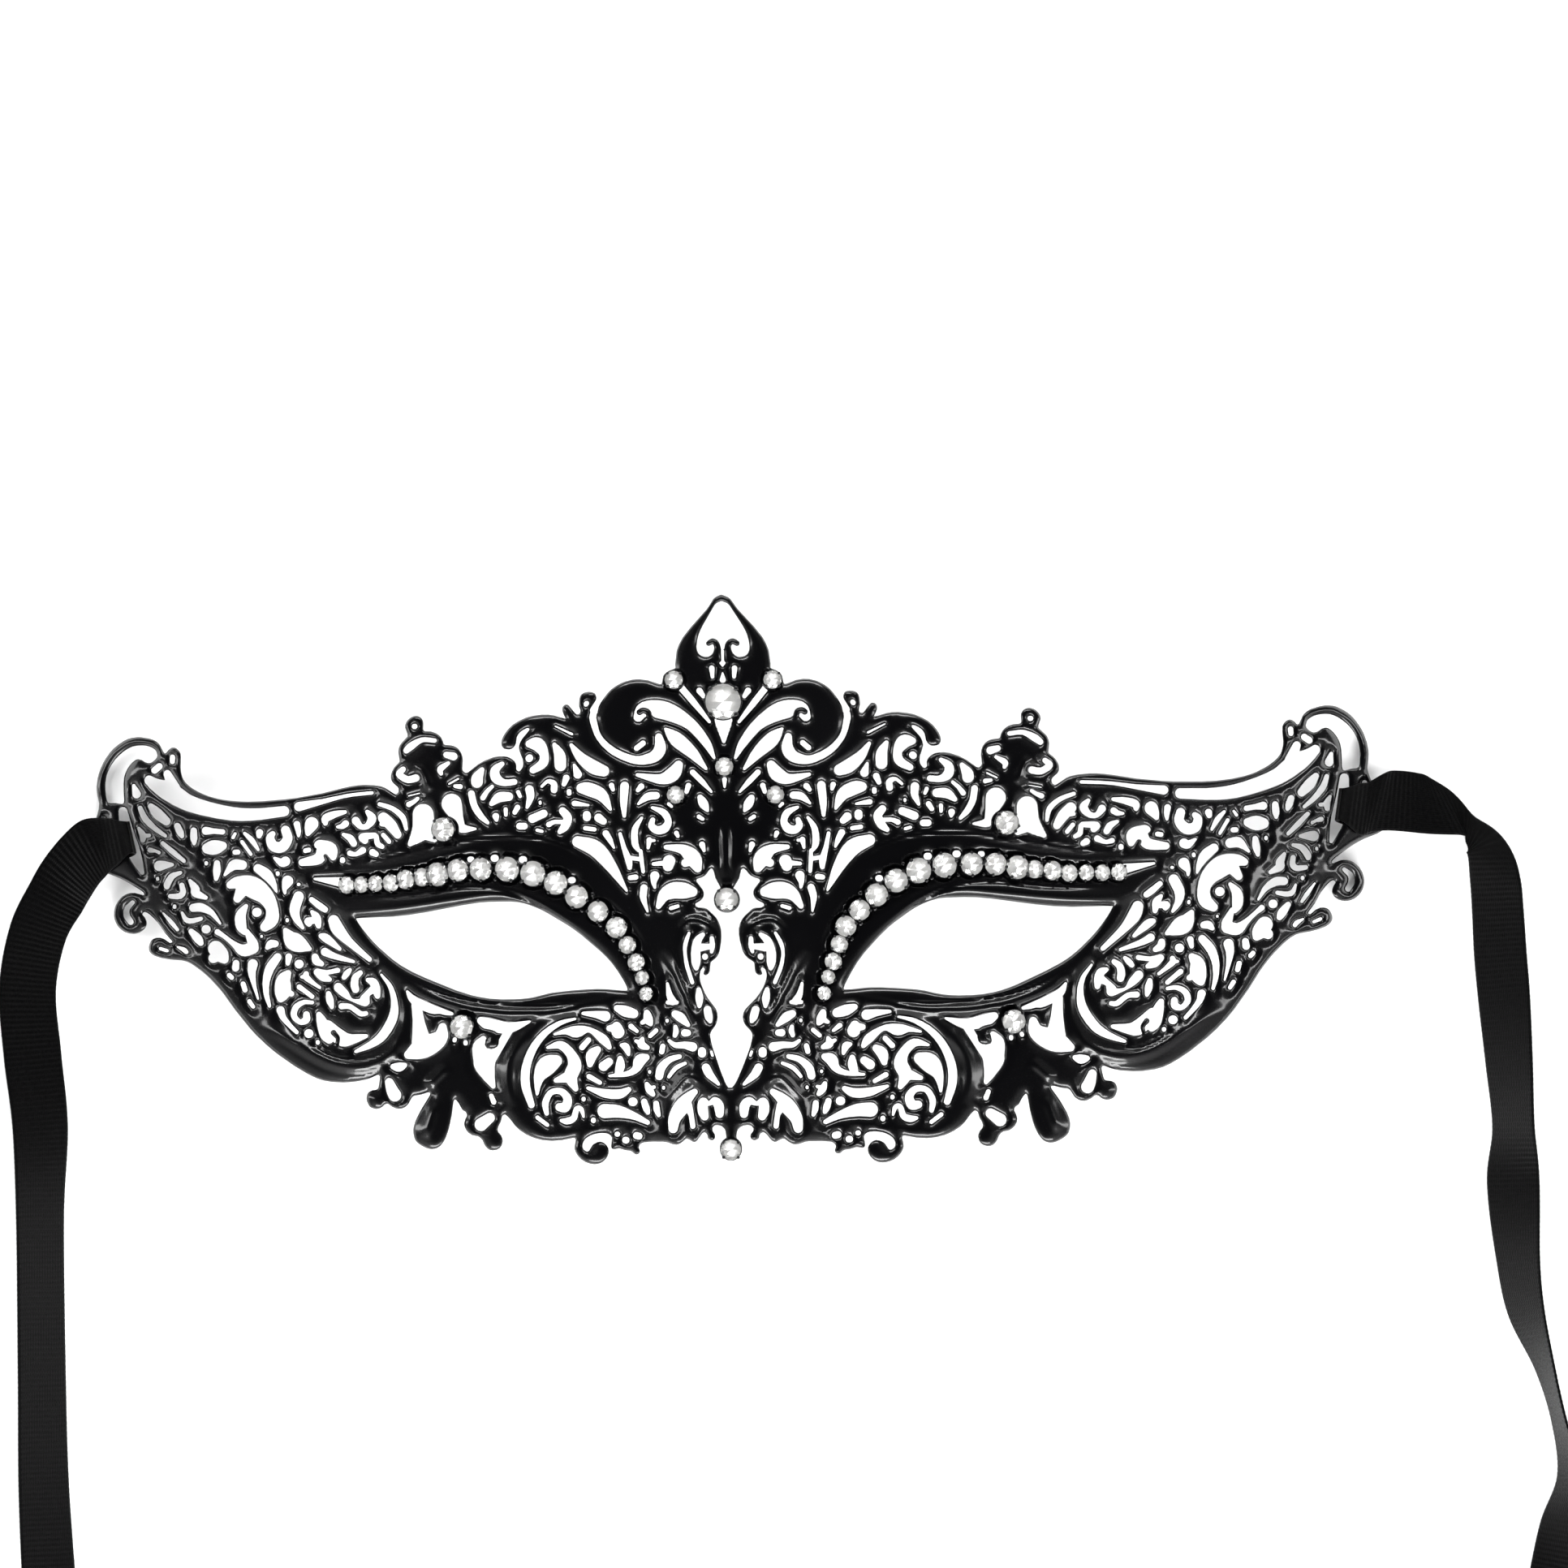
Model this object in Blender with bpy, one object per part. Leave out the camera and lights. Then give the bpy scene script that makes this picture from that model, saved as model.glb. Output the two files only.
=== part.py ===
"""A cut and pressed metal masquerade mask with clear stones and two ribbon ties, lying face up."""
import math

import bmesh
import bpy
import numpy as np
from mathutils import Vector
from mathutils.geometry import delaunay_2d_cdt

# Driving sizes, in metres.
MASK_HALF_SPAN = 0.105
MASK_HEIGHT = 0.093
SHEET_THICKNESS = 0.0009
FACE_RADIUS = 0.190
CROWN_RADIUS = 0.220
NOSE_RISE = 0.0075
RELIEF_HEIGHT = 0.0006
SEAT_CLEARANCE = 0.0003
CENTRE_STONE_RADIUS = 0.0030
STONE_HEIGHT = 0.0011
ROW_STONE_HEIGHT = 0.0012
ROW_STRIP_THICKNESS = 0.0005
TIE_WIDTH = 0.010
TIE_THICKNESS = 0.001
TIE_FALL = 0.1132

# How the chart lies in the plane: the photographed mask leans and is a little askew.
CHART_OUT = 105.0
ACROSS = MASK_HALF_SPAN / 105
UPWARD = MASK_HEIGHT / 93
AXIS_LEAN = 0.0177
SKEW_HIGH = 0.00147
SKEW_LOW = 0.00268
SKEW_REACH = 20.1
SKEW_TOP = 26.8
SKEW_SPAN = 40.2
TEMPLE_LIFT = 0.0030
LEFT_SPREAD_HIGH = 0.0028
LEFT_SPREAD_LOW = 0.0004
LEFT_NOSE_INSET = 0.0010
LEFT_SIDE_SPREAD = 0.0008
LEFT_LOW_RISE = 0.0005
EDGE_GROWTH = 0.00006
FAR = 1.0
REACH = 0.004
HALF_WIDTH_ROOM = MASK_HALF_SPAN + 0.010
BELOW_ROOM = MASK_HEIGHT / 2
ABOVE_ROOM = MASK_HEIGHT * 0.56
LOWER_FLARE = 0.0651
LOOP_UP = 0.226
TIP_UP = 0.107
TIP_REACH = 0.125
TIP_DROP = 0.025
LEVEL_OUT = 1.022
LEVEL_BEND = 0.0114
CROWN_START = 0.215
NOSE_REACH = 0.27
NOSE_WIDTH = 0.133
GRID_PITCH = 0.0002
CURVE_STEPS = 3
EDGE_SLACK = 0.00025
SMALLEST_GAP = 0.0000064

# Single stones of one half or the middle: name, out, up, radius, in parts of half span and height.
MIDDLE_STONES = (
    ("crown_stone_middle", 31.4, CENTRE_STONE_RADIUS),
    ("forehead_stone_middle", 20.85, CENTRE_STONE_RADIUS * .5),
    ("nose_stone", -1.1, CENTRE_STONE_RADIUS * .63),
    ("chin_stone", -42.1, CENTRE_STONE_RADIUS * .57),
)
PAIR_STONES = (
    ("crown_stone", 7.7, 35.0, CENTRE_STONE_RADIUS * .5),
    ("forehead_stone", 7.8, 16.2, CENTRE_STONE_RADIUS * .48),
    ("brow_stone", 44.65, 11.05, CENTRE_STONE_RADIUS * .65),
    ("cheek_stone", 44.65, -21.65, CENTRE_STONE_RADIUS * .65),
)
# The row of stones along one brow: out, up, radius as a share of the middle stone.
ROW_STONES = (
    (62.5, 2.4, .467), (59.8, 2.4, .45), (57.2, 2.5, .45), (54.4, 2.5, .483), (51.7, 3, .533),
    (48.8, 3.3, .5), (46, 3.7, .65), (42.5, 4.3, .617), (38.65, 4.4, .633), (34.25, 4.3, .683),
    (30.05, 3.5, .7), (26.4, 1.9, .65), (23.2, -.4, .633), (20.4, -2.9, .583), (18.1, -5.6, .583),
    (16.95, -8.55, .483), (15.85, -11.45, .483), (14.95, -14, .4), (14.2, -16.65, .4),
)
ROW_FILL = .8
ROW_BAND = .35

# How a ribbon goes round its bar: distance outward from the bar's middle in parts of the half span,
# distance over the sheet in parts of a clear lift, and the ribbon's width there as a share.
BAR = (102.55, 11.2)
BAR_ALONG = (103.95, 16.3)
TIE_WRAP = (
    (.9, -1.36, .6), (-.4, -1.36, .6), (-1.8, -1.3, .58), (-2.85, -.85, .55), (-3, 0, .54),
    (-2.9, .8, .55), (-1.9, 1.25, .65), (-.4, 1.3, .8), (1.2, 1.3, .9),
)
# Where it runs from there: across as a share of the half span, along as a share of the half span
# above the middle and of the fall below it, the height of its underside in sheet thicknesses, the
# heading of its width in degrees, how far that edge is tipped up, and the width.
TIE_RIGHT = (
    (1.0260, .1420, 2.8, 77, 0, 1), (1.0480, .1460, 1.6, 80, 0, 1), (1.0800, .1467, .2, 78, 2, 1),
    (1.1150, .1300, 0, 66, 6, 1), (1.1543, .1086, 0, 50, 16, 1), (1.1850, .0780, 0, 34, 24, 1),
    (1.2000, .0300, 0, 12, 24, 1), (1.2140, -.0300, 0, 5, 10, 1), (1.2152, -.0800, 0, 2, 0, 1),
    (1.2152, -.1200, 0, 2, 0, 1), (1.2152, -.1600, 0, 2, 0, 1), (1.2160, -.2000, 0, 2, 0, 1),
    (1.2248, -.2959, 0, 4, 16, 1), (1.2333, -.3905, 0, 3, 32, 1), (1.2371, -.5089, 0, 5, 44, 1),
    (1.2562, -.6272, 0, 13, 42, 1), (1.2886, -.7341, 0, 17, 42, 1), (1.3200, -.8172, 0, 10, 40, 1),
    (1.3229, -.8878, 0, -6, 32, 1), (1.2971, -1, 0, -12, 24, 1),
)
TIE_LEFT = (
    (-.9980, .0700, 3.2, 116, 0, 1), (-1.0190, .0500, 2.2, 127, 2, 1), (-1.0400, .0220, .9, 140, 6, 1),
    (-1.0560, -.0050, 0, 150, 12, 1), (-1.0857, -.0592, 0, 164, 20, 1), (-1.1019, -.1413, 0, 176, 22, 1),
    (-1.0943, -.2367, 0, 185, 20, 1), (-1.0819, -.3436, 0, 184, 26, 1), (-1.0819, -.4735, 0, 180, 40, 1),
    (-1.0790, -.7102, 0, 180, 40, 1), (-1.0762, -.8640, 0, 181, 36, 1), (-1.0686, -1, 0, 182, 30, 1),
)

# The chart of one half of the mask, read off a grid laid over the mask itself. Every row is
# (out, up) or (out, up, half width), in parts of the half span (105 parts) across and of the
# full height (93 parts) upward, counted from the point between the eyes. The other half mirrors it.

# The outer edge, from the top of the crown round the temple to the chin.
RIM = (
    (0, 49.1), (1.25, 48.5), (2.25, 47), (3.25, 45.8), (4.75, 44.1), (5.55, 43.1), (6.45, 41.8),
    (7.15, 40.2), (7.35, 39), (7.5, 37.6), (7.5, 37), (8.4, 36.6), (9.2, 35.9), (9.4, 35), (9.6, 34.4),
    (10.3, 34.5), (11.5, 35), (13, 35.2), (14.3, 35), (15.5, 34.5), (16.8, 33.6), (17.9, 32.2),
    (18.7, 30.8), (19, 29.6), (19.8, 29.4), (20.1, 30.2), (19.7, 31), (19.2, 31.8), (19.1, 32.4),
    (19.4, 33), (20.3, 33.2), (21.2, 32.9), (21.6, 32.2), (21.7, 31), (21.5, 30.2), (21.6, 29.7),
    (22, 29.5), (22.4, 29.7), (23.3, 30.9), (23.8, 31.15), (24.3, 30.9), (24.45, 30.3), (24.2, 29.5),
    (23.95, 29), (24.3, 28.9), (25.2, 29.2), (26.5, 29.5), (28, 29.55), (30, 29.25), (31.5, 28.7),
    (33, 27.8), (34.2, 26.4), (34.7, 25.2), (34.5, 24.3), (33.8, 24), (33, 24.1), (32.4, 24.8),
    (32.2, 25.9), (31.7, 26.7), (30.8, 27.3), (30.2, 27.45), (30, 27.1), (30.6, 26.4), (31.4, 25.4),
    (31.8, 24.2), (31.5, 23), (31.2, 22.2), (31.2, 21.2), (31.6, 20.5), (32, 20.3), (32.4, 20.6),
    (32.4, 21.4), (32.8, 22.1), (33.8, 22.7), (35.5, 22.8), (37, 22.4), (38.5, 21.7), (39.7, 20.8),
    (40.5, 20.25), (41, 20.3), (41.4, 20.8), (41.3, 21.8), (41.3, 22.8), (41.6, 23.7), (42.2, 24.4),
    (43, 24.75), (43.8, 24.85), (44.4, 25), (44.6, 25.6), (45, 26.3), (45.8, 26.9), (46.8, 27.2),
    (47.7, 27.25), (48, 27.6), (47.95, 28.2), (48, 29), (48.5, 29.6), (49.3, 29.8), (50.2, 29.5),
    (50.9, 28.8), (51.1, 28), (50.8, 27.2), (50.7, 26.5), (51.2, 26), (52, 25.2), (52.4, 24.2),
    (52.3, 23), (52.3, 22.3), (53.2, 21.5), (53.8, 20.5), (53.9, 19.6), (53.6, 19), (53, 18.5),
    (52.6, 18), (52.7, 17.3), (53.2, 17), (53.8, 17.3), (54.7, 17.9), (55.8, 18.4), (57.5, 18.65),
    (60, 18.7), (63, 18.3), (66, 17.7), (69, 17.3), (72, 16.95), (75, 16.8), (78, 16.7), (81, 16.8),
    (84, 17.2), (86.5, 17.9), (88.7, 19), (90.2, 20.2), (90.9, 21.4), (91.1, 22.8), (91, 24.5),
    (91.1, 25.4), (91.7, 26.1), (92.4, 26.25), (93, 25.9), (93.4, 25.4), (93.8, 25.5), (94.2, 26.2),
    (94.6, 27), (95.5, 27.7), (96.8, 28.1), (98.2, 28.3), (99.8, 28.1), (101.2, 27.4), (102.4, 26.5),
    (103.4, 25.3), (104.3, 23.8), (104.9, 22.2), (105.2, 20.5), (105.1, 19), (104.9, 17.3),
    (105.6, 15), (106.6, 12.5), (107.4, 10.6), (107.8, 8.9), (107.3, 7.6), (106, 6.75), (104, 6.1),
    (102, 5.2), (99.9, 3.9), (98.3, 2.75), (98.3, 2.15), (99.7, 2.6), (100.9, 2.55), (102, 2),
    (103, .8), (103.4, -.6), (103.3, -1.7), (102.8, -2.8), (101.8, -3.7), (100.5, -4.1), (99.3, -3.9),
    (98.4, -3.3), (98.05, -2.4), (98.3, -1.6), (98.7, -1), (98.5, -.6), (98, -.6), (97.2, -1.2),
    (96, -2.6), (95, -4.2), (94.1, -5.3), (93.8, -5.8), (94.3, -6), (95.2, -5.3), (96.3, -5),
    (97.3, -5.4), (97.8, -6.4), (97.7, -7.3), (96.9, -8), (95.5, -8.5), (94, -8.8), (92.3, -9),
    (91.2, -9.4), (90, -10.2), (88.5, -11.5), (87, -13.1), (85.5, -15), (84, -17.3), (82.4, -19.4),
    (80.9, -21.4), (79, -23.4), (77, -25.2), (75, -26.7), (73, -28.1), (70.5, -29.5), (68.5, -30.2),
    (66, -30.5), (64, -30.45), (62, -30.2), (60.6, -29.8), (59.7, -29.4), (59.3, -29.5), (59.2, -30),
    (59.4, -30.9), (59.6, -31.6), (60, -31.9), (60.8, -32), (61.5, -32.5), (61.7, -33.5),
    (61.2, -34.6), (60.2, -35), (59.3, -34.8), (58.7, -34.3), (58.1, -34.2), (57.4, -34.7),
    (56.4, -35.05), (55.5, -34.9), (54.8, -34.4), (54.3, -33.6), (53.8, -33), (52.5, -32.75),
    (51.2, -32.4), (50.9, -32.8), (51.8, -34.1), (52.9, -35.9), (53.7, -37.6), (53.9, -39),
    (53.5, -40.4), (52.3, -41.3), (51, -41.75), (49.8, -41.5), (48.9, -40.6), (48.2, -39.2),
    (47.7, -37.5), (47.3, -35.5), (47.1, -34), (46.8, -33.6), (46.4, -33.9), (46, -34.5),
    (45.6, -35.3), (45, -35.7), (44.8, -36.3), (45.1, -36.9), (45.3, -37.8), (44.9, -38.8),
    (44, -39.5), (43, -39.7), (42.3, -40.3), (41.9, -41.2), (41.2, -41.9), (40.2, -42),
    (39.3, -41.5), (38.95, -40.5), (39.2, -39.6), (39.7, -39), (39.7, -38.3), (39.2, -37.3),
    (39, -36.5), (38.7, -36.2), (38.3, -36.2), (37.6, -36.9), (36.5, -38.3), (35, -39.4),
    (33, -40.2), (31, -40.5), (29, -40.4), (27.5, -40.1), (26.8, -40.05), (26.6, -40.5),
    (26.8, -41.3), (26.8, -42), (26.3, -43), (25.3, -43.9), (24, -44.35), (22.8, -44.3),
    (21.9, -43.8), (21.3, -43), (21.15, -42.1), (21.5, -41.3), (22.2, -40.8), (22.9, -40.8),
    (23.7, -41.2), (24.2, -41.9), (24.5, -42.3), (25, -42.3), (25.5, -41.8), (25.5, -41),
    (25, -40.2), (24, -39.6), (22.8, -39.3), (21.5, -39.3), (20.8, -39.6), (20.5, -40.1),
    (20.6, -40.9), (20.6, -41.7), (20.2, -41.95), (19.3, -41.8), (18.3, -42.1), (17.5, -42.2),
    (17.1, -42.4), (16.6, -42.8), (16.1, -42.7), (15.9, -42.3), (16.1, -41.7), (15.8, -41.1),
    (15, -40.8), (13, -40.7), (11.3, -40.8), (10.3, -41.15), (9.5, -41.2), (8.7, -40.8),
    (8.1, -40.3), (7.6, -40.3), (6.6, -40.8), (5.9, -40.3), (5.4, -39.6), (4.9, -39.2),
    (4.5, -39.3), (4.2, -39.7), (4.1, -40.2), (3.5, -40.5), (3, -40.2), (2.95, -39.6), (3.3, -39.1),
    (3.4, -38.6), (3, -38.1), (2.3, -38), (1.6, -38.2), (1, -38.8), (.8, -39.8), (.8, -40.7),
    (0, -41.5),
)

# The two eye openings, the open bridge under the nose stone, and the open side of each temple loop.
EYE = (
    (17.7, -15.7), (18.6, -13.7), (20.3, -10.9), (22.5, -8.3), (25, -5.8), (27.5, -3.9), (30, -2.3),
    (33, -1.2), (36, -1), (40, -1.1), (45, -1.8), (50, -2.6), (55, -3.05), (61, -3.1), (61.6, -3.5),
    (60, -5.9), (58, -8.2), (55, -10.9), (52, -12.75), (48, -14.6), (45, -15.9), (42, -16.8),
    (39, -17.2), (35.5, -17.2), (33, -16.9), (30, -16.2), (26, -15.8), (22, -15.65), (18.5, -15.95),
)
BRIDGE = (
    (1, .9), (1.9, 2.5), (2.2, 3.8), (2.6, 4.1), (3, 3.8), (3.6, 3), (4.3, 2.6), (4.9, 2.4), (5.1, 2),
    (4.7, 1.4), (4.1, .5), (4.1, -.4), (4.6, -1.1), (5.5, -1.6), (5.6, -2.1), (5.1, -2.4), (4, -2.5),
    (3.2, -3.2), (2.3, -4.2), (1.8, -5.5), (1.75, -6.8), (2, -8.4), (2.4, -9.8), (3.1, -10.7),
    (3.9, -11.3), (4, -12.1), (4.1, -12.9), (4.6, -13.4), (5.05, -13.2), (4.85, -12.5), (5.1, -12.1),
    (5.6, -12.5), (5.8, -13.3), (5.7, -14.2), (5.2, -15.5), (4.3, -17), (3.2, -18.2), (2.4, -19.2),
    (2.1, -20.3), (2.4, -21.5), (3.2, -22.5), (3.5, -23.3), (3.3, -24.5), (3, -25.6), (2, -28.4),
    (1.2, -30.4), (.7, -31.4), (.3, -31.9),
)
LOOP = (
    (94.9, 25.4), (95.2, 26.1), (96.2, 26.7), (97.5, 26.95), (99.2, 26.8), (101, 25.8), (102.5, 24.3),
    (103.4, 22.7), (103.8, 21), (103.8, 19.2), (103.5, 17.8), (102.2, 17.6), (100.8, 17.5),
    (100.7, 19.5), (100.6, 21.5), (100.1, 22.9), (99.3, 24), (98.4, 24.6), (97.6, 24.5), (97, 24.1),
    (96.2, 23.9), (95.4, 24.3), (94.9, 24.9),
)
SPADE = (
    (0, 48.1), (1.05, 47.6), (1.75, 46.5), (2.55, 45.2), (3.25, 44), (3.85, 42.7), (4.2, 41.3),
    (4.25, 40.2), (3.95, 39.4), (3.35, 38.95), (2.45, 38.85), (1.75, 39.3), (1.4, 40), (1.1, 41.3),
    (0, 41.6),
)

# Gaps cut through the sheet. Each is one or more spines of (out, up, half width) stations.
GAPS_CROWN = (
    (((0, 40.9, .85), (0, 41.8, .9)),),
    (((0, 39.9, .3), (0, 38.6, .8), (0, 37.4, .2)),),
    (((1.85, 37, .5), (1.75, 35.6, .35)),),
    (((0, 36.2, .2), (0, 35.1, .55)),),
    (((3.9, 33.3, .55), (3.3, 32.4, .4)),),
    (((6.6, 33.7, .6), (4.6, 31.1, .55), (2.4, 28.2, .3)),),
    (((0, 28.4, 1.5), (0, 25, .35)),),
    (((19.6, 29.4, .6), (19.6, 28.5, .6), (18.75, 25.7, .52), (16.6, 23.35, .62), (13.5, 21.95, .7),
      (11, 22.4, .95), (9.95, 23.8, 1), (10.1, 25.7, .65)),),
    (((1.75, 22.3, .3), (3, 24.8, .75), (5.5, 27.9, 1), (9, 30, 1.5), (12, 30.3, 1.3), (13, 29, .8)),),
    (((3.1, 20.5, .3), (5.2, 23.1, .95), (7.5, 25.3, 1.2), (9.1, 27, .3)),),
    (((12.4, 24.7, .5), (13.3, 23.9, .5)),),
    (((20.55, 31.35, .45), (20.65, 31.2, .45)),),
    (((22.95, 26.3, .25), (25.7, 27.65, .17)),),
)
GAPS_FOREHEAD = (
    (((7.3, 21.1, .75), (8.2, 19.6, 1.2), (10, 18.8, .85), (13.3, 19.5, .35)),),
    (((5.2, 19.9, .5), (3.8, 18.4, .5), (2.3, 16.7, .25)),),
    (((0, 18.7, .45), (0, 17.5, .25)),),
    (((5.9, 17.7, .5), (6.2, 16.7, .4)),),
    (((4.1, 15.7, .55), (3.6, 14.7, .8), (3, 13.6, .3)),),
    (((4.4, 12.6, .4), (3.8, 12.2, .35)),),
    (((8.9, 14.7, .35), (8.5, 14.3, .3)),),
    (((10.7, 16.1, .65), (12, 15.9, .65), (13.3, 14.75, .25)),),
    (((12.8, 17.6, .55), (13.3, 17, .4)),),
    (((15.2, 17.7, .75), (15.4, 15, .65), (15.4, 12.8, .35)),),
    (((17.1, 17.8, .5), (16.9, 17.1, .35)),),
    (((17.4, 13.9, .3), (18.6, 16.2, 1), (20.5, 17.2, 1.15), (21.7, 17.4, .85)),),
    (((18.2, 20.2, .95), (19.8, 20.9, 1.15), (21.7, 22.5, .85), (23.1, 24.5, .35)),),
    (((22.7, 21.2, .3), (22.2, 19.7, .75)),),
    (((24.1, 19.1, .6), (24.5, 18.1, .45)),),
    (((23.7, 16.9, .45), (23.7, 16.6, .45)),),
    (((20.7, 14.6, .25), (22, 14.8, .4), (22.9, 14.9, .5)),),
    (((24.9, 13.7, .65), (24.1, 12.6, .75), (24.6, 11.2, .75), (25.5, 10.3, .45)),
     ((25, 11.9, .4), (26.4, 11.9, .4), (27.3, 11.5, .5))),
    (((28.1, 13.3, .7), (30, 12.5, .75)),),
    (((28.6, 15.2, .3), (28.6, 15, .3)),),
    (((19.2, 12.5, .75), (18.5, 11.9, .6)),),
    (((21, 13, .7), (21, 12.6, .7)),),
    (((19.9, 10.6, .4), (21.3, 10.8, .42)),),
    (((18.2, 9.9, .6), (17.6, 8.8, .5), (17.1, 7.6, .25)),),
    (((15.6, .5, .25), (17.5, 4.3, .95), (19.8, 7.4, 1.35), (22.6, 8.6, .95)),),
    (((11.3, 14.1, .3), (9.7, 13.3, .6), (9.05, 11.9, .6), (9.6, 10.7, .75), (10.7, 10.4, .7),
      (11.5, 11.1, .6), (11.3, 12.1, .45)),),
    (((12.9, 12.4, .3), (13.9, 10.6, .55), (14, 8.3, .6), (13.5, 7.1, .35)),
     ((13.2, 7, .35), (13.1, 5.2, .4), (12.95, 3.6, .35)),
     ((16.1, 9.8, .35), (15.6, 7.5, .45), (15, 5.5, .6), (14.9, 4.3, .45)),
     ((13.3, 5.65, .4), (15, 5.9, .4))),
    (((14.1, 2.7, .5), (14.9, 2.6, .45)),),
    (((7.9, 9.9, .45), (7.7, 9.4, .35)),),
    (((11.9, 8.8, .5), (12.1, 7.5, .3)), ((11.9, 8.7, .3), (11.2, 8.7, .3))),
    (((4, 8, .55), (3.7, 7, .3)),),
    (((9.5, 7.6, .42), (7, 7.2, .85), (5.5, 5.8, 1.35), (4.8, 4.1, .7)),
     ((5.5, 5.5, .8), (6.7, 5, .7))),
    (((9.1, 5.3, 1.05), (9.3, 4.5, .9)), ((9.5, 5, .5), (11.4, 4.85, .35))),
    (((11.3, 2.9, .8), (11.5, 1.9, .5), (11.4, 1, .3)),),
    (((5.8, .25, .85), (7.2, .45, 1.35), (8.8, .45, 1.35), (10.2, -.3, 1), (11.3, -2.1, .5)),),
    (((13, .9, .65), (13.35, -.5, .6), (13.25, -1.8, .4), (13.1, -2.9, .25)),),
    (((8.4, -2.1, .35), (9.5, -2.45, .38)),),
)
GAPS_BROW = (
    (((25.9, 24.6, .4), (25.1, 22.9, .95), (25, 21.2, 1)),),
    (((30.1, 24.8, .65), (28.7, 24.7, 1.15), (27.7, 23.2, .8), (27.9, 21.6, .8), (29.6, 20.5, .6)),),
    (((30.1, 22.5, .63), (30.2, 22.4, .63)),),
    (((34.7, 21.6, .42), (35.9, 20.6, .75), (35.8, 19.3, .85), (34.5, 18.5, .6), (32.8, 18.6, .55)),),
    (((38.1, 20.7, .45), (38.9, 19.4, .95), (39, 18.7, 1)),),
    (((36.5, 17.9, .35), (37.4, 17.1, .4), (38.1, 16.1, .5)),),
    (((33.8, 16.2, .75), (35.4, 16.1, .85), (36.7, 15.1, .45)),),
    (((32.2, 16.9, .4), (31.9, 16.2, .35)),),
    (((30.3, 17.3, .75), (30.2, 16, .65), (30.8, 14.4, .32)),),
    (((28.2, 17.8, .3), (27.2, 18.6, .35), (26.2, 18.2, .55), (26.2, 17.2, .6)),),
    (((32.4, 14.4, .5), (32.9, 13.6, .45)),),
    (((34.4, 14.1, .4), (34.4, 13.2, .35)),),
    (((36.1, 13, .6), (36, 12.4, .35)),),
    (((31.4, 11.3, .6), (32.2, 11.3, .6)),),
    (((28.5, 10.4, .33), (29.3, 10.6, .33)),),
    (((40, 16.8, .6), (39.6, 14.8, .6), (38.6, 13.1, .55), (37.5, 12, .35)),),
    (((43.4, 15.2, 1.7), (42.5, 12.8, 1), (41.9, 11.2, .8), (39.6, 11, .25)),),
    (((48.45, 13.6, 1.75), (48.7, 11.2, 1.7), (51, 8.8, .45)), ((48.2, 10.2, .8), (46.7, 9.4, .5))),
    (((42.8, 23, .7), (44, 23.3, .55)), ((43.7, 21.9, .35), (45.1, 21, .55), (45, 20.2, .35))),
    (((42.1, 19.3, .2), (43.7, 18.5, .2)),),
    (((41.8, 18, .45), (42.7, 18.1, .35)),),
    (((49.5, 19.6, .65), (51, 19.4, .6), (52.4, 20.3, .6), (51.7, 21.1, .5)),),
    (((49.3, 16.2, .35), (50, 15.7, .4), (50.9, 15.3, .5)),),
    (((48.9, 17.1, .15), (50.9, 16.7, .15)),),
    (((46, 25.7, .42), (48.2, 25.85, .45), (50.1, 24.9, .65), (51, 24.2, .55)),),
    (((49.4, 28.1, .48), (49.5, 28.1, .48)),),
)
GAPS_ROW = (
    (((31.8, 5.8, .62), (32, 5.8, .62)),),
    (((36.5, 6.1, .62), (36.7, 6.1, .62)),),
    (((40.5, 6, .52), (40.7, 6, .52)),),
    (((23.8, 2.3, .57), (24, 2.3, .57)),),
    (((68.8, 3.6, .25), (66, 3.2, .6), (63.9, 2.9, .85)),),
)
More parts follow.
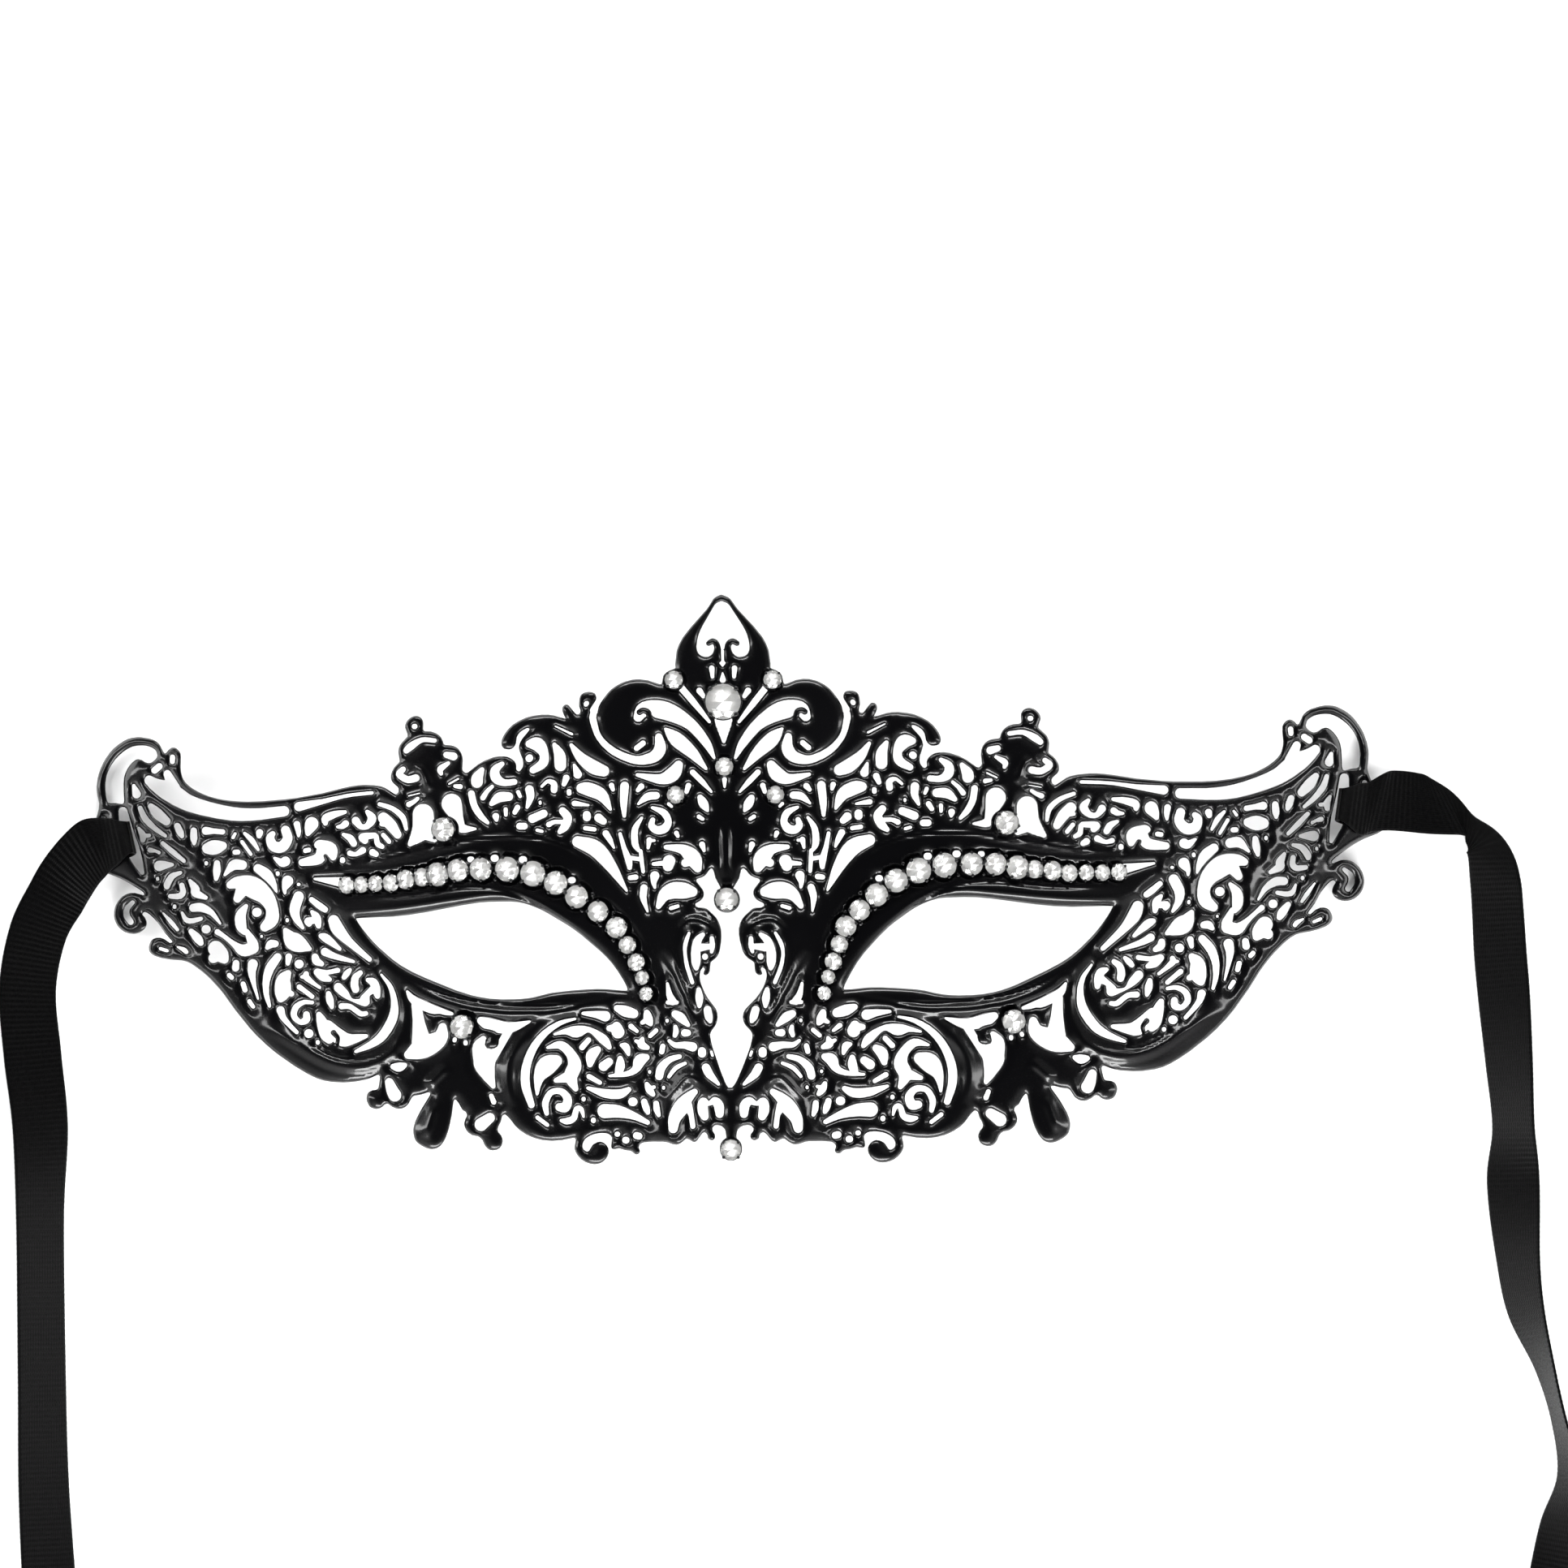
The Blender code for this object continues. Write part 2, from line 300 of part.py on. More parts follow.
GAPS_TEMPLE = (
    (((57.5, 17.4, .33), (62, 17.1, .33), (66.5, 16.3, .45), (71, 15.6, .8)),),
    (((73.7, 14.95, .9), (78, 14.65, 1), (82, 14.8, 1.15), (86, 15.65, 1.25), (90, 17.05, 1.4),
      (93, 19, 1.65), (95.2, 20.2, 1.15), (96.4, 21.1, .85)), ((92.3, 19.6, 1.1), (93.3, 22, .7))),
    (((56.2, 15.5, .38), (53.9, 14.7, .45), (52.1, 13.2, .5), (51.6, 11.3, .35)),),
    (((55.6, 13.2, .95), (54.3, 12, .95), (53.2, 10.4, .7)), ((55, 12.2, .5), (56, 12.2, .4))),
    (((55.8, 10.4, .42), (54.8, 9.3, .42)),),
    (((58.5, 14.3, .4), (57.7, 13.2, .75), (58.6, 12, .55), (59.8, 11.9, .5), (60.7, 12.9, .7)),),
    (((57.4, 10.4, .5), (59.6, 10.2, .65), (59.2, 9.6, .6)),
     ((57.1, 10.2, .45), (56.9, 9, .5), (56.1, 8.5, .42))),
    (((63.1, 10.7, .35), (61.9, 10.1, .6), (61.3, 9.2, .6)),),
    (((57.9, 7.6, .62), (57.3, 7.3, .5)),),
    (((59.7, 8, .6), (61, 7.4, .4), (62.1, 7.6, .5)),),
    (((63.5, 6.55, .5), (63.5, 6.45, .5)),),
    (((62.6, 14.4, .35), (64.5, 14.1, .6), (66.2, 13.5, .7), (66.3, 12.7, .45)),),
    (((62.6, 12.5, .6), (63.2, 12.1, .5), (64.1, 12, .3)),),
    (((68.8, 12.7, 1.15), (69.2, 12, .9), (69.6, 11.1, .45)),),
    (((71.5, 12.7, .6), (71.3, 11.6, .5), (71.3, 10.8, .3)),),
    (((65.2, 7.1, .6), (65.6, 8.4, 1.1), (67.3, 9.1, .9), (67.9, 9.2, .65)),
     ((67.2, 8.3, .9), (67.9, 6.9, .95), (70.9, 6.4, .65))),
    (((69.6, 8.4, .45), (70.2, 8.3, .45)),),
    (((73.6, 11.8, .8), (73.3, 10.4, .85), (74.4, 9.1, .95), (75.9, 9.3, .9), (76.4, 10.6, .75),
      (75.9, 11.3, .5)),),
    (((73.9, 6.7, .85), (74.6, 6.5, .7), (75.8, 7.3, .3)),),
    (((75.4, 4.8, .38), (75.4, 4.65, .38)),),
    (((71.7, 2.8, .33), (71.8, 2.8, .33)),),
    (((73.7, 3.4, .98), (74.3, 2.3, .5), (74.3, 1.5, .3)),),
    (((71.9, .8, .9), (72.75, -1.2, .9), (72.5, -2.9, .65), (71.5, -4.4, .33)),),
    (((69.6, .2, .5), (68.2, -.9, .6), (67.3, -1.5, .55)),),
    (((78.2, 11.6, .65), (78.3, 11.1, .5)),),
    (((80.8, 11.6, .32), (79.6, 10.4, .5), (78.6, 8.8, .3)),),
    (((81.3, 10.2, .38), (79.9, 8.1, .33)),),
    (((82.4, 11.6, .3), (82.8, 11, .35)),),
    (((84.5, 12, .5), (86, 12.2, .5), (87.3, 12.3, .72)),),
    (((89.3, 12.4, .6), (89.35, 11.2, .65), (89.35, 10.3, .35)),),
    (((92, 13.3, .6), (91.6, 12.3, .65), (91.3, 11.6, .4)),),
    (((96.3, 16.8, .55), (95.2, 15.5, .95), (93.8, 14.2, .75)),),
    (((98.1, 16.6, .45), (97.4, 14.9, .58), (95.9, 13.2, .5), (94.1, 11.8, .35)),),
    (((98.5, 13.3, .3), (97.9, 12.2, .6), (97.9, 11.3, .48)), ((97.6, 12, .4), (96.8, 12, .38))),
    (((94.6, 10.6, .42), (92.9, 9, .5), (91.2, 7.5, .38)),),
    (((96.8, 9.6, .48), (95.9, 9.4, .3), (95.3, 9.1, .35)),),
    (((93.2, 7, .35), (94.5, 7, .72), (95.4, 6.9, .92)),),
    (((91.9, 5.6, .35), (93.3, 5.1, .55), (94.2, 3.9, .62), (94.3, 3.4, .52)),),
    (((95.8, 4.85, .33), (95.8, 4.7, .33)),),
    (((91.8, 3.5, .5), (91.65, 2.4, .55), (92.3, 1.75, .55), (93.8, 1.8, .45)),),
    (((90.4, 4.2, .35), (89.6, 2.9, .75), (89.5, 2.1, .75), (87.9, 1.3, .4)),),
    (((93.2, .1, .38), (93.2, 0, .38)),),
    (((84.6, 9.7, .75), (86, 9.5, 1.25), (87.2, 9.4, .92)),),
    (((82.1, 8.55, .48), (82.6, 8.55, .48)),),
    (((81.5, 6.4, .85), (82.8, 6.5, .9), (83.7, 5.8, .58), (84.5, 4.9, .3)),),
    (((85.7, 6.9, .55), (85.8, 5.6, .7), (86, 4.3, .4)),),
    (((87.5, 7, .38), (87.5, 6.9, .38)),),
    (((78.8, 5.7, .8), (77.3, 4.6, .92), (76.3, 3.1, .6), (75.8, 1.8, .25)),),
    (((78.2, -4, .8), (76.9, -2.8, 1.15), (76.8, -.8, 1.1), (77.9, 1.2, 1.45), (80, 2.7, 1.8),
      (82.3, 3.5, 1.1), (83.7, 3.2, .68)), ((81.8, 2.2, 1.1), (82.6, .9, .72))),
    (((99, 20.3, .38), (98.6, 18.95, .78)),),
    (((92.35, 24.7, .5), (92.4, 24, .48)),),
    (((94.6, 23.3, .6), (95.4, 22.7, .62)),),
    (((101, 16.2, .8), (100.5, 12.8, 1.15), (99.45, 9.2, 1.15), (98.3, 5.9, .4)),),
    (((104.35, 15.2, .5), (104.6, 12.5, .8), (104.5, 9.8, .8)),),
)
GAPS_SIDE = (
    (((79.35, -1.5, .8), (79.45, -1.5, .8)),),
    (((81.2, -.4, .4), (82.2, -1.9, .9), (82.2, -3.6, .95), (81.7, -4.8, .45)),
     ((81.3, -4.6, .45), (80.4, -6.6, .9), (80.4, -7.5, 1)),
     ((80.4, -7.4, 1.05), (82, -7.8, 1), (83.5, -6.7, .55), (85, -5.4, .4), (86.2, -4.5, .55))),
    (((76.5, -6.9, .62), (77.3, -6.9, .7), (77.9, -7.5, .42)),),
    (((78.8, -5.6, .28), (78.8, -5.5, .28)),),
    (((76.2, -9.2, .72), (77.6, -11, .8), (78.3, -13.2, .65), (78.3, -15.4, .5), (77.8, -17.4, .33)),),
    (((80.5, -10.2, .88), (80.7, -11.5, .72), (80.4, -13.6, .42), (79.75, -16.1, .22)),),
    (((83.3, -9.9, .6), (83.4, -10.7, .66)),),
    (((84.5, -11.9, .45), (84.1, -12.3, .45)),),
    (((82.2, -13.5, .48), (81.9, -14.5, .48)),),
    (((81.2, -16.5, .43), (80.6, -17.4, .38)),),
    (((86.6, -7.3, 1.35), (85.8, -8.3, 1.3), (85.2, -9.2, .72)), ((86.2, -8.5, .9), (87.1, -8.9, .85))),
    (((88.05, -3.95, .76), (88.15, -3.95, .76)),),
    (((90.6, -4.2, .53), (89.6, -5.4, .78), (89.1, -6.2, .55)),),
    (((90.1, -.3, .72), (88.7, -.3, .76), (87, -1.3, .52), (85.7, -3.1, .25)),),
    (((88.9, -2.15, .4), (90.4, -2.45, .48), (91.4, -2.2, .48), (92, -1, .28)),),
    (((95.2, -.9, .2), (93.9, -2.5, .43), (92.9, -3.8, .33)),),
    (((100.2, 1.1, .4), (101.2, .1, .52), (101.3, -1.1, .58), (100.7, -2.1, .56)),),
    (((94.8, -7.25, .33), (95.9, -6.85, .33)),),
    (((93, -6.7, .22), (92, -7.2, .43), (91.6, -7.6, .43)),),
    (((65.8, -3.4, .95), (65.1, -4.9, 1.1), (63.2, -7.1, .72), (59.8, -10.1, .45)),),
    (((68.2, -5.9, .5), (67.2, -6.4, .75), (65, -8.2, .36)),),
    (((67.7, -8.6, .72), (66, -9.4, .55), (62.7, -10.4, .33)),),
    (((69.5, -9.4, .62), (69.3, -10.1, .7), (68.4, -10.6, .48)),),
    (((69.7, -1.8, .35), (68.9, -2.8, .72), (68.6, -4.2, .48)),
     ((68.9, -3.3, .55), (70.5, -3.3, .62), (70.3, -3.8, .5))),
    (((74.6, -4.7, .46), (73.7, -6.2, 1.25), (72.7, -6.9, 1.5), (70.4, -8, .38)),),
    (((74.2, -2.95, .34), (74.2, -3.1, .34)),),
    (((72.35, -10.5, .76), (72.45, -10.5, .76)),),
    (((74.2, -9.2, .62), (74.4, -10.3, .43)),),
    (((74.4, -12, .58), (75.3, -13.2, 1.2), (75.4, -14.9, 1.4), (75.8, -16.2, .7)),
     ((75, -15, .7), (73.9, -15.5, .5))),
    (((71.2, -12.2, .5), (71.2, -12.8, .58), (69.9, -13.9, .38), (68.9, -14.6, .33)),
     ((71.2, -12.7, .4), (72, -12.7, .33))),
    (((70.3, -16.1, .43), (71.8, -14.9, .45), (72.5, -14.4, .5)),),
    (((65.6, -11.8, .48), (67.5, -12.1, .43), (69.2, -12, .66)),
     ((69, -12.2, .66), (68.2, -12.8, .8), (67.1, -13.3, .43))),
    (((63.4, -11.8, .38), (64, -12.4, .56), (64.5, -13, .48)),),
    (((61.6, -12.35, .48), (62.5, -13.1, .62), (62.75, -14.3, .7), (62.6, -15.1, .66)),),
    (((60.3, -13.6, .42), (59.4, -14, .72), (59, -15, .76), (58.8, -16.3, .52)),
     ((59.3, -15.1, .76), (60.5, -15.9, .52), (61.1, -16.9, .85), (61.2, -17.3, .72),
      (63.3, -16.9, .3), (64.6, -15.7, .72), (65.6, -14.7, .8))),
    (((57.9, -12.75, .25), (56.45, -14.8, .43), (55.95, -17.2, .58), (56.4, -20, .8),
      (58.3, -22.9, .8), (60.4, -24.4, .62), (63.1, -25.5, .32)),),
    (((61, -19.2, .43), (62, -19.2, .48), (63.7, -18, .48), (65.2, -17.9, .56)),),
    (((67.4, -15.7, .48), (67.2, -16.8, .68), (66.9, -18, .38)),),
    (((69.2, -19.2, .52), (68.7, -20.6, .95), (68.2, -22.5, 1), (67.6, -23.4, .72)),
     ((67.8, -21.2, 1.05), (65.6, -23.2, 1.3), (64, -23.5, .95), (61.2, -23, .38))),
    (((70.3, -17.1, .35), (71.8, -17, .43), (73.2, -17.8, .55), (73.6, -19.2, .55), (72.6, -20.3, .48),
      (71.5, -20, .66), (71.4, -19.1, .6)),),
    (((75.9, -18.2, .72), (75.5, -19.4, .56), (74.3, -20.9, .43), (73.2, -22, .38)),),
    (((71.05, -22.3, .76), (71.15, -22.3, .76)),),
    (((69.6, -23.75, .4), (69.6, -23.85, .4)),),
    (((34, -20.9, .25), (37.5, -21.9, .95), (40.5, -21.3, 1.05), (41.9, -20.7, .66)),
     ((37.2, -21.8, .8), (38.4, -24, .7), (40, -26.2, .9), (41.6, -27.2, 1.85), (41.2, -29.4, 1.2),
      (40.35, -31.5, .43)), ((41.6, -23.7, .52), (42.4, -25, 1.05), (41.9, -27, 1.6))),
    (((53.6, -15.7, .28), (52.6, -17.2, .72), (50, -18.6, .8), (46.6, -19.5, .33)),
     ((52.3, -18, .85), (52.1, -21, 1.05), (51.8, -24.6, 1.75)),
     ((48.2, -21.7, .72), (48.8, -23.6, 1.3), (51.5, -25, 1.8), (54.2, -26.2, .72))),
    (((44.55, -24.25, .42), (44.55, -24.4, .42)),),
    (((46.3, -23.75, .4), (46.35, -23.9, .4)),),
    (((40.7, -33.1, .43), (40.3, -34.1, .48)),),
    (((41, -36.7, .85), (42.5, -37.8, 1.1)),),
    (((54.9, -27.9, .43), (55.9, -28.2, .8), (56.9, -28.1, .48)),),
    (((57.7, -30.7, .76), (57.3, -32, 1), (56.9, -32.8, 1.1)),),
)
GAPS_CHEEK = (
    (((26.4, -20.5, .25), (29, -21.2, .43), (31.6, -22.9, .58), (33.6, -25.4, .68), (34.8, -28.5, .76),
      (34.9, -31.5, .76), (34, -34.6, .58)),),
    (((20.7, -25.2, .43), (21.7, -23.9, .8), (24, -22.3, .48), (26.2, -22.6, 1), (28, -22.55, .52),
      (29.9, -23, .25)),),
    (((24.2, -24, .48), (25.3, -25.2, .52)),),
    (((22.7, -25.6, .62), (23.7, -26.5, .95), (24, -28, .52)),),
    (((31.1, -25.2, .28), (28.9, -24.8, .72), (27.2, -26.3, .85), (26.6, -28.2, 1.15),
      (27.3, -30, 1.1), (26.5, -32, .48)), ((27.3, -29.9, 1.05), (29.8, -30.6, .43))),
    (((29.7, -27.4, 1), (31.3, -28.2, 1.6), (32.5, -29.8, 1), (32.9, -31.4, .58), (33, -32.8, .3)),),
    (((31.45, -36, .43), (31.65, -34.3, .58), (30.7, -32.6, .52), (29, -32.4, .58), (27.9, -33.6, .72),
      (28.3, -35, .85), (29.3, -35, .7)),),
    (((25.25, -36.6, .25), (25.6, -35.4, .43), (26.4, -35.3, .48), (26.9, -36.8, .56),
      (28, -37.3, .6), (29, -37.2, .33)),),
    (((33, -36.7, .4), (31.4, -37.9, .38)),),
    (((25.2, -33.65, .4), (25.2, -33.75, .4)),),
    (((23.6, -37.15, .46), (23.6, -37.25, .46)),),
    (((3.5, -7.4, .42), (3.5, -8.6, .48), (3.7, -9.6, .33)), ((3.6, -8.7, .46), (5.6, -8.9, .7)),
     ((5, -6.8, .42), (6, -7.8, .7), (6.5, -9.5, .8), (6.5, -11.2, .8), (6.4, -12.3, .42))),
    (((4.9, -10.35, .52), (4.9, -10.45, .52)),),
    (((7.25, -6.55, .3), (8.05, -8.2, .4), (8.35, -9.8, .33), (8, -12, .38), (7, -14.6, .38)),),
    (((5.8, -15.8, .43), (5.6, -17.2, .7), (5.5, -18.5, .38)),),
    (((4, -19.1, .68), (3.7, -20.2, .7), (3.4, -21, .38)),),
    (((11.2, -14.8, .28), (10.8, -16.6, .55), (10.2, -17.7, .7)), ((9.5, -17.9, .38), (11, -17.9, .38))),
    (((9.6, -19.8, .66), (8.6, -20.4, .8), (7.3, -21.6, .38)),),
    (((10.9, -20.85, .33), (10.9, -20.95, .33)),),
    (((7.4, -22.9, .58), (7.9, -22.9, .66)),),
    (((9.5, -21.9, .38), (9.4, -22.6, .5), (9.6, -23.3, .43)),),
    (((14.4, -19.6, .56), (14.1, -20.6, .8), (13.7, -21.4, .43)), ((14.4, -20.8, .5), (15.1, -21.2, .38))),
    (((12.8, -22.5, .42), (13.8, -23.4, .4)),),
    (((16.6, -19.7, .8), (18, -19.3, .95), (19.4, -18.8, .56)),),
    (((21.3, -20.1, .9), (22.8, -19.8, .62), (25, -19.6, .33)),),
    (((17, -21.8, .48), (16, -22.6, .33)),),
    (((19.4, -21.8, .8), (19.2, -22.7, 1.1)), ((19.6, -22.1, .8), (20.6, -22.1, .56))),
    (((15.1, -23.8, .33), (15.3, -24.8, .7), (14.3, -25.3, .43)), ((15.4, -24.6, .5), (16.2, -24.2, .33))),
    (((18.6, -24.9, .38), (17.9, -25.2, .66), (17.5, -26.4, .33)),),
    (((6.6, -25.2, .8), (8, -24.9, .62), (9.6, -24.9, .48), (10.6, -24.2, .33)),),
    (((11.7, -25.1, .48), (11.9, -26, .48)),),
    (((4.95, -25.9, .7), (4.95, -26.3, .7)),),
    (((3.3, -26, .28), (3.1, -26.6, .28)),),
    (((4.3, -28.6, .72), (3.7, -29.7, .7), (2.1, -31.3, .3)),),
    (((8.9, -26.8, .43), (10.6, -27.3, .56), (12, -28.6, .72), (12.4, -30, .7)),),
    (((7.95, -27.9, .33), (9.6, -28.7, .4), (10.75, -30.1, .33)),),
    (((14, -29.25, .32), (14, -29.35, .32)),),
    (((14.5, -26.9, .56), (15.6, -27.4, 1), (16.3, -28.8, .68), (17.8, -29.6, .48), (20.7, -29.9, .28)),
     ((18.9, -27.1, .5), (18.9, -28.2, .8), (19.2, -29.4, .7))),
    (((20.8, -27.6, .7), (21.7, -28.3, .85)),),
    (((24.2, -30, .48), (22.4, -31, .4)),),
    (((17.6, -32.2, .48), (19.1, -32.9, .8), (21.5, -32.8, .75), (24.4, -31.9, .33)),),
    (((14.5, -31.3, .4), (14.1, -32.2, .66), (13.5, -33, .42)), ((13.9, -32, .4), (13.3, -31.8, .33))),
    (((11.7, -31.85, .32), (11.7, -31.95, .32)),),
    (((13, -34.5, .52), (12.9, -35.5, .56), (12.6, -36.4, .38)),),
    (((15, -34.2, .56), (14.7, -35.2, .62), (14.4, -36, .38)),),
    (((16.85, -34.2, .76), (16.95, -34.2, .76)),),
    (((14.5, -37.6, .43), (16.8, -36.5, .66), (19.5, -35.75, 1.05), (21.7, -35.7, 1.2)),),
    (((6.4, -32.6, .56), (7.8, -33.8, .95), (8.8, -35.2, 1.3), (9.9, -36.9, 1.05), (10.2, -38.6, .8)),
     ((7.9, -34.6, 1), (7.1, -36.2, .5), (6.8, -38.2, .48))),
    (((2, -36.2, .7), (2.1, -34.9, .85), (2.8, -34.1, .7), (3.9, -34.5, .4), (4.9, -34.3, .8),
      (5, -35.6, .9), (4.7, -36.6, .7)),),
    (((16, -39.85, .62), (16.4, -39.75, .62)),),
    (((18.15, -40.5, .6), (18.25, -40.5, .6)),),
    (((19.55, -39.5, .46), (19.65, -39.5, .46)),),
)

# Tongues and seats of metal left standing in a gap.
TONGUES = (
    (((.75, 38.4, .5), (.8, 40, .5), (1, 41, .48), (1.6, 41.45, .45), (2.3, 41.1, .4)),),
    (((9.5, 27.8, .45), (11.2, 28.8, .45), (11.6, 29.8, .45), (12.3, 30.1, .45), (12.8, 29.8, .45)),),
    (((66.1, 6, .3), (66.6, 7.3, .3)),),
    (((66.3, -24.4, .3), (66.1, -23.2, .33), (66.8, -22.3, .43)),),
    (((42.8, -22.3, .45), (40.9, -22.5, .4), (39.9, -23.2, .7), (40.2, -24.2, 1.1)),),
    (((46.4, -20.9, .4), (47.8, -20.2, .42), (49, -20.2, .7), (49.9, -21, 1.05)),),
    (((0, -.2, 1.1), (0, .9, .95), (0, 3, 1.2)),),
    (((0, -1.1, 2.05), (0, -1, 2.05)),),
    (((0, -42, 1.8), (0, -41.8, 1.8)),),
    (((44.65, -21.7, 2.05), (44.65, -21.6, 2.05)),),
    (((44.65, 11.05, 2.2), (44.65, 11, 2.2)),),
    (((7.7, 35, 1.65), (7.7, 34.9, 1.65)),),
)

# Raised lines pressed into the sheet, as rows of (out, up) with a height share and a half width.
RIDGES = (
    (1.0, 2.2, ((19.4, -9.3), (25, -4.9), (30, -1.5), (36, .4), (44, -.3), (50, -.9), (56, -1.5),
                (62, -1.7), (66, -.6), (69, 1.9))),
    (.7, 1.2, ((38, 7.6), (44, 7.2), (49, 5.9), (55, 5.1), (62, 4.4))),
    (.9, 1.3, ((19.4, -17.5), (25, -18.5), (30, -19.4), (36, -19.6), (42, -19.1), (50, -16.8),
               (55.3, -13.3))),
    (.9, 1.0, ((2.9, -5.9), (5, -4.6), (7, -4.4), (8.8, -6.2))),
    (1.0, 1.3, ((12.2, -9.5), (9.5, -15), (6.3, -21.5))),
    (.7, 1.0, ((20, .2), (16.5, -4.5), (14.2, -10))),
    (.9, 1.0, ((5.5, -31), (7, -30.1), (8.6, -30.8), (10.8, -33.8))),
    (1.1, 1.6, ((34.5, -22.7), (37.3, -27), (37.8, -31), (36.8, -35))),
    (1.0, 1.6, ((54.5, -21), (57, -25.5), (62, -27.8), (68, -27), (75, -22.8), (79.5, -20.3))),
    (.9, 1.4, ((47.6, -28), (51.5, -31.5))),
    (1.0, 1.6, ((50, -34), (51, -37), (52, -40))),
    (1.0, 1.3, ((49, 22), (46.7, 17.3))),
    (.9, 1.6, ((0, 12), (0, 7), (0, 2.5))),
)




def ease(t):
    """A smooth step from 0 to 1."""
    t = min(max(t, 0.0), 1.0)
    return t * t * (3 - 2 * t)


def chart_to_plane(side, out, up):
    """World x and y of a chart point on one side; the photographed mask leans and lies a little askew."""
    x = side * out * ACROSS - AXIS_LEAN * up * UPWARD
    skew = SKEW_HIGH + (SKEW_LOW - SKEW_HIGH) * ease((SKEW_TOP - up) / SKEW_SPAN)
    x += skew * out / (out + SKEW_REACH)
    y = up * UPWARD + side * TEMPLE_LIFT * (out / CHART_OUT) ** 2
    if side < 0:
        spread = ease(out / 24) * (1 - ease((out - 40) / 44))
        x -= spread * (LEFT_SPREAD_LOW + (LEFT_SPREAD_HIGH - LEFT_SPREAD_LOW) * ease((up + 20) / 25))
        x += LEFT_NOSE_INSET * max(0.0, 1 - math.hypot((out - 10) / 26, (up + 10) / 11))
        x -= LEFT_SIDE_SPREAD * max(0.0, 1 - math.hypot((out - 55) / 24, (up + 16) / 18))
        y += LEFT_LOW_RISE * ease((out - 20) / 52) * ease(-up / 25)
    return x, y


def catmull(points, steps, closed=False):
    """Points along a Catmull-Rom curve through the given rows, of any number of columns."""
    rows = [np.array(p, dtype=float) for p in points]
    count = len(rows)
    if count == 1:
        return [rows[0]]
    line = []
    for i in range(count if closed else count - 1):
        if closed:
            a, b, c, d = (rows[(i + k - 1) % count] for k in range(4))
        else:
            b, c = rows[i], rows[i + 1]
            a = rows[i - 1] if i > 0 else b
            d = rows[i + 2] if i + 2 < count else c
        for k in range(steps):
            t = k / steps
            line.append(0.5 * (2 * b + (c - a) * t + (2 * a - 5 * b + 4 * c - d) * t ** 2
                               + (3 * b - a - 3 * c + d) * t ** 3))
    if not closed:
        line.append(rows[-1])
    return line


class Field:
    """A signed distance on a flat grid: negative in metal."""

    def __init__(self, low, high, pitch):
        self.pitch = pitch
        self.xs = np.arange(low[0], high[0] + pitch, pitch)
        self.ys = np.arange(low[1], high[1] + pitch, pitch)
        self.value = np.full((len(self.ys), len(self.xs)), FAR)

    def window(self, low, high):
        """The grid cells of a box, as slices with their coordinates."""
        i0 = max(int((low[0] - self.xs[0]) / self.pitch), 0)
        i1 = min(int((high[0] - self.xs[0]) / self.pitch) + 2, len(self.xs))
        j0 = max(int((low[1] - self.ys[0]) / self.pitch), 0)
        j1 = min(int((high[1] - self.ys[0]) / self.pitch) + 2, len(self.ys))
        cells = (slice(j0, j1), slice(i0, i1))
        gx, gy = np.meshgrid(self.xs[i0:i1], self.ys[j0:j1])
        return cells, gx, gy

    def lower_to_edge(self, points):
        """Lower the value to the distance from a closed outline, and return the inside mask."""
        inside = np.zeros(self.value.shape, dtype=bool)
        count = len(points)
        for k in range(count):
            ax, ay = points[k]
            bx, by = points[(k + 1) % count]
            cells, gx, gy = self.window((min(ax, bx) - REACH, min(ay, by) - REACH),
                                        (max(ax, bx) + REACH, max(ay, by) + REACH))
            dx, dy = bx - ax, by - ay
            span = dx * dx + dy * dy
            if span > 0:
                t = np.clip(((gx - ax) * dx + (gy - ay) * dy) / span, 0, 1)
                gap = np.hypot(gx - ax - t * dx, gy - ay - t * dy)
                self.value[cells] = np.minimum(self.value[cells], gap)
            if ay != by:
                rows = np.nonzero((self.ys >= min(ay, by)) & (self.ys < max(ay, by)))[0]
                cross = ax + (self.ys[rows] - ay) * dx / dy
                start = np.searchsorted(self.xs, cross)
                for row, first in zip(rows, start):
                    inside[row, first:] ^= True
        return inside

    def lower_to_spine(self, stations):
        """Lower the value to the distance from a swept disc of changing radius."""
        for (ax, ay, ar), (bx, by, br) in zip(stations[:-1], stations[1:]):
            wide = max(ar, br) + REACH
            cells, gx, gy = self.window((min(ax, bx) - wide, min(ay, by) - wide),
                                        (max(ax, bx) + wide, max(ay, by) + wide))
            dx, dy = bx - ax, by - ay
            span = max(dx * dx + dy * dy, 1e-18)
            t = np.clip(((gx - ax) * dx + (gy - ay) * dy) / span, 0, 1)
            gap = np.hypot(gx - ax - t * dx, gy - ay - t * dy) - (ar + (br - ar) * t)
            self.value[cells] = np.minimum(self.value[cells], gap)


def outline_points(side, rows, closed, steps):
    """A chart outline as a smooth line of world points."""
    return [chart_to_plane(side, max(p[0], 0.0), p[1]) for p in catmull(rows, steps, closed)]


def spine_stations(side, rows, steps):
    """A chart spine as a smooth line of world points with radii."""
    return [chart_to_plane(side, p[0], p[1]) + (max(p[2], 0.05) * ACROSS,) for p in catmull(rows, steps)]


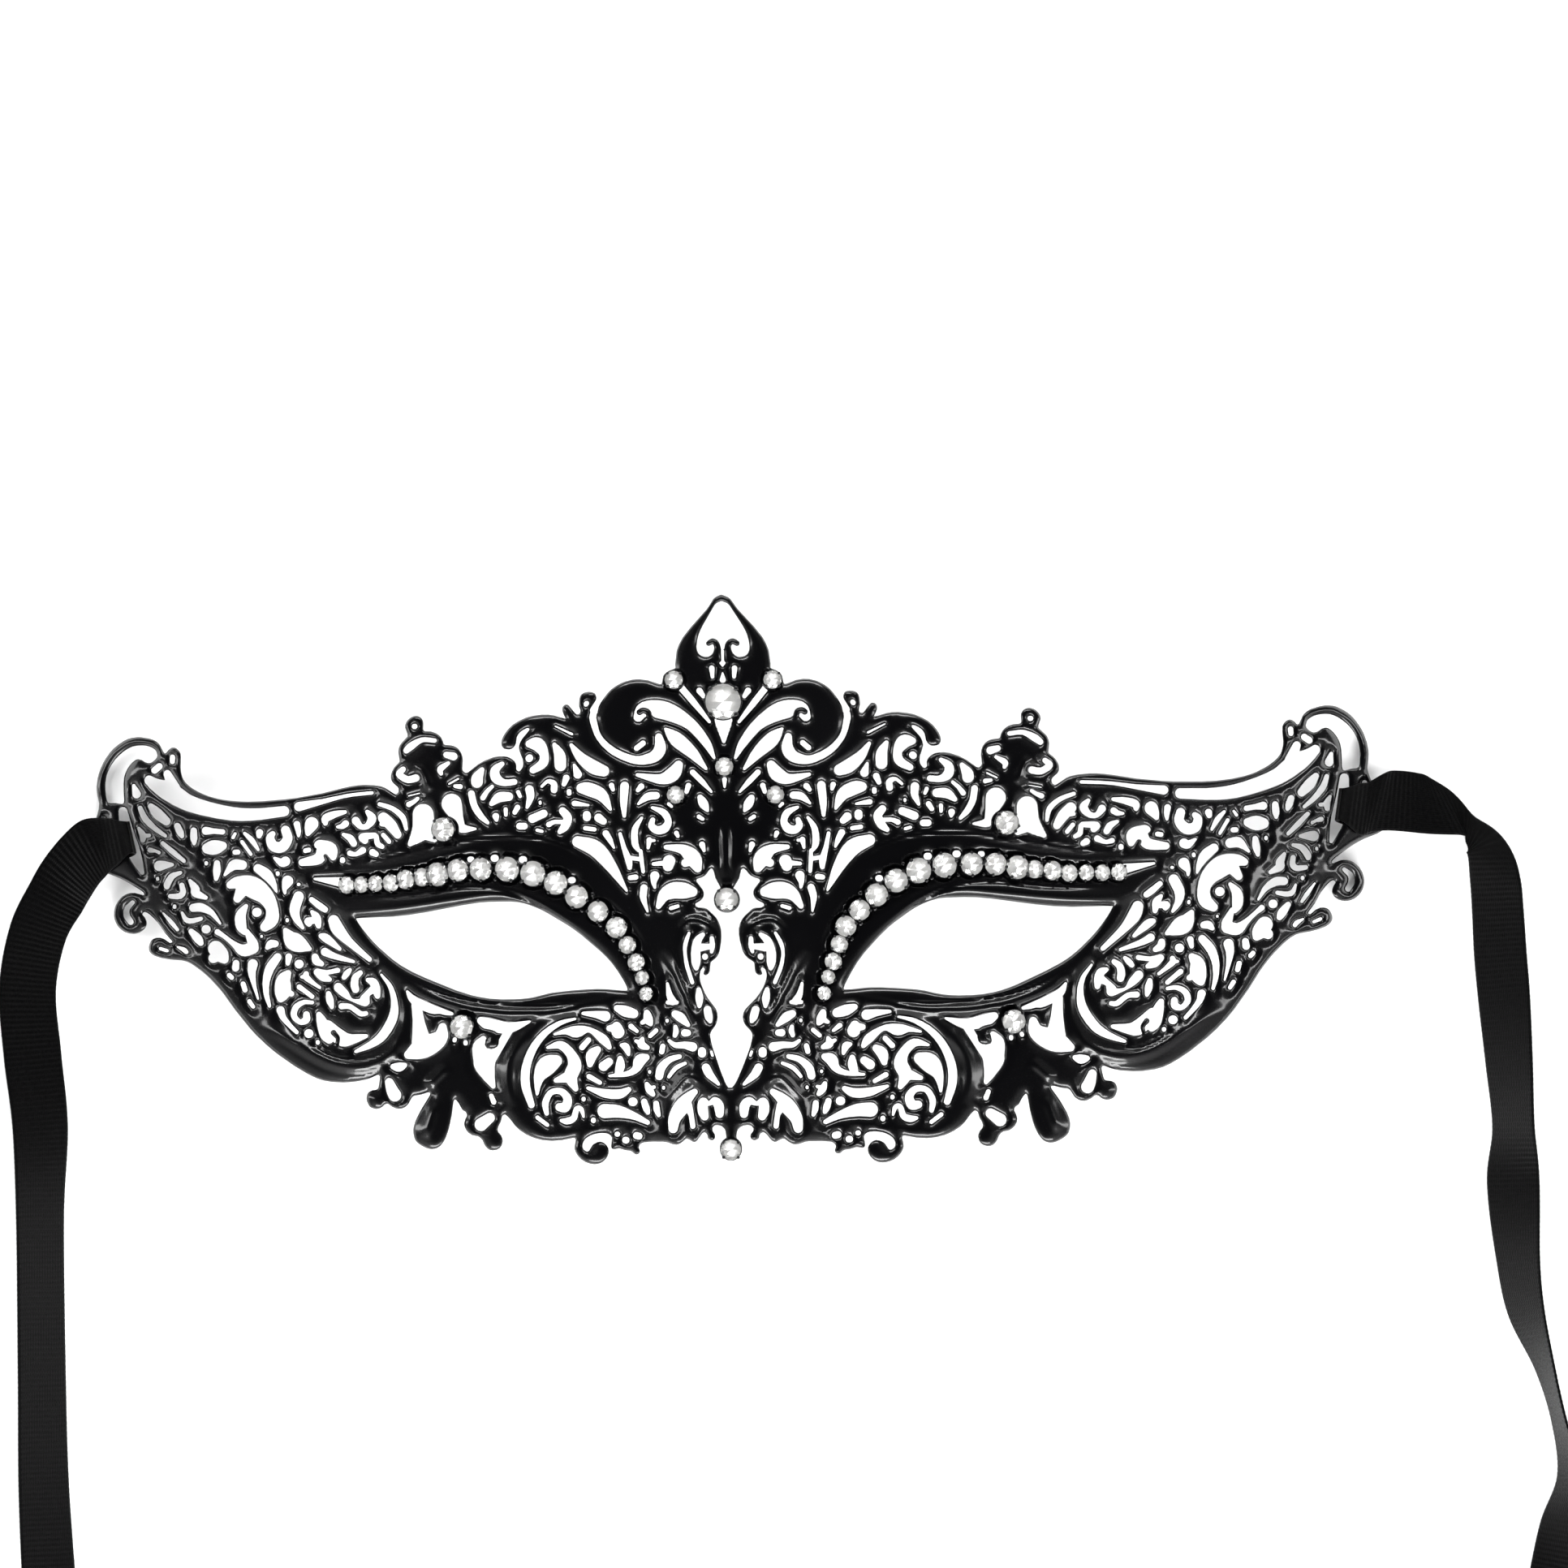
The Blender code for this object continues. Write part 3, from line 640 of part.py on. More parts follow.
def sheet_field(pitch, steps):
    """The flat pattern of the mask: the rim, less its openings and gaps, plus tongues and seats."""
    low = (-HALF_WIDTH_ROOM, -BELOW_ROOM)
    high = (HALF_WIDTH_ROOM, ABOVE_ROOM)
    rim = Field(low, high, pitch)
    edge = outline_points(1, RIM, False, steps) + outline_points(-1, RIM, False, steps)[::-1]
    inside = rim.lower_to_edge(edge)
    metal = np.where(inside, -rim.value, rim.value)
    holes = Field(low, high, pitch)
    for side in (1, -1):
        for rows in (EYE, LOOP):
            hole = Field(low, high, pitch)
            within = hole.lower_to_edge(outline_points(side, rows, True, steps))
            holes.value = np.minimum(holes.value, np.where(within, -hole.value, hole.value))
    for rows in (SPADE, BRIDGE):
        hole = Field(low, high, pitch)
        edge = outline_points(1, rows, False, steps) + outline_points(-1, rows, False, steps)[::-1]
        within = hole.lower_to_edge(edge)
        holes.value = np.minimum(holes.value, np.where(within, -hole.value, hole.value))
    for side in (1, -1):
        for gap in all_gaps():
            for spine in gap:
                holes.lower_to_spine(spine_stations(side, spine, steps))
    metal = np.maximum(metal, -holes.value)
    tongues = Field(low, high, pitch)
    for side in (1, -1):
        for tongue in TONGUES:
            for spine in tongue:
                tongues.lower_to_spine(spine_stations(side, spine, steps))
    rim.value = np.minimum(metal, tongues.value) - EDGE_GROWTH
    return rim


def all_gaps():
    """Every gap of one half."""
    return (GAPS_CROWN + GAPS_FOREHEAD + GAPS_BROW + GAPS_ROW + GAPS_TEMPLE + GAPS_SIDE + GAPS_CHEEK)


def ridge_lines(steps):
    """The raised lines of both sides as world points, with heights and half widths."""
    lines = []
    for side in (1, -1):
        for share, wide, rows in RIDGES:
            line = [chart_to_plane(side, p[0], p[1]) for p in catmull(rows, steps)]
            lines.append((share * RELIEF_HEIGHT, wide * ACROSS, line))
    return lines


def chart_place(x, y):
    """The distances out from the centre line and up, of world points."""
    lean = x + AXIS_LEAN * y
    middle = (SKEW_HIGH + SKEW_LOW) / 2 * np.abs(lean) / (np.abs(lean) + SKEW_REACH * ACROSS)
    out = lean - middle
    up = y - np.sign(out) * TEMPLE_LIFT * (out / MASK_HALF_SPAN) ** 2
    return out, up


def form(x, y):
    """Height of the unpressed sheet over its own lowest plane: an arched brow with a nose and a leaning crown."""
    out, up = chart_place(np.asarray(x, dtype=float), np.asarray(y, dtype=float))
    out = np.abs(out)
    outer = np.clip((out / MASK_HALF_SPAN - .8) / .2, 0, 1)
    beside = np.clip(np.abs(up / MASK_HEIGHT - TIP_UP) / TIP_REACH, 0, 1)
    wide = out * (1 + LOWER_FLARE * (LOOP_UP - up / MASK_HEIGHT))
    wide = wide + TIP_DROP * MASK_HALF_SPAN * outer * outer * (3 - 2 * outer) * beside * beside * (3 - 2 * beside)
    level = LEVEL_OUT * MASK_HALF_SPAN
    wide = (wide + level - np.sqrt((wide - level) ** 2 + (LEVEL_BEND * MASK_HALF_SPAN) ** 2)) / 2
    sag = FACE_RADIUS - np.sqrt(np.maximum(FACE_RADIUS ** 2 - wide ** 2, (FACE_RADIUS * .3) ** 2))
    crown = np.maximum(up - CROWN_START * MASK_HEIGHT, 0) ** 2 / (2 * CROWN_RADIUS)
    low = np.clip(-up / (NOSE_REACH * MASK_HEIGHT), 0, 1)
    nose = NOSE_RISE * np.exp(-(out / (NOSE_WIDTH * MASK_HALF_SPAN)) ** 2) * low * low * (3 - 2 * low)
    return nose - sag - crown


def relief(x, y, lines):
    """Height of the pressed lines at world points."""
    x = np.asarray(x, dtype=float)
    y = np.asarray(y, dtype=float)
    best = np.zeros(x.shape)
    for tall, wide, line in lines:
        points = np.array(line)
        near = ((x > points[:, 0].min() - wide) & (x < points[:, 0].max() + wide)
                & (y > points[:, 1].min() - wide) & (y < points[:, 1].max() + wide))
        if not near.any():
            continue
        gap = np.full(int(near.sum()), FAR)
        for (ax, ay), (bx, by) in zip(line[:-1], line[1:]):
            dx, dy = bx - ax, by - ay
            span = max(dx * dx + dy * dy, 1e-18)
            t = np.clip(((x[near] - ax) * dx + (y[near] - ay) * dy) / span, 0, 1)
            gap = np.minimum(gap, np.hypot(x[near] - ax - t * dx, y[near] - ay - t * dy))
        best[near] = np.maximum(best[near], tall * np.clip(1 - gap / wide, 0, 1))
    return best


def normals(x, y):
    """Unit normals of the unpressed sheet at world points."""
    step = 0.0004
    gx = (form(x + step, y) - form(x - step, y)) / (2 * step)
    gy = (form(x, y + step) - form(x, y - step)) / (2 * step)
    size = np.sqrt(gx * gx + gy * gy + 1)
    return np.stack([-gx / size, -gy / size, 1 / size], axis=-1)


def contour_loops(field):
    """Closed outlines of the metal, anticlockwise round metal and clockwise round gaps."""
    value = field.value
    metal = value < 0
    count = (metal[:-1, :-1].astype(int) + metal[:-1, 1:] + metal[1:, :-1] + metal[1:, 1:])
    links = {}
    for j, i in zip(*np.nonzero((count > 0) & (count < 4))):
        j, i = int(j), int(i)
        corners = ((j, i), (j, i + 1), (j + 1, i + 1), (j + 1, i))
        edges = ((0, j, i), (1, j, i + 1), (0, j + 1, i), (1, j, i))
        leave, enter = [], []
        for k in range(4):
            here, after = metal[corners[k]], metal[corners[(k + 1) % 4]]
            if here and not after:
                leave.append(k)
            if after and not here:
                enter.append(k)
        if len(leave) == 1:
            links[edges[leave[0]]] = edges[enter[0]]
            continue
        joined = sum(value[c] for c in corners) < 0
        for k in leave:
            links[edges[k]] = edges[(k + 1) % 4 if joined else (k - 1) % 4]
    loops = []
    while links:
        first, after = links.popitem()
        loop = [first]
        while after != first:
            loop.append(after)
            after = links.pop(after)
        loops.append(np.array([edge_point(field, e) for e in loop]))
    return loops


def edge_point(field, edge):
    """Where the outline crosses one edge of the grid."""
    way, j, i = edge
    a = field.value[j, i]
    b = field.value[j + 1, i] if way else field.value[j, i + 1]
    t = a / (a - b)
    if way:
        return field.xs[i], field.ys[j] + t * field.pitch
    return field.xs[i] + t * field.pitch, field.ys[j]


def loop_area(loop):
    """Signed area of a closed outline."""
    x, y = loop[:, 0], loop[:, 1]
    return 0.5 * float(np.sum(x * np.roll(y, -1) - np.roll(x, -1) * y))


def holds(loop, x, y):
    """Whether a closed outline goes round a point."""
    ax, ay = loop[:, 0], loop[:, 1]
    bx, by = np.roll(ax, -1), np.roll(ay, -1)
    spans = (ay > y) != (by > y)
    cross = ax[spans] + (y - ay[spans]) * (bx - ax)[spans] / (by - ay)[spans]
    return int(np.sum(cross > x)) % 2 == 1


def thin_out(loop, slack):
    """A closed outline with the points dropped that stay within a slack of the straight run."""
    count = len(loop)
    far = int(np.argmax(np.hypot(*(loop - loop[0]).T)))
    keep = {0, far}
    stack = [(0, far), (far, count)]
    while stack:
        a, b = stack.pop()
        if b - a < 2:
            continue
        pa, pb = loop[a], loop[b % count]
        mid = loop[a + 1:b]
        dx, dy = pb - pa
        span = dx * dx + dy * dy
        t = np.clip(((mid - pa) @ np.array((dx, dy))) / max(span, 1e-18), 0, 1)
        gap = np.hypot(mid[:, 0] - pa[0] - t * dx, mid[:, 1] - pa[1] - t * dy)
        worst = int(np.argmax(gap))
        if gap[worst] > slack:
            keep.add(a + 1 + worst)
            stack += [(a, a + 1 + worst), (a + 1 + worst, b)]
    return loop[sorted(keep)]


def metal_loops(field, smallest):
    """The one connected sheet: its outer edge first, then its gaps down to a smallest area."""
    loops = contour_loops(field)
    areas = [loop_area(loop) for loop in loops]
    outer = loops[int(np.argmax(areas))]
    gaps = [loop for loop, area in zip(loops, areas)
            if area < -smallest and holds(outer, loop[0, 0], loop[0, 1])]
    gaps.sort(key=lambda loop: loop_area(loop))
    return [outer] + gaps


def make_object(name, verts, faces, material):
    """One closed body from points and faces, facing outward."""
    mesh = bpy.data.meshes.new(name)
    mesh.from_pydata([tuple(v) for v in verts], [], [tuple(f) for f in faces])
    work = bmesh.new()
    work.from_mesh(mesh)
    bmesh.ops.recalc_face_normals(work, faces=work.faces)
    if work.calc_volume(signed=True) < 0:
        bmesh.ops.reverse_faces(work, faces=work.faces)
    work.to_mesh(mesh)
    work.free()
    mesh.materials.append(material)
    body = bpy.data.objects.new(name, mesh)
    bpy.context.scene.collection.objects.link(body)
    return body


def make_material(name, colour, metallic, roughness):
    """A plain Principled material."""
    material = bpy.data.materials.new(name)
    material.use_nodes = True
    shader = material.node_tree.nodes["Principled BSDF"]
    shader.inputs["Base Color"].default_value = (*colour, 1)
    shader.inputs["Metallic"].default_value = metallic
    shader.inputs["Roughness"].default_value = roughness
    material.diffuse_color = (*colour, 1)
    return material


def fill_plan(loops, lines, spots):
    """Triangles of a plan between closed outlines, with inner lines and points held in it."""
    points, edges, faces = [], [], []
    for loop in loops:
        if loop_area(loop) < 0:
            loop = loop[::-1]
        start = len(points)
        points += [Vector((p[0], p[1])) for p in loop]
        faces.append(list(range(start, start + len(loop))))
    for line in lines:
        start = len(points)
        points += [Vector((p[0], p[1])) for p in line]
        edges += [(start + k, start + k + 1) for k in range(len(line) - 1)]
    points += [Vector((p[0], p[1])) for p in spots]
    found = delaunay_2d_cdt(points, edges, faces, 0, 1e-7)
    plan = [(v.x, v.y) for v in found[0]]
    kept = [list(f) for f, owners in zip(found[2], found[5])
            if 0 in owners and not any(owner > 0 for owner in owners if owner < len(loops))]
    used = sorted({v for f in kept for v in f})
    place = {v: k for k, v in enumerate(used)}
    return np.array([plan[v] for v in used]), [[place[v] for v in f] for f in kept]


def open_edges(faces):
    """The directed edges that only one triangle uses."""
    seen = {}
    for face in faces:
        for a, b in zip(face, face[1:] + face[:1]):
            seen[(a, b)] = seen.get((a, b), 0) + 1
    return [(a, b) for a, b in seen if (b, a) not in seen]


def split_pinches(plan, faces):
    """Give each fan of triangles at a pinched corner its own copy of the corner."""
    plan = list(map(tuple, plan))
    fans = {}
    for index, face in enumerate(faces):
        for v in face:
            fans.setdefault(v, []).append(index)
    for v, owners in fans.items():
        left = set(owners)
        first = True
        while left:
            group, stack = set(), [left.pop()]
            while stack:
                here = stack.pop()
                group.add(here)
                near = {o for o in left if len(set(faces[o]) & set(faces[here])) > 1}
                left -= near
                stack += near
            if not first:
                plan.append(plan[v])
                for index in group:
                    faces[index] = [len(plan) - 1 if w == v else w for w in faces[index]]
            first = False
    return np.array(plan), faces


def mask_frame(material):
    """The whole cut sheet: pierced, bowed and pressed, of one even thickness."""
    field = sheet_field(GRID_PITCH, CURVE_STEPS)
    loops = [thin_out(loop, EDGE_SLACK) for loop in metal_loops(field, SMALLEST_GAP)]
    lines = ridge_lines(1)
    inner = []
    for _, _, line in lines:
        run = []
        for x, y in line:
            i = int(round((x - field.xs[0]) / field.pitch))
            j = int(round((y - field.ys[0]) / field.pitch))
            if field.value[j, i] < -0.0004:
                run.append((x, y))
            else:
                inner.append(run)
                run = []
        inner.append(run)
    plan, faces = fill_plan(loops, [run for run in inner if len(run) > 1], [])
    plan, faces = split_pinches(plan, faces)
    x, y = plan[:, 0], plan[:, 1]
    middle = np.stack([x, y, form(x, y) + relief(x, y, lines)], axis=-1)
    offset = normals(x, y) * SHEET_THICKNESS / 2
    top, bottom = middle + offset, middle - offset
    lift = -float(bottom[:, 2].min())
    count = len(plan)
    verts = np.concatenate([top, bottom])
    verts[:, 2] += lift
    solid = [list(f) for f in faces] + [[v + count for v in reversed(f)] for f in faces]
    for a, b in open_edges(faces):
        solid.append([b, a, a + count])
        solid.append([b, a + count, b + count])
    print("frame gaps", len(loops) - 1, "triangles", len(solid))
    return make_object("mask_frame", verts, solid, material), lift


def stone_seat(side, out, up, lift, radius, gap):
    """The middle of a stone's flat back and the directions across, along and out of its seat."""
    x, y = chart_to_plane(side, out, up)
    outward = Vector(normals(np.array([x]), np.array([y]))[0])
    ring = [(x + radius * math.cos(a), y + radius * math.sin(a)) for a in np.linspace(0, 2 * math.pi, 9)]
    px = np.array([p[0] for p in ring] + [x])
    py = np.array([p[1] for p in ring] + [y])
    tops = form(px, py) + lift + relief(px, py, ridge_lines(1))
    plane = Vector((x, y, float(tops[-1])))
    rise = max((Vector((a, b, float(c))) - plane).dot(outward) for a, b, c in zip(px, py, tops))
    across = Vector((1, 0, 0)) - outward * outward.x
    across.normalize()
    along = outward.cross(across)
    return plane + outward * (rise + SHEET_THICKNESS / 2 + gap), across, along, outward


def stone(name, side, out, up, radius, lift, material):
    """A round cut stone: flat back, upright girdle, eight crown facets and a table."""
    foot, across, along, outward = stone_seat(side, out, up, lift, radius, SEAT_CLEARANCE)
    tall = STONE_HEIGHT * (.55 + .45 * radius / CENTRE_STONE_RADIUS)
    verts = []
    for wide, high, turn in ((.96, 0, 0), (1, tall * .25, 0), (.97, tall * .45, 0), (.6, tall, 0.5)):
        for k in range(8):
            angle = 2 * math.pi * (k + turn) / 8
            verts.append(foot + across * (radius * wide * math.cos(angle))
                         + along * (radius * wide * math.sin(angle)) + outward * high)
    faces = [list(range(7, -1, -1)), list(range(24, 32))]
    for level in (0, 8):
        for k in range(8):
            after = (k + 1) % 8
            faces.append([level + k, level + after, level + 8 + after, level + 8 + k])
    for k in range(8):
        after = (k + 1) % 8
        faces.append([16 + k, 16 + after, 24 + k])
        faces.append([16 + after, 24 + after, 24 + k])
    return make_object(name, verts, faces, material)


def stone_row(name, side, lift, material):
    """The stones of one brow, fused to the thin strip that carries them."""
    places = [(*chart_to_plane(side, out, up), share * CENTRE_STONE_RADIUS) for out, up, share in ROW_STONES]
    xs, ys = [p[0] for p in places], [p[1] for p in places]
    room = CENTRE_STONE_RADIUS * 2
    strip = Field((min(xs) - room, min(ys) - room), (max(xs) + room, max(ys) + room), GRID_PITCH)
    for x, y, radius in places:
        strip.lower_to_spine([(x, y, radius + .0001), (x + 1e-6, y, radius + .0001)])
    strip.lower_to_spine([(x, y, radius * ROW_BAND) for x, y, radius in places])
    outline = thin_out(metal_loops(strip, FAR)[0], EDGE_SLACK * 1.4)
    lines, marks = [], []
    for x, y, radius in places:
        for share in (ROW_FILL, ROW_FILL * .6):
            ring = [(x + radius * share * math.cos(math.pi * k / 4), y + radius * share * math.sin(math.pi * k / 4))
                    for k in range(9)]
            lines.append(ring[:-1] + ring[:1])
    plan, faces = fill_plan([outline], lines, [])
    ridges = ridge_lines(1)
    px, py = plan[:, 0], plan[:, 1]
    fine = np.array([(x + dx, y + dy) for x, y, r in places for dx in (-r, 0, r) for dy in (-r, 0, r)])
    rise = float(np.max(relief(fine[:, 0], fine[:, 1], ridges)))
    base = np.stack([px, py, form(px, py) + lift], axis=-1)
    outward = normals(px, py)
    low = SHEET_THICKNESS / 2 + rise + SEAT_CLEARANCE
    high = np.full(len(plan), low + ROW_STRIP_THICKNESS)
    for x, y, radius in places:
        gap = np.hypot(px - x, py - y)
        high[gap < radius * ROW_FILL * .8] = low + ROW_STRIP_THICKNESS + ROW_STONE_HEIGHT * .6
        ring = (gap > radius * ROW_FILL * .8) & (gap < radius * ROW_FILL * 1.05)
        high[ring] = low + ROW_STRIP_THICKNESS + ROW_STONE_HEIGHT * .25
    top = base + outward * high[:, None]
    bottom = base + outward * low
    count = len(plan)
    solid = [list(f) for f in faces] + [[v + count for v in reversed(f)] for f in faces]
    for a, b in open_edges(faces):
        solid.append([b, a, a + count])
        solid.append([b, a + count, b + count])
    return make_object(name, np.concatenate([top, bottom]), solid, material)


def tie_stations(side, stations, lift):
    """Middle, width direction and width share along a ribbon: round its bar, then over the floor."""
    bar = Vector((*chart_to_plane(side, *BAR), 0))
    bar.z = float(form(bar.x, bar.y)) + lift
    upward = Vector(normals(np.array([bar.x]), np.array([bar.y]))[0])
    tall = Vector((*chart_to_plane(side, *BAR_ALONG), 0)) - Vector((bar.x, bar.y, 0))
    tall = (tall - upward * tall.dot(upward)).normalized()
    outward = tall.cross(upward) * side
    clear = SHEET_THICKNESS / 2 + SEAT_CLEARANCE + TIE_THICKNESS / 2
    rows = [(*(bar + outward * (a * ACROSS) + upward * (n * clear)), *tall, share) for a, n, share in TIE_WRAP]
    for across, along, under, turn, tip, share in stations:
        turn, tip = math.radians(turn), math.radians(tip)
        rise = TIE_WIDTH / 2 * abs(math.sin(tip)) + TIE_THICKNESS / 2 * math.cos(tip)
        rows.append((across * MASK_HALF_SPAN, along * (MASK_HALF_SPAN if along > 0 else TIE_FALL),
                     under * SHEET_THICKNESS + rise, math.cos(turn) * math.cos(tip),
                     math.sin(turn) * math.cos(tip), math.sin(tip), share))
    return catmull(rows, 2)


def tie(name, side, stations, lift, material):
    """A ribbon laid along its stations, with an even thickness and square edges."""
    line = tie_stations(side, stations, lift)
    path = [Vector(row[:3]) for row in line]
    verts = []
    for k, (row, here) in enumerate(zip(line, path)):
        heading = (path[min(k + 1, len(path) - 1)] - path[max(k - 1, 0)]).normalized()
        thick = heading.cross(Vector(row[3:6])).normalized()
        wide = thick.cross(heading).normalized()
        for a, b in ((-1, -1), (1, -1), (1, 1), (-1, 1)):
            corner = here + wide * (a * row[6] * TIE_WIDTH / 2) + thick * (b * TIE_THICKNESS / 2)
            corner.z = max(corner.z, TIE_THICKNESS * (.5 + .5 * b) if thick.z > 0 else corner.z, 0)
            verts.append(corner)
    faces = [[3, 2, 1, 0], [len(verts) - 4 + k for k in range(4)]]
    for k in range(len(path) - 1):
        for c in range(4):
            a, b = 4 * k + c, 4 * k + (c + 1) % 4
            faces.append([a, b, b + 4, a + 4])
    length = sum((b - a).length for a, b in zip(path[:-1], path[1:]))
    print(name, "lowest", round(min(v.z for v in verts) * 1000, 3), "length", round(length * 1000, 1))
    return make_object(name, verts, faces, material)


def build():
    """Every piece of the mask."""
    for thing in list(bpy.data.objects):
        bpy.data.objects.remove(thing, do_unlink=True)
    black = make_material("black_coated_metal", (.012, .012, .013), 0.6, 0.25)
    clear = make_material("clear_foiled_glass", (.85, .87, .9), 0.1, 0.05)
    cloth = make_material("black_ribbon", (.014, .014, .015), 0, 0.7)
    frame, lift = mask_frame(black)
    for name, up, radius in MIDDLE_STONES:
        stone(name, 1, 0, up, radius, lift, clear)
    for ending, side in (("right", 1), ("left", -1)):
        for name, out, up, radius in PAIR_STONES:
            stone(name + "_" + ending, side, out, up, radius, lift, clear)
        stone_row("brow_row_" + ending, side, lift, clear)
    tie("tie_right", 1, TIE_RIGHT, lift, cloth)
    tie("tie_left", -1, TIE_LEFT, lift, cloth)


build()
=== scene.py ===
"""A cut-metal masquerade mask with clear stones and ribbon ties, lying face up on a pale floor."""
import math

import bpy
import numpy as np
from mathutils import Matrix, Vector
from mathutils.geometry import delaunay_2d_cdt


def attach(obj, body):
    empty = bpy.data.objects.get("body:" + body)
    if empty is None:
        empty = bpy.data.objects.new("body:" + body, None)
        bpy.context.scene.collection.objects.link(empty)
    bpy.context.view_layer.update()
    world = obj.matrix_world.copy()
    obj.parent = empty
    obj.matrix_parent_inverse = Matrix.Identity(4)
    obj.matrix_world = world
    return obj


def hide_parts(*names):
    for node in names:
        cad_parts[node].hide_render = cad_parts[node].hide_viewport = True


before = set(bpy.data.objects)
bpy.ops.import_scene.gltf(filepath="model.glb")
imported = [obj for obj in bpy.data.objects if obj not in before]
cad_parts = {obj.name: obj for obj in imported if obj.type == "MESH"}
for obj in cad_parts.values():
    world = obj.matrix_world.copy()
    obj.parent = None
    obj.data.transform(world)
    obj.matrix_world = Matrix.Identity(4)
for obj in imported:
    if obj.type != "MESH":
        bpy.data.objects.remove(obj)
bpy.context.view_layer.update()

# Driving sizes, in metres.
MASK_HALF_SPAN = 0.105
MASK_HEIGHT = 0.093
SHEET_THICKNESS = 0.0009
FACE_RADIUS = 0.190
CROWN_RADIUS = 0.220
NOSE_RISE = 0.0075
RELIEF_HEIGHT = 0.0006
SEAT_CLEARANCE = 0.0003
CENTRE_STONE_RADIUS = 0.0030
TIE_WIDTH = 0.010
TIE_FALL = 0.1132

# How the chart lies in the plane: the photographed mask leans and is a little askew.
CHART_OUT = 105.0
ACROSS = MASK_HALF_SPAN / 105
UPWARD = MASK_HEIGHT / 93
AXIS_LEAN = 0.0177
SKEW_HIGH = 0.00147
SKEW_LOW = 0.00268
SKEW_REACH = 20.1
SKEW_TOP = 26.8
SKEW_SPAN = 40.2
TEMPLE_LIFT = 0.0030
LEFT_SPREAD_HIGH = 0.0028
LEFT_SPREAD_LOW = 0.0004
LEFT_NOSE_INSET = 0.0010
LEFT_SIDE_SPREAD = 0.0008
LEFT_LOW_RISE = 0.0005
# The fields of distance, and the room that they leave round the pattern.
EDGE_GROWTH = 0.00006
FAR = 1.0
REACH = 0.004
HALF_WIDTH_ROOM = MASK_HALF_SPAN + 0.010
BELOW_ROOM = MASK_HEIGHT / 2
ABOVE_ROOM = MASK_HEIGHT * 0.56
# The arch as shares of the half span and the height: flare, level tips, crown and nose.
LOWER_FLARE = 0.0651
LOOP_UP = 0.226
TIP_UP = 0.107
TIP_REACH = 0.125
TIP_DROP = 0.025
LEVEL_OUT = 1.022
LEVEL_BEND = 0.0114
CROWN_START = 0.215
NOSE_REACH = 0.27
NOSE_WIDTH = 0.133

# Single stones of one half or the middle: name, out, up, radius, in parts of half span and height.
MIDDLE_STONES = (
    ("crown_stone_middle", 31.4, CENTRE_STONE_RADIUS),
    ("forehead_stone_middle", 20.85, CENTRE_STONE_RADIUS * .5),
    ("nose_stone", -1.1, CENTRE_STONE_RADIUS * .63),
    ("chin_stone", -42.1, CENTRE_STONE_RADIUS * .57),
)
PAIR_STONES = (
    ("crown_stone", 7.7, 35.0, CENTRE_STONE_RADIUS * .5),
    ("forehead_stone", 7.8, 16.2, CENTRE_STONE_RADIUS * .48),
    ("brow_stone", 44.65, 11.05, CENTRE_STONE_RADIUS * .65),
    ("cheek_stone", 44.65, -21.65, CENTRE_STONE_RADIUS * .65),
)
# The row of stones along one brow: out, up, radius as a share of the middle stone.
ROW_STONES = (
    (62.5, 2.4, .467), (59.8, 2.4, .45), (57.2, 2.5, .45), (54.4, 2.5, .483), (51.7, 3, .533),
    (48.8, 3.3, .5), (46, 3.7, .65), (42.5, 4.3, .617), (38.65, 4.4, .633), (34.25, 4.3, .683),
    (30.05, 3.5, .7), (26.4, 1.9, .65), (23.2, -.4, .633), (20.4, -2.9, .583), (18.1, -5.6, .583),
    (16.95, -8.55, .483), (15.85, -11.45, .483), (14.95, -14, .4), (14.2, -16.65, .4),
)

# How a ribbon goes round its bar: distance outward from the bar's middle in parts of the half span,
# distance over the sheet in parts of a clear lift, and the ribbon's width there as a share.
BAR = (102.55, 11.2)
BAR_ALONG = (103.95, 16.3)
TIE_WRAP = (
    (.9, -1.36, .6), (-.4, -1.36, .6), (-1.8, -1.3, .58), (-2.85, -.85, .55), (-3, 0, .54),
    (-2.9, .8, .55), (-1.9, 1.25, .65), (-.4, 1.3, .8), (1.2, 1.3, .9),
)
# Where it runs from there, the right one with a fold and a twist read from the photo. The columns
# are: across as a share of the half span, along as a share of the half span
# above the middle and of the fall below it, the height of its underside in sheet thicknesses, the
# heading of its width in degrees, how far that edge is tipped up, and the width.
TIE_RIGHT = (
    (1.0260, .1420, 2.8, 77, 0, 1),
    (1.0480, .1450, 1.6, 84, 0, 1), (1.0890, .1412, .2, 92, 0, 1), (1.1425, .1313, 0, 117, 0, 1),
    (1.1715, .0983, 0, 78, 3, .5), (1.2007, .0647, 0, 6, 30, .82), (1.2104, .0209, 0, 3, 36, 1),
    (1.2145, -.0250, 0, 3, 34, 1), (1.2185, -.0884, 0, 5, 32, 1), (1.2243, -.1518, 0, 6, 33, 1),
    (1.2323, -.2479, 0, 4, 41, 1), (1.2390, -.3432, 0, 2, 48, 1), (1.2389, -.4226, 0, 3, 32, 1),
    (1.2463, -.5337, 0, 6, 46, 1), (1.2592, -.6132, 0, 12, 55, 1), (1.2880, -.6925, 0, 20, 73, 1),
    (1.3110, -.7719, 0, 14, 78, 1), (1.3290, -.8515, 0, 4, 66, 1), (1.3190, -.9250, 0, -8, 40, 1),
    (1.3090, -1, 0, -12, 22, 1),
)
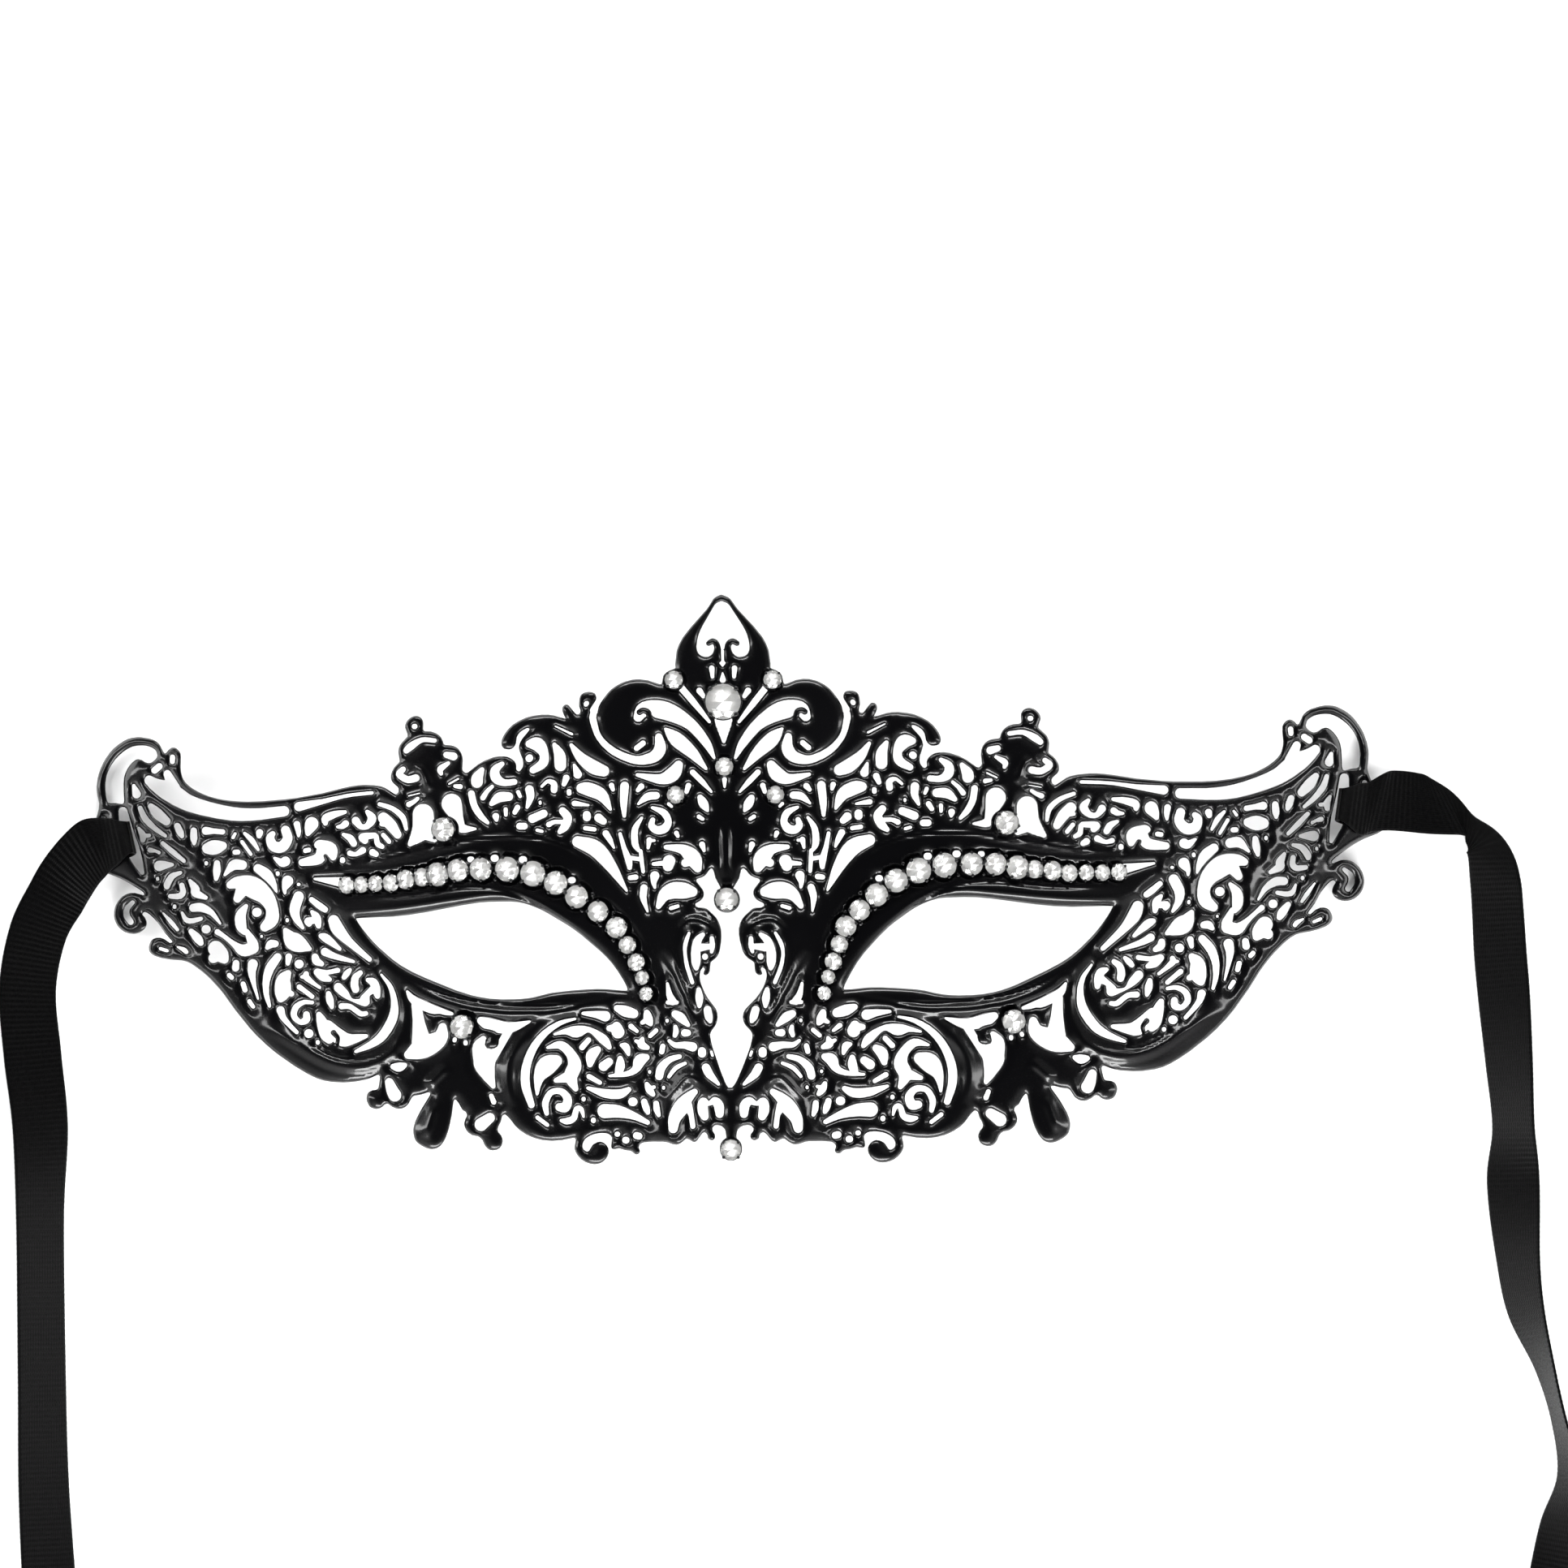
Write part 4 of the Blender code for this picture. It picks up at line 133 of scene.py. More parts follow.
TIE_LEFT = (
    (-.9980, .0700, 3.2, 116, 0, 1), (-1.0190, .0500, 2.2, 127, 2, 1), (-1.0400, .0220, .9, 140, 6, 1),
    (-1.0560, -.0050, 0, 150, 12, 1), (-1.0857, -.0592, 0, 164, 20, 1), (-1.1019, -.1413, 0, 176, 22, 1),
    (-1.0943, -.2367, 0, 185, 20, 1), (-1.0819, -.3436, 0, 184, 26, 1), (-1.0819, -.4735, 0, 180, 40, 1),
    (-1.0790, -.7102, 0, 180, 40, 1), (-1.0762, -.8640, 0, 181, 36, 1), (-1.0686, -1, 0, 182, 30, 1),
)

# Fine sizes for the visible pieces, in metres. The spots are a pitch and a distance from the edge.
CLOTH = 0.0005
RIB_PITCH = 0.00085
RIB_HEIGHT = 0.00007
FINE_PITCH = 0.0001
FINE_SLACK = 0.00003
FINE_GAP = 0.0000001
EDGE_ROUND = 0.00045
EDGE_DROP = 0.00036
PILLOW_REACH = 0.0018
PILLOW_HEIGHT = 0.00055
EDGE_LEVELS = (0.00006, 0.00016, 0.00034)
PRESSED_SPOTS = (0.0004, EDGE_LEVELS[-1] + 0.00012)
PLAIN_SPOTS = (0.0012, 0.0007)
UNDER_SPOTS = (0.0024, 0.0009)
# Pressed grooves: height share, half width and the line, in chart parts.
GROOVES = (
    (-.5, .7, ((19.5, -12), (23, -8.3), (27, -4.4), (31, -1.4), (36, .9), (43, 1.5),
               (50, .5), (57, .2), (62, .5))),
    (-.6, .6, ((25, -17.7), (30, -18.3), (36, -18.3), (42, -17.7), (48, -16.1), (54, -13))),
    (-.6, .7, ((20.2, 4.5), (24, 7.5), (29, 9.2), (36, 9.6), (44, 8.8), (52, 7.2), (60, 6), (68, 5))),
    (-.5, .5, ((10.9, -8.5), (8.3, -14.5), (5.6, -20))),
    (-.6, .7, ((56, -24), (60, -26.4), (66, -26.6), (72, -23.8))),
    (-.6, .8, ((21.4, 31), (20, 34.4), (16, 36.4), (12, 36.2))),
    (-.4, .5, ((-1.1, 11), (-1.2, 8), (-.9, 4))),
    (-.4, .5, ((1.1, 11), (1.2, 8), (.9, 4))),
)
# The settings: little beads beside the row of stones, as (out, up, radius).
ROW_BEADS = (
    (20.7, -.1, .5), (18.2, -3.2, .4), (20.5, -5.1, .5), (19, -7.7, .4), (17.6, -10.4, .35),
    (27.7, 4.6, .45), (44.3, 5.5, .45), (47.3, 5, .35), (50.6, 4.5, .35), (22.9, -2.7, .4),
    (25.1, -.5, .4), (28.3, 1.2, .4), (32.2, 2.2, .4), (36.5, 2.6, .35), (40.6, 2.7, .35),
)
# The camera looks straight down on the middle of the photographed frame.
CAMERA_HEIGHT = 5.0
FRAME_CENTRE = (0.00945, 0.01796)
FRAME_WIDTH = 0.2589
FLOOR = 3.0
FLOOR_DROP = 0.0002
# Soft boxes, aimed at the mask: name, place, size, power, and whether the gloss shows it.
SOFT_BOXES = (
    ("key_box", (.9, -.9, 1.5), (1.4, 1.0), 40, False),
    ("fill_box", (-1.3, .6, 1.3), (1.2, 1.2), 32, False),
    ("back_box", (.2, 1.5, 1.0), (1.6, .7), 24, False),
    ("front_strip", (0, -1.5, .85), (2.2, .3), 28, True),
    ("back_strip", (0, 1.6, .8), (2.0, .22), 17, True),
    ("left_strip", (-1.7, .1, .34), (.2, 1.6), 7, True),
    ("right_strip", (1.7, -.1, .34), (.2, 1.6), 7, True),
)
# Glow of the light tent from the horizon up to the zenith, as (sine of the height, strength),
# and its share at the sides and at the front.
TENT_GLOW = ((0, .5), (.3, .6), (.5, .6), (.72, .25), (.86, .05), (1, .01))
SIDE_SHARE = .22
FRONT_SHARE = 1.5
# The chart of one half of the mask, read off a grid laid over the mask itself. Every row is
# (out, up) or (out, up, half width), in parts of the half span (105 parts) across and of the
# full height (93 parts) upward, counted from the point between the eyes. The other half mirrors it.

# The outer edge, from the top of the crown round the temple to the chin.
RIM = (
    (0, 49.1), (1.25, 48.5), (2.25, 47), (3.25, 45.8), (4.75, 44.1), (5.55, 43.1), (6.45, 41.8),
    (7.15, 40.2), (7.35, 39), (7.5, 37.6), (7.5, 37), (8.4, 36.6), (9.2, 35.9), (9.4, 35), (9.6, 34.4),
    (10.3, 34.5), (11.5, 35), (13, 35.2), (14.3, 35), (15.5, 34.5), (16.8, 33.6), (17.9, 32.2),
    (18.7, 30.8), (19, 29.6), (19.8, 29.4), (20.1, 30.2), (19.7, 31), (19.2, 31.8), (19.1, 32.4),
    (19.4, 33), (20.3, 33.2), (21.2, 32.9), (21.6, 32.2), (21.7, 31), (21.5, 30.2), (21.6, 29.7),
    (22, 29.5), (22.4, 29.7), (23.3, 30.9), (23.8, 31.15), (24.3, 30.9), (24.45, 30.3), (24.2, 29.5),
    (23.95, 29), (24.3, 28.9), (25.2, 29.2), (26.5, 29.5), (28, 29.55), (30, 29.25), (31.5, 28.7),
    (33, 27.8), (34.2, 26.4), (34.7, 25.2), (34.5, 24.3), (33.8, 24), (33, 24.1), (32.4, 24.8),
    (32.2, 25.9), (31.7, 26.7), (30.8, 27.3), (30.2, 27.45), (30, 27.1), (30.6, 26.4), (31.4, 25.4),
    (31.8, 24.2), (31.5, 23), (31.2, 22.2), (31.2, 21.2), (31.6, 20.5), (32, 20.3), (32.4, 20.6),
    (32.4, 21.4), (32.8, 22.1), (33.8, 22.7), (35.5, 22.8), (37, 22.4), (38.5, 21.7), (39.7, 20.8),
    (40.5, 20.25), (41, 20.3), (41.4, 20.8), (41.3, 21.8), (41.3, 22.8), (41.6, 23.7), (42.2, 24.4),
    (43, 24.75), (43.8, 24.85), (44.4, 25), (44.6, 25.6), (45, 26.3), (45.8, 26.9), (46.8, 27.2),
    (47.7, 27.25), (48, 27.6), (47.95, 28.2), (48, 29), (48.5, 29.6), (49.3, 29.8), (50.2, 29.5),
    (50.9, 28.8), (51.1, 28), (50.8, 27.2), (50.7, 26.5), (51.2, 26), (52, 25.2), (52.4, 24.2),
    (52.3, 23), (52.3, 22.3), (53.2, 21.5), (53.8, 20.5), (53.9, 19.6), (53.6, 19), (53, 18.5),
    (52.6, 18), (52.7, 17.3), (53.2, 17), (53.8, 17.3), (54.7, 17.9), (55.8, 18.4), (57.5, 18.65),
    (60, 18.7), (63, 18.3), (66, 17.7), (69, 17.3), (72, 16.95), (75, 16.8), (78, 16.7), (81, 16.8),
    (84, 17.2), (86.5, 17.9), (88.7, 19), (90.2, 20.2), (90.9, 21.4), (91.1, 22.8), (91, 24.5),
    (91.1, 25.4), (91.7, 26.1), (92.4, 26.25), (93, 25.9), (93.4, 25.4), (93.8, 25.5), (94.2, 26.2),
    (94.6, 27), (95.5, 27.7), (96.8, 28.1), (98.2, 28.3), (99.8, 28.1), (101.2, 27.4), (102.4, 26.5),
    (103.4, 25.3), (104.3, 23.8), (104.9, 22.2), (105.2, 20.5), (105.1, 19), (104.9, 17.3),
    (105.6, 15), (106.6, 12.5), (107.4, 10.6), (107.8, 8.9), (107.3, 7.6), (106, 6.75), (104, 6.1),
    (102, 5.2), (99.9, 3.9), (98.3, 2.75), (98.3, 2.15), (99.7, 2.6), (100.9, 2.55), (102, 2),
    (103, .8), (103.4, -.6), (103.3, -1.7), (102.8, -2.8), (101.8, -3.7), (100.5, -4.1), (99.3, -3.9),
    (98.4, -3.3), (98.05, -2.4), (98.3, -1.6), (98.7, -1), (98.5, -.6), (98, -.6), (97.2, -1.2),
    (96, -2.6), (95, -4.2), (94.1, -5.3), (93.8, -5.8), (94.3, -6), (95.2, -5.3), (96.3, -5),
    (97.3, -5.4), (97.8, -6.4), (97.7, -7.3), (96.9, -8), (95.5, -8.5), (94, -8.8), (92.3, -9),
    (91.2, -9.4), (90, -10.2), (88.5, -11.5), (87, -13.1), (85.5, -15), (84, -17.3), (82.4, -19.4),
    (80.9, -21.4), (79, -23.4), (77, -25.2), (75, -26.7), (73, -28.1), (70.5, -29.5), (68.5, -30.2),
    (66, -30.5), (64, -30.45), (62, -30.2), (60.6, -29.8), (59.7, -29.4), (59.3, -29.5), (59.2, -30),
    (59.4, -30.9), (59.6, -31.6), (60, -31.9), (60.8, -32), (61.5, -32.5), (61.7, -33.5),
    (61.2, -34.6), (60.2, -35), (59.3, -34.8), (58.7, -34.3), (58.1, -34.2), (57.4, -34.7),
    (56.4, -35.05), (55.5, -34.9), (54.8, -34.4), (54.3, -33.6), (53.8, -33), (52.5, -32.75),
    (51.2, -32.4), (50.9, -32.8), (51.8, -34.1), (52.9, -35.9), (53.7, -37.6), (53.9, -39),
    (53.5, -40.4), (52.3, -41.3), (51, -41.75), (49.8, -41.5), (48.9, -40.6), (48.2, -39.2),
    (47.7, -37.5), (47.3, -35.5), (47.1, -34), (46.8, -33.6), (46.4, -33.9), (46, -34.5),
    (45.6, -35.3), (45, -35.7), (44.8, -36.3), (45.1, -36.9), (45.3, -37.8), (44.9, -38.8),
    (44, -39.5), (43, -39.7), (42.3, -40.3), (41.9, -41.2), (41.2, -41.9), (40.2, -42),
    (39.3, -41.5), (38.95, -40.5), (39.2, -39.6), (39.7, -39), (39.7, -38.3), (39.2, -37.3),
    (39, -36.5), (38.7, -36.2), (38.3, -36.2), (37.6, -36.9), (36.5, -38.3), (35, -39.4),
    (33, -40.2), (31, -40.5), (29, -40.4), (27.5, -40.1), (26.8, -40.05), (26.6, -40.5),
    (26.8, -41.3), (26.8, -42), (26.3, -43), (25.3, -43.9), (24, -44.35), (22.8, -44.3),
    (21.9, -43.8), (21.3, -43), (21.15, -42.1), (21.5, -41.3), (22.2, -40.8), (22.9, -40.8),
    (23.7, -41.2), (24.2, -41.9), (24.5, -42.3), (25, -42.3), (25.5, -41.8), (25.5, -41),
    (25, -40.2), (24, -39.6), (22.8, -39.3), (21.5, -39.3), (20.8, -39.6), (20.5, -40.1),
    (20.6, -40.9), (20.6, -41.7), (20.2, -41.95), (19.3, -41.8), (18.3, -42.1), (17.5, -42.2),
    (17.1, -42.4), (16.6, -42.8), (16.1, -42.7), (15.9, -42.3), (16.1, -41.7), (15.8, -41.1),
    (15, -40.8), (13, -40.7), (11.3, -40.8), (10.3, -41.15), (9.5, -41.2), (8.7, -40.8),
    (8.1, -40.3), (7.6, -40.3), (6.6, -40.8), (5.9, -40.3), (5.4, -39.6), (4.9, -39.2),
    (4.5, -39.3), (4.2, -39.7), (4.1, -40.2), (3.5, -40.5), (3, -40.2), (2.95, -39.6), (3.3, -39.1),
    (3.4, -38.6), (3, -38.1), (2.3, -38), (1.6, -38.2), (1, -38.8), (.8, -39.8), (.8, -40.7),
    (0, -41.5),
)

# The two eye openings, the open bridge under the nose stone, and the open side of each temple loop.
EYE = (
    (17.7, -15.7), (18.6, -13.7), (20.3, -10.9), (22.5, -8.3), (25, -5.8), (27.5, -3.9), (30, -2.3),
    (33, -1.2), (36, -1), (40, -1.1), (45, -1.8), (50, -2.6), (55, -3.05), (61, -3.1), (61.6, -3.5),
    (60, -5.9), (58, -8.2), (55, -10.9), (52, -12.75), (48, -14.6), (45, -15.9), (42, -16.8),
    (39, -17.2), (35.5, -17.2), (33, -16.9), (30, -16.2), (26, -15.8), (22, -15.65), (18.5, -15.95),
)
BRIDGE = (
    (1, .9), (1.9, 2.5), (2.2, 3.8), (2.6, 4.1), (3, 3.8), (3.6, 3), (4.3, 2.6), (4.9, 2.4), (5.1, 2),
    (4.7, 1.4), (4.1, .5), (4.1, -.4), (4.6, -1.1), (5.5, -1.6), (5.6, -2.1), (5.1, -2.4), (4, -2.5),
    (3.2, -3.2), (2.3, -4.2), (1.8, -5.5), (1.75, -6.8), (2, -8.4), (2.4, -9.8), (3.1, -10.7),
    (3.9, -11.3), (4, -12.1), (4.1, -12.9), (4.6, -13.4), (5.05, -13.2), (4.85, -12.5), (5.1, -12.1),
    (5.6, -12.5), (5.8, -13.3), (5.7, -14.2), (5.2, -15.5), (4.3, -17), (3.2, -18.2), (2.4, -19.2),
    (2.1, -20.3), (2.4, -21.5), (3.2, -22.5), (3.5, -23.3), (3.3, -24.5), (3, -25.6), (2, -28.4),
    (1.2, -30.4), (.7, -31.4), (.3, -31.9),
)
LOOP = (
    (94.9, 25.4), (95.2, 26.1), (96.2, 26.7), (97.5, 26.95), (99.2, 26.8), (101, 25.8), (102.5, 24.3),
    (103.4, 22.7), (103.8, 21), (103.8, 19.2), (103.5, 17.8), (102.2, 17.6), (100.8, 17.5),
    (100.7, 19.5), (100.6, 21.5), (100.1, 22.9), (99.3, 24), (98.4, 24.6), (97.6, 24.5), (97, 24.1),
    (96.2, 23.9), (95.4, 24.3), (94.9, 24.9),
)
SPADE = (
    (0, 48.1), (1.05, 47.6), (1.75, 46.5), (2.55, 45.2), (3.25, 44), (3.85, 42.7), (4.2, 41.3),
    (4.25, 40.2), (3.95, 39.4), (3.35, 38.95), (2.45, 38.85), (1.75, 39.3), (1.4, 40), (1.1, 41.3),
    (0, 41.6),
)

# Gaps cut through the sheet, each row a spine of (out, up, half width) stations.
GAPS_CROWN = (
    ((0, 40.9, .85), (0, 41.8, .9)), ((0, 39.9, .3), (0, 38.6, .8), (0, 37.4, .2)),
    ((1.85, 37, .5), (1.75, 35.6, .35)), ((0, 36.2, .2), (0, 35.1, .55)),
    ((3.9, 33.3, .55), (3.3, 32.4, .4)), ((6.6, 33.7, .6), (4.6, 31.1, .55), (2.4, 28.2, .3)),
    ((0, 28.4, 1.5), (0, 25, .35)),
    ((19.6, 29.4, .6), (19.6, 28.5, .6), (18.75, 25.7, .52), (16.6, 23.35, .62), (13.5, 21.95, .7),
     (11, 22.4, .95), (9.95, 23.8, 1), (10.1, 25.7, .65)),
    ((1.75, 22.3, .3), (3, 24.8, .75), (5.5, 27.9, 1), (9, 30, 1.5), (12, 30.3, 1.3), (13, 29, .8)),
    ((3.1, 20.5, .3), (5.2, 23.1, .95), (7.5, 25.3, 1.2), (9.1, 27, .3)),
    ((12.4, 24.7, .5), (13.3, 23.9, .5)), ((20.55, 31.35, .45), (20.65, 31.2, .45)),
    ((22.95, 26.3, .25), (25.7, 27.65, .17)),
)
GAPS_FOREHEAD = (
    ((7.3, 21.1, .75), (8.2, 19.6, 1.2), (10, 18.8, .85), (13.3, 19.5, .35)),
    ((5.2, 19.9, .5), (3.8, 18.4, .5), (2.3, 16.7, .25)), ((0, 18.7, .45), (0, 17.5, .25)),
    ((5.9, 17.7, .5), (6.2, 16.7, .4)), ((4.1, 15.7, .55), (3.6, 14.7, .8), (3, 13.6, .3)),
    ((4.4, 12.6, .4), (3.8, 12.2, .35)), ((8.9, 14.7, .35), (8.5, 14.3, .3)),
    ((10.7, 16.1, .65), (12, 15.9, .65), (13.3, 14.75, .25)), ((12.8, 17.6, .55), (13.3, 17, .4)),
    ((15.2, 17.7, .75), (15.4, 15, .65), (15.4, 12.8, .35)), ((17.1, 17.8, .5), (16.9, 17.1, .35)),
    ((17.4, 13.9, .3), (18.6, 16.2, 1), (20.5, 17.2, 1.15), (21.7, 17.4, .85)),
    ((18.2, 20.2, .95), (19.8, 20.9, 1.15), (21.7, 22.5, .85), (23.1, 24.5, .35)),
    ((22.7, 21.2, .3), (22.2, 19.7, .75)), ((24.1, 19.1, .6), (24.5, 18.1, .45)),
    ((23.7, 16.9, .45), (23.7, 16.6, .45)), ((20.7, 14.6, .25), (22, 14.8, .4), (22.9, 14.9, .5)),
    ((24.9, 13.7, .65), (24.1, 12.6, .75), (24.6, 11.2, .75), (25.5, 10.3, .45)),
    ((25, 11.9, .4), (26.4, 11.9, .4), (27.3, 11.5, .5)), ((28.1, 13.3, .7), (30, 12.5, .75)),
    ((28.6, 15.2, .3), (28.6, 15, .3)), ((19.2, 12.5, .75), (18.5, 11.9, .6)),
    ((21, 13, .7), (21, 12.6, .7)), ((19.9, 10.6, .4), (21.3, 10.8, .42)),
    ((18.2, 9.9, .6), (17.6, 8.8, .5), (17.1, 7.6, .25)),
    ((15.6, .5, .25), (17.5, 4.3, .95), (19.8, 7.4, 1.35), (22.6, 8.6, .95)),
    ((11.3, 14.1, .3), (9.7, 13.3, .6), (9.05, 11.9, .6), (9.6, 10.7, .75), (10.7, 10.4, .7),
     (11.5, 11.1, .6), (11.3, 12.1, .45)),
    ((12.9, 12.4, .3), (13.9, 10.6, .55), (14, 8.3, .6), (13.5, 7.1, .35)),
    ((13.2, 7, .35), (13.1, 5.2, .4), (12.95, 3.6, .35)),
    ((16.1, 9.8, .35), (15.6, 7.5, .45), (15, 5.5, .6), (14.9, 4.3, .45)),
    ((13.3, 5.65, .4), (15, 5.9, .4)), ((14.1, 2.7, .5), (14.9, 2.6, .45)),
    ((7.9, 9.9, .45), (7.7, 9.4, .35)), ((11.9, 8.8, .5), (12.1, 7.5, .3)),
    ((11.9, 8.7, .3), (11.2, 8.7, .3)), ((4, 8, .55), (3.7, 7, .3)),
    ((9.5, 7.6, .42), (7, 7.2, .85), (5.5, 5.8, 1.35), (4.8, 4.1, .7)), ((5.5, 5.5, .8), (6.7, 5, .7)),
    ((9.1, 5.3, 1.05), (9.3, 4.5, .9)), ((9.5, 5, .5), (11.4, 4.85, .35)),
    ((11.3, 2.9, .8), (11.5, 1.9, .5), (11.4, 1, .3)),
    ((5.8, .25, .85), (7.2, .45, 1.35), (8.8, .45, 1.35), (10.2, -.3, 1), (11.3, -2.1, .5)),
    ((13, .9, .65), (13.35, -.5, .6), (13.25, -1.8, .4), (13.1, -2.9, .25)),
    ((8.4, -2.1, .35), (9.5, -2.45, .38)),
)
GAPS_BROW = (
    ((25.9, 24.6, .4), (25.1, 22.9, .95), (25, 21.2, 1)),
    ((30.1, 24.8, .65), (28.7, 24.7, 1.15), (27.7, 23.2, .8), (27.9, 21.6, .8), (29.6, 20.5, .6)),
    ((30.1, 22.5, .63), (30.2, 22.4, .63)),
    ((34.7, 21.6, .42), (35.9, 20.6, .75), (35.8, 19.3, .85), (34.5, 18.5, .6), (32.8, 18.6, .55)),
    ((38.1, 20.7, .45), (38.9, 19.4, .95), (39, 18.7, 1)),
    ((36.5, 17.9, .35), (37.4, 17.1, .4), (38.1, 16.1, .5)),
    ((33.8, 16.2, .75), (35.4, 16.1, .85), (36.7, 15.1, .45)), ((32.2, 16.9, .4), (31.9, 16.2, .35)),
    ((30.3, 17.3, .75), (30.2, 16, .65), (30.8, 14.4, .32)),
    ((28.2, 17.8, .3), (27.2, 18.6, .35), (26.2, 18.2, .55), (26.2, 17.2, .6)),
    ((32.4, 14.4, .5), (32.9, 13.6, .45)), ((34.4, 14.1, .4), (34.4, 13.2, .35)),
    ((36.1, 13, .6), (36, 12.4, .35)), ((31.4, 11.3, .6), (32.2, 11.3, .6)),
    ((28.5, 10.4, .33), (29.3, 10.6, .33)),
    ((40, 16.8, .6), (39.6, 14.8, .6), (38.6, 13.1, .55), (37.5, 12, .35)),
    ((43.4, 15.2, 1.7), (42.5, 12.8, 1), (41.9, 11.2, .8), (39.6, 11, .25)),
    ((48.45, 13.6, 1.75), (48.7, 11.2, 1.7), (51, 8.8, .45)), ((48.2, 10.2, .8), (46.7, 9.4, .5)),
    ((42.8, 23, .7), (44, 23.3, .55)), ((43.7, 21.9, .35), (45.1, 21, .55), (45, 20.2, .35)),
    ((42.1, 19.3, .2), (43.7, 18.5, .2)), ((41.8, 18, .45), (42.7, 18.1, .35)),
    ((49.5, 19.6, .65), (51, 19.4, .6), (52.4, 20.3, .6), (51.7, 21.1, .5)),
    ((49.3, 16.2, .35), (50, 15.7, .4), (50.9, 15.3, .5)), ((48.9, 17.1, .15), (50.9, 16.7, .15)),
    ((46, 25.7, .42), (48.2, 25.85, .45), (50.1, 24.9, .65), (51, 24.2, .55)),
    ((49.4, 28.1, .48), (49.5, 28.1, .48)),
)
GAPS_ROW = (
    ((31.8, 5.8, .62), (32, 5.8, .62)), ((36.5, 6.1, .62), (36.7, 6.1, .62)),
    ((40.5, 6, .52), (40.7, 6, .52)), ((23.8, 2.3, .57), (24, 2.3, .57)),
    ((68.8, 3.6, .25), (66, 3.2, .6), (63.9, 2.9, .85)),
)
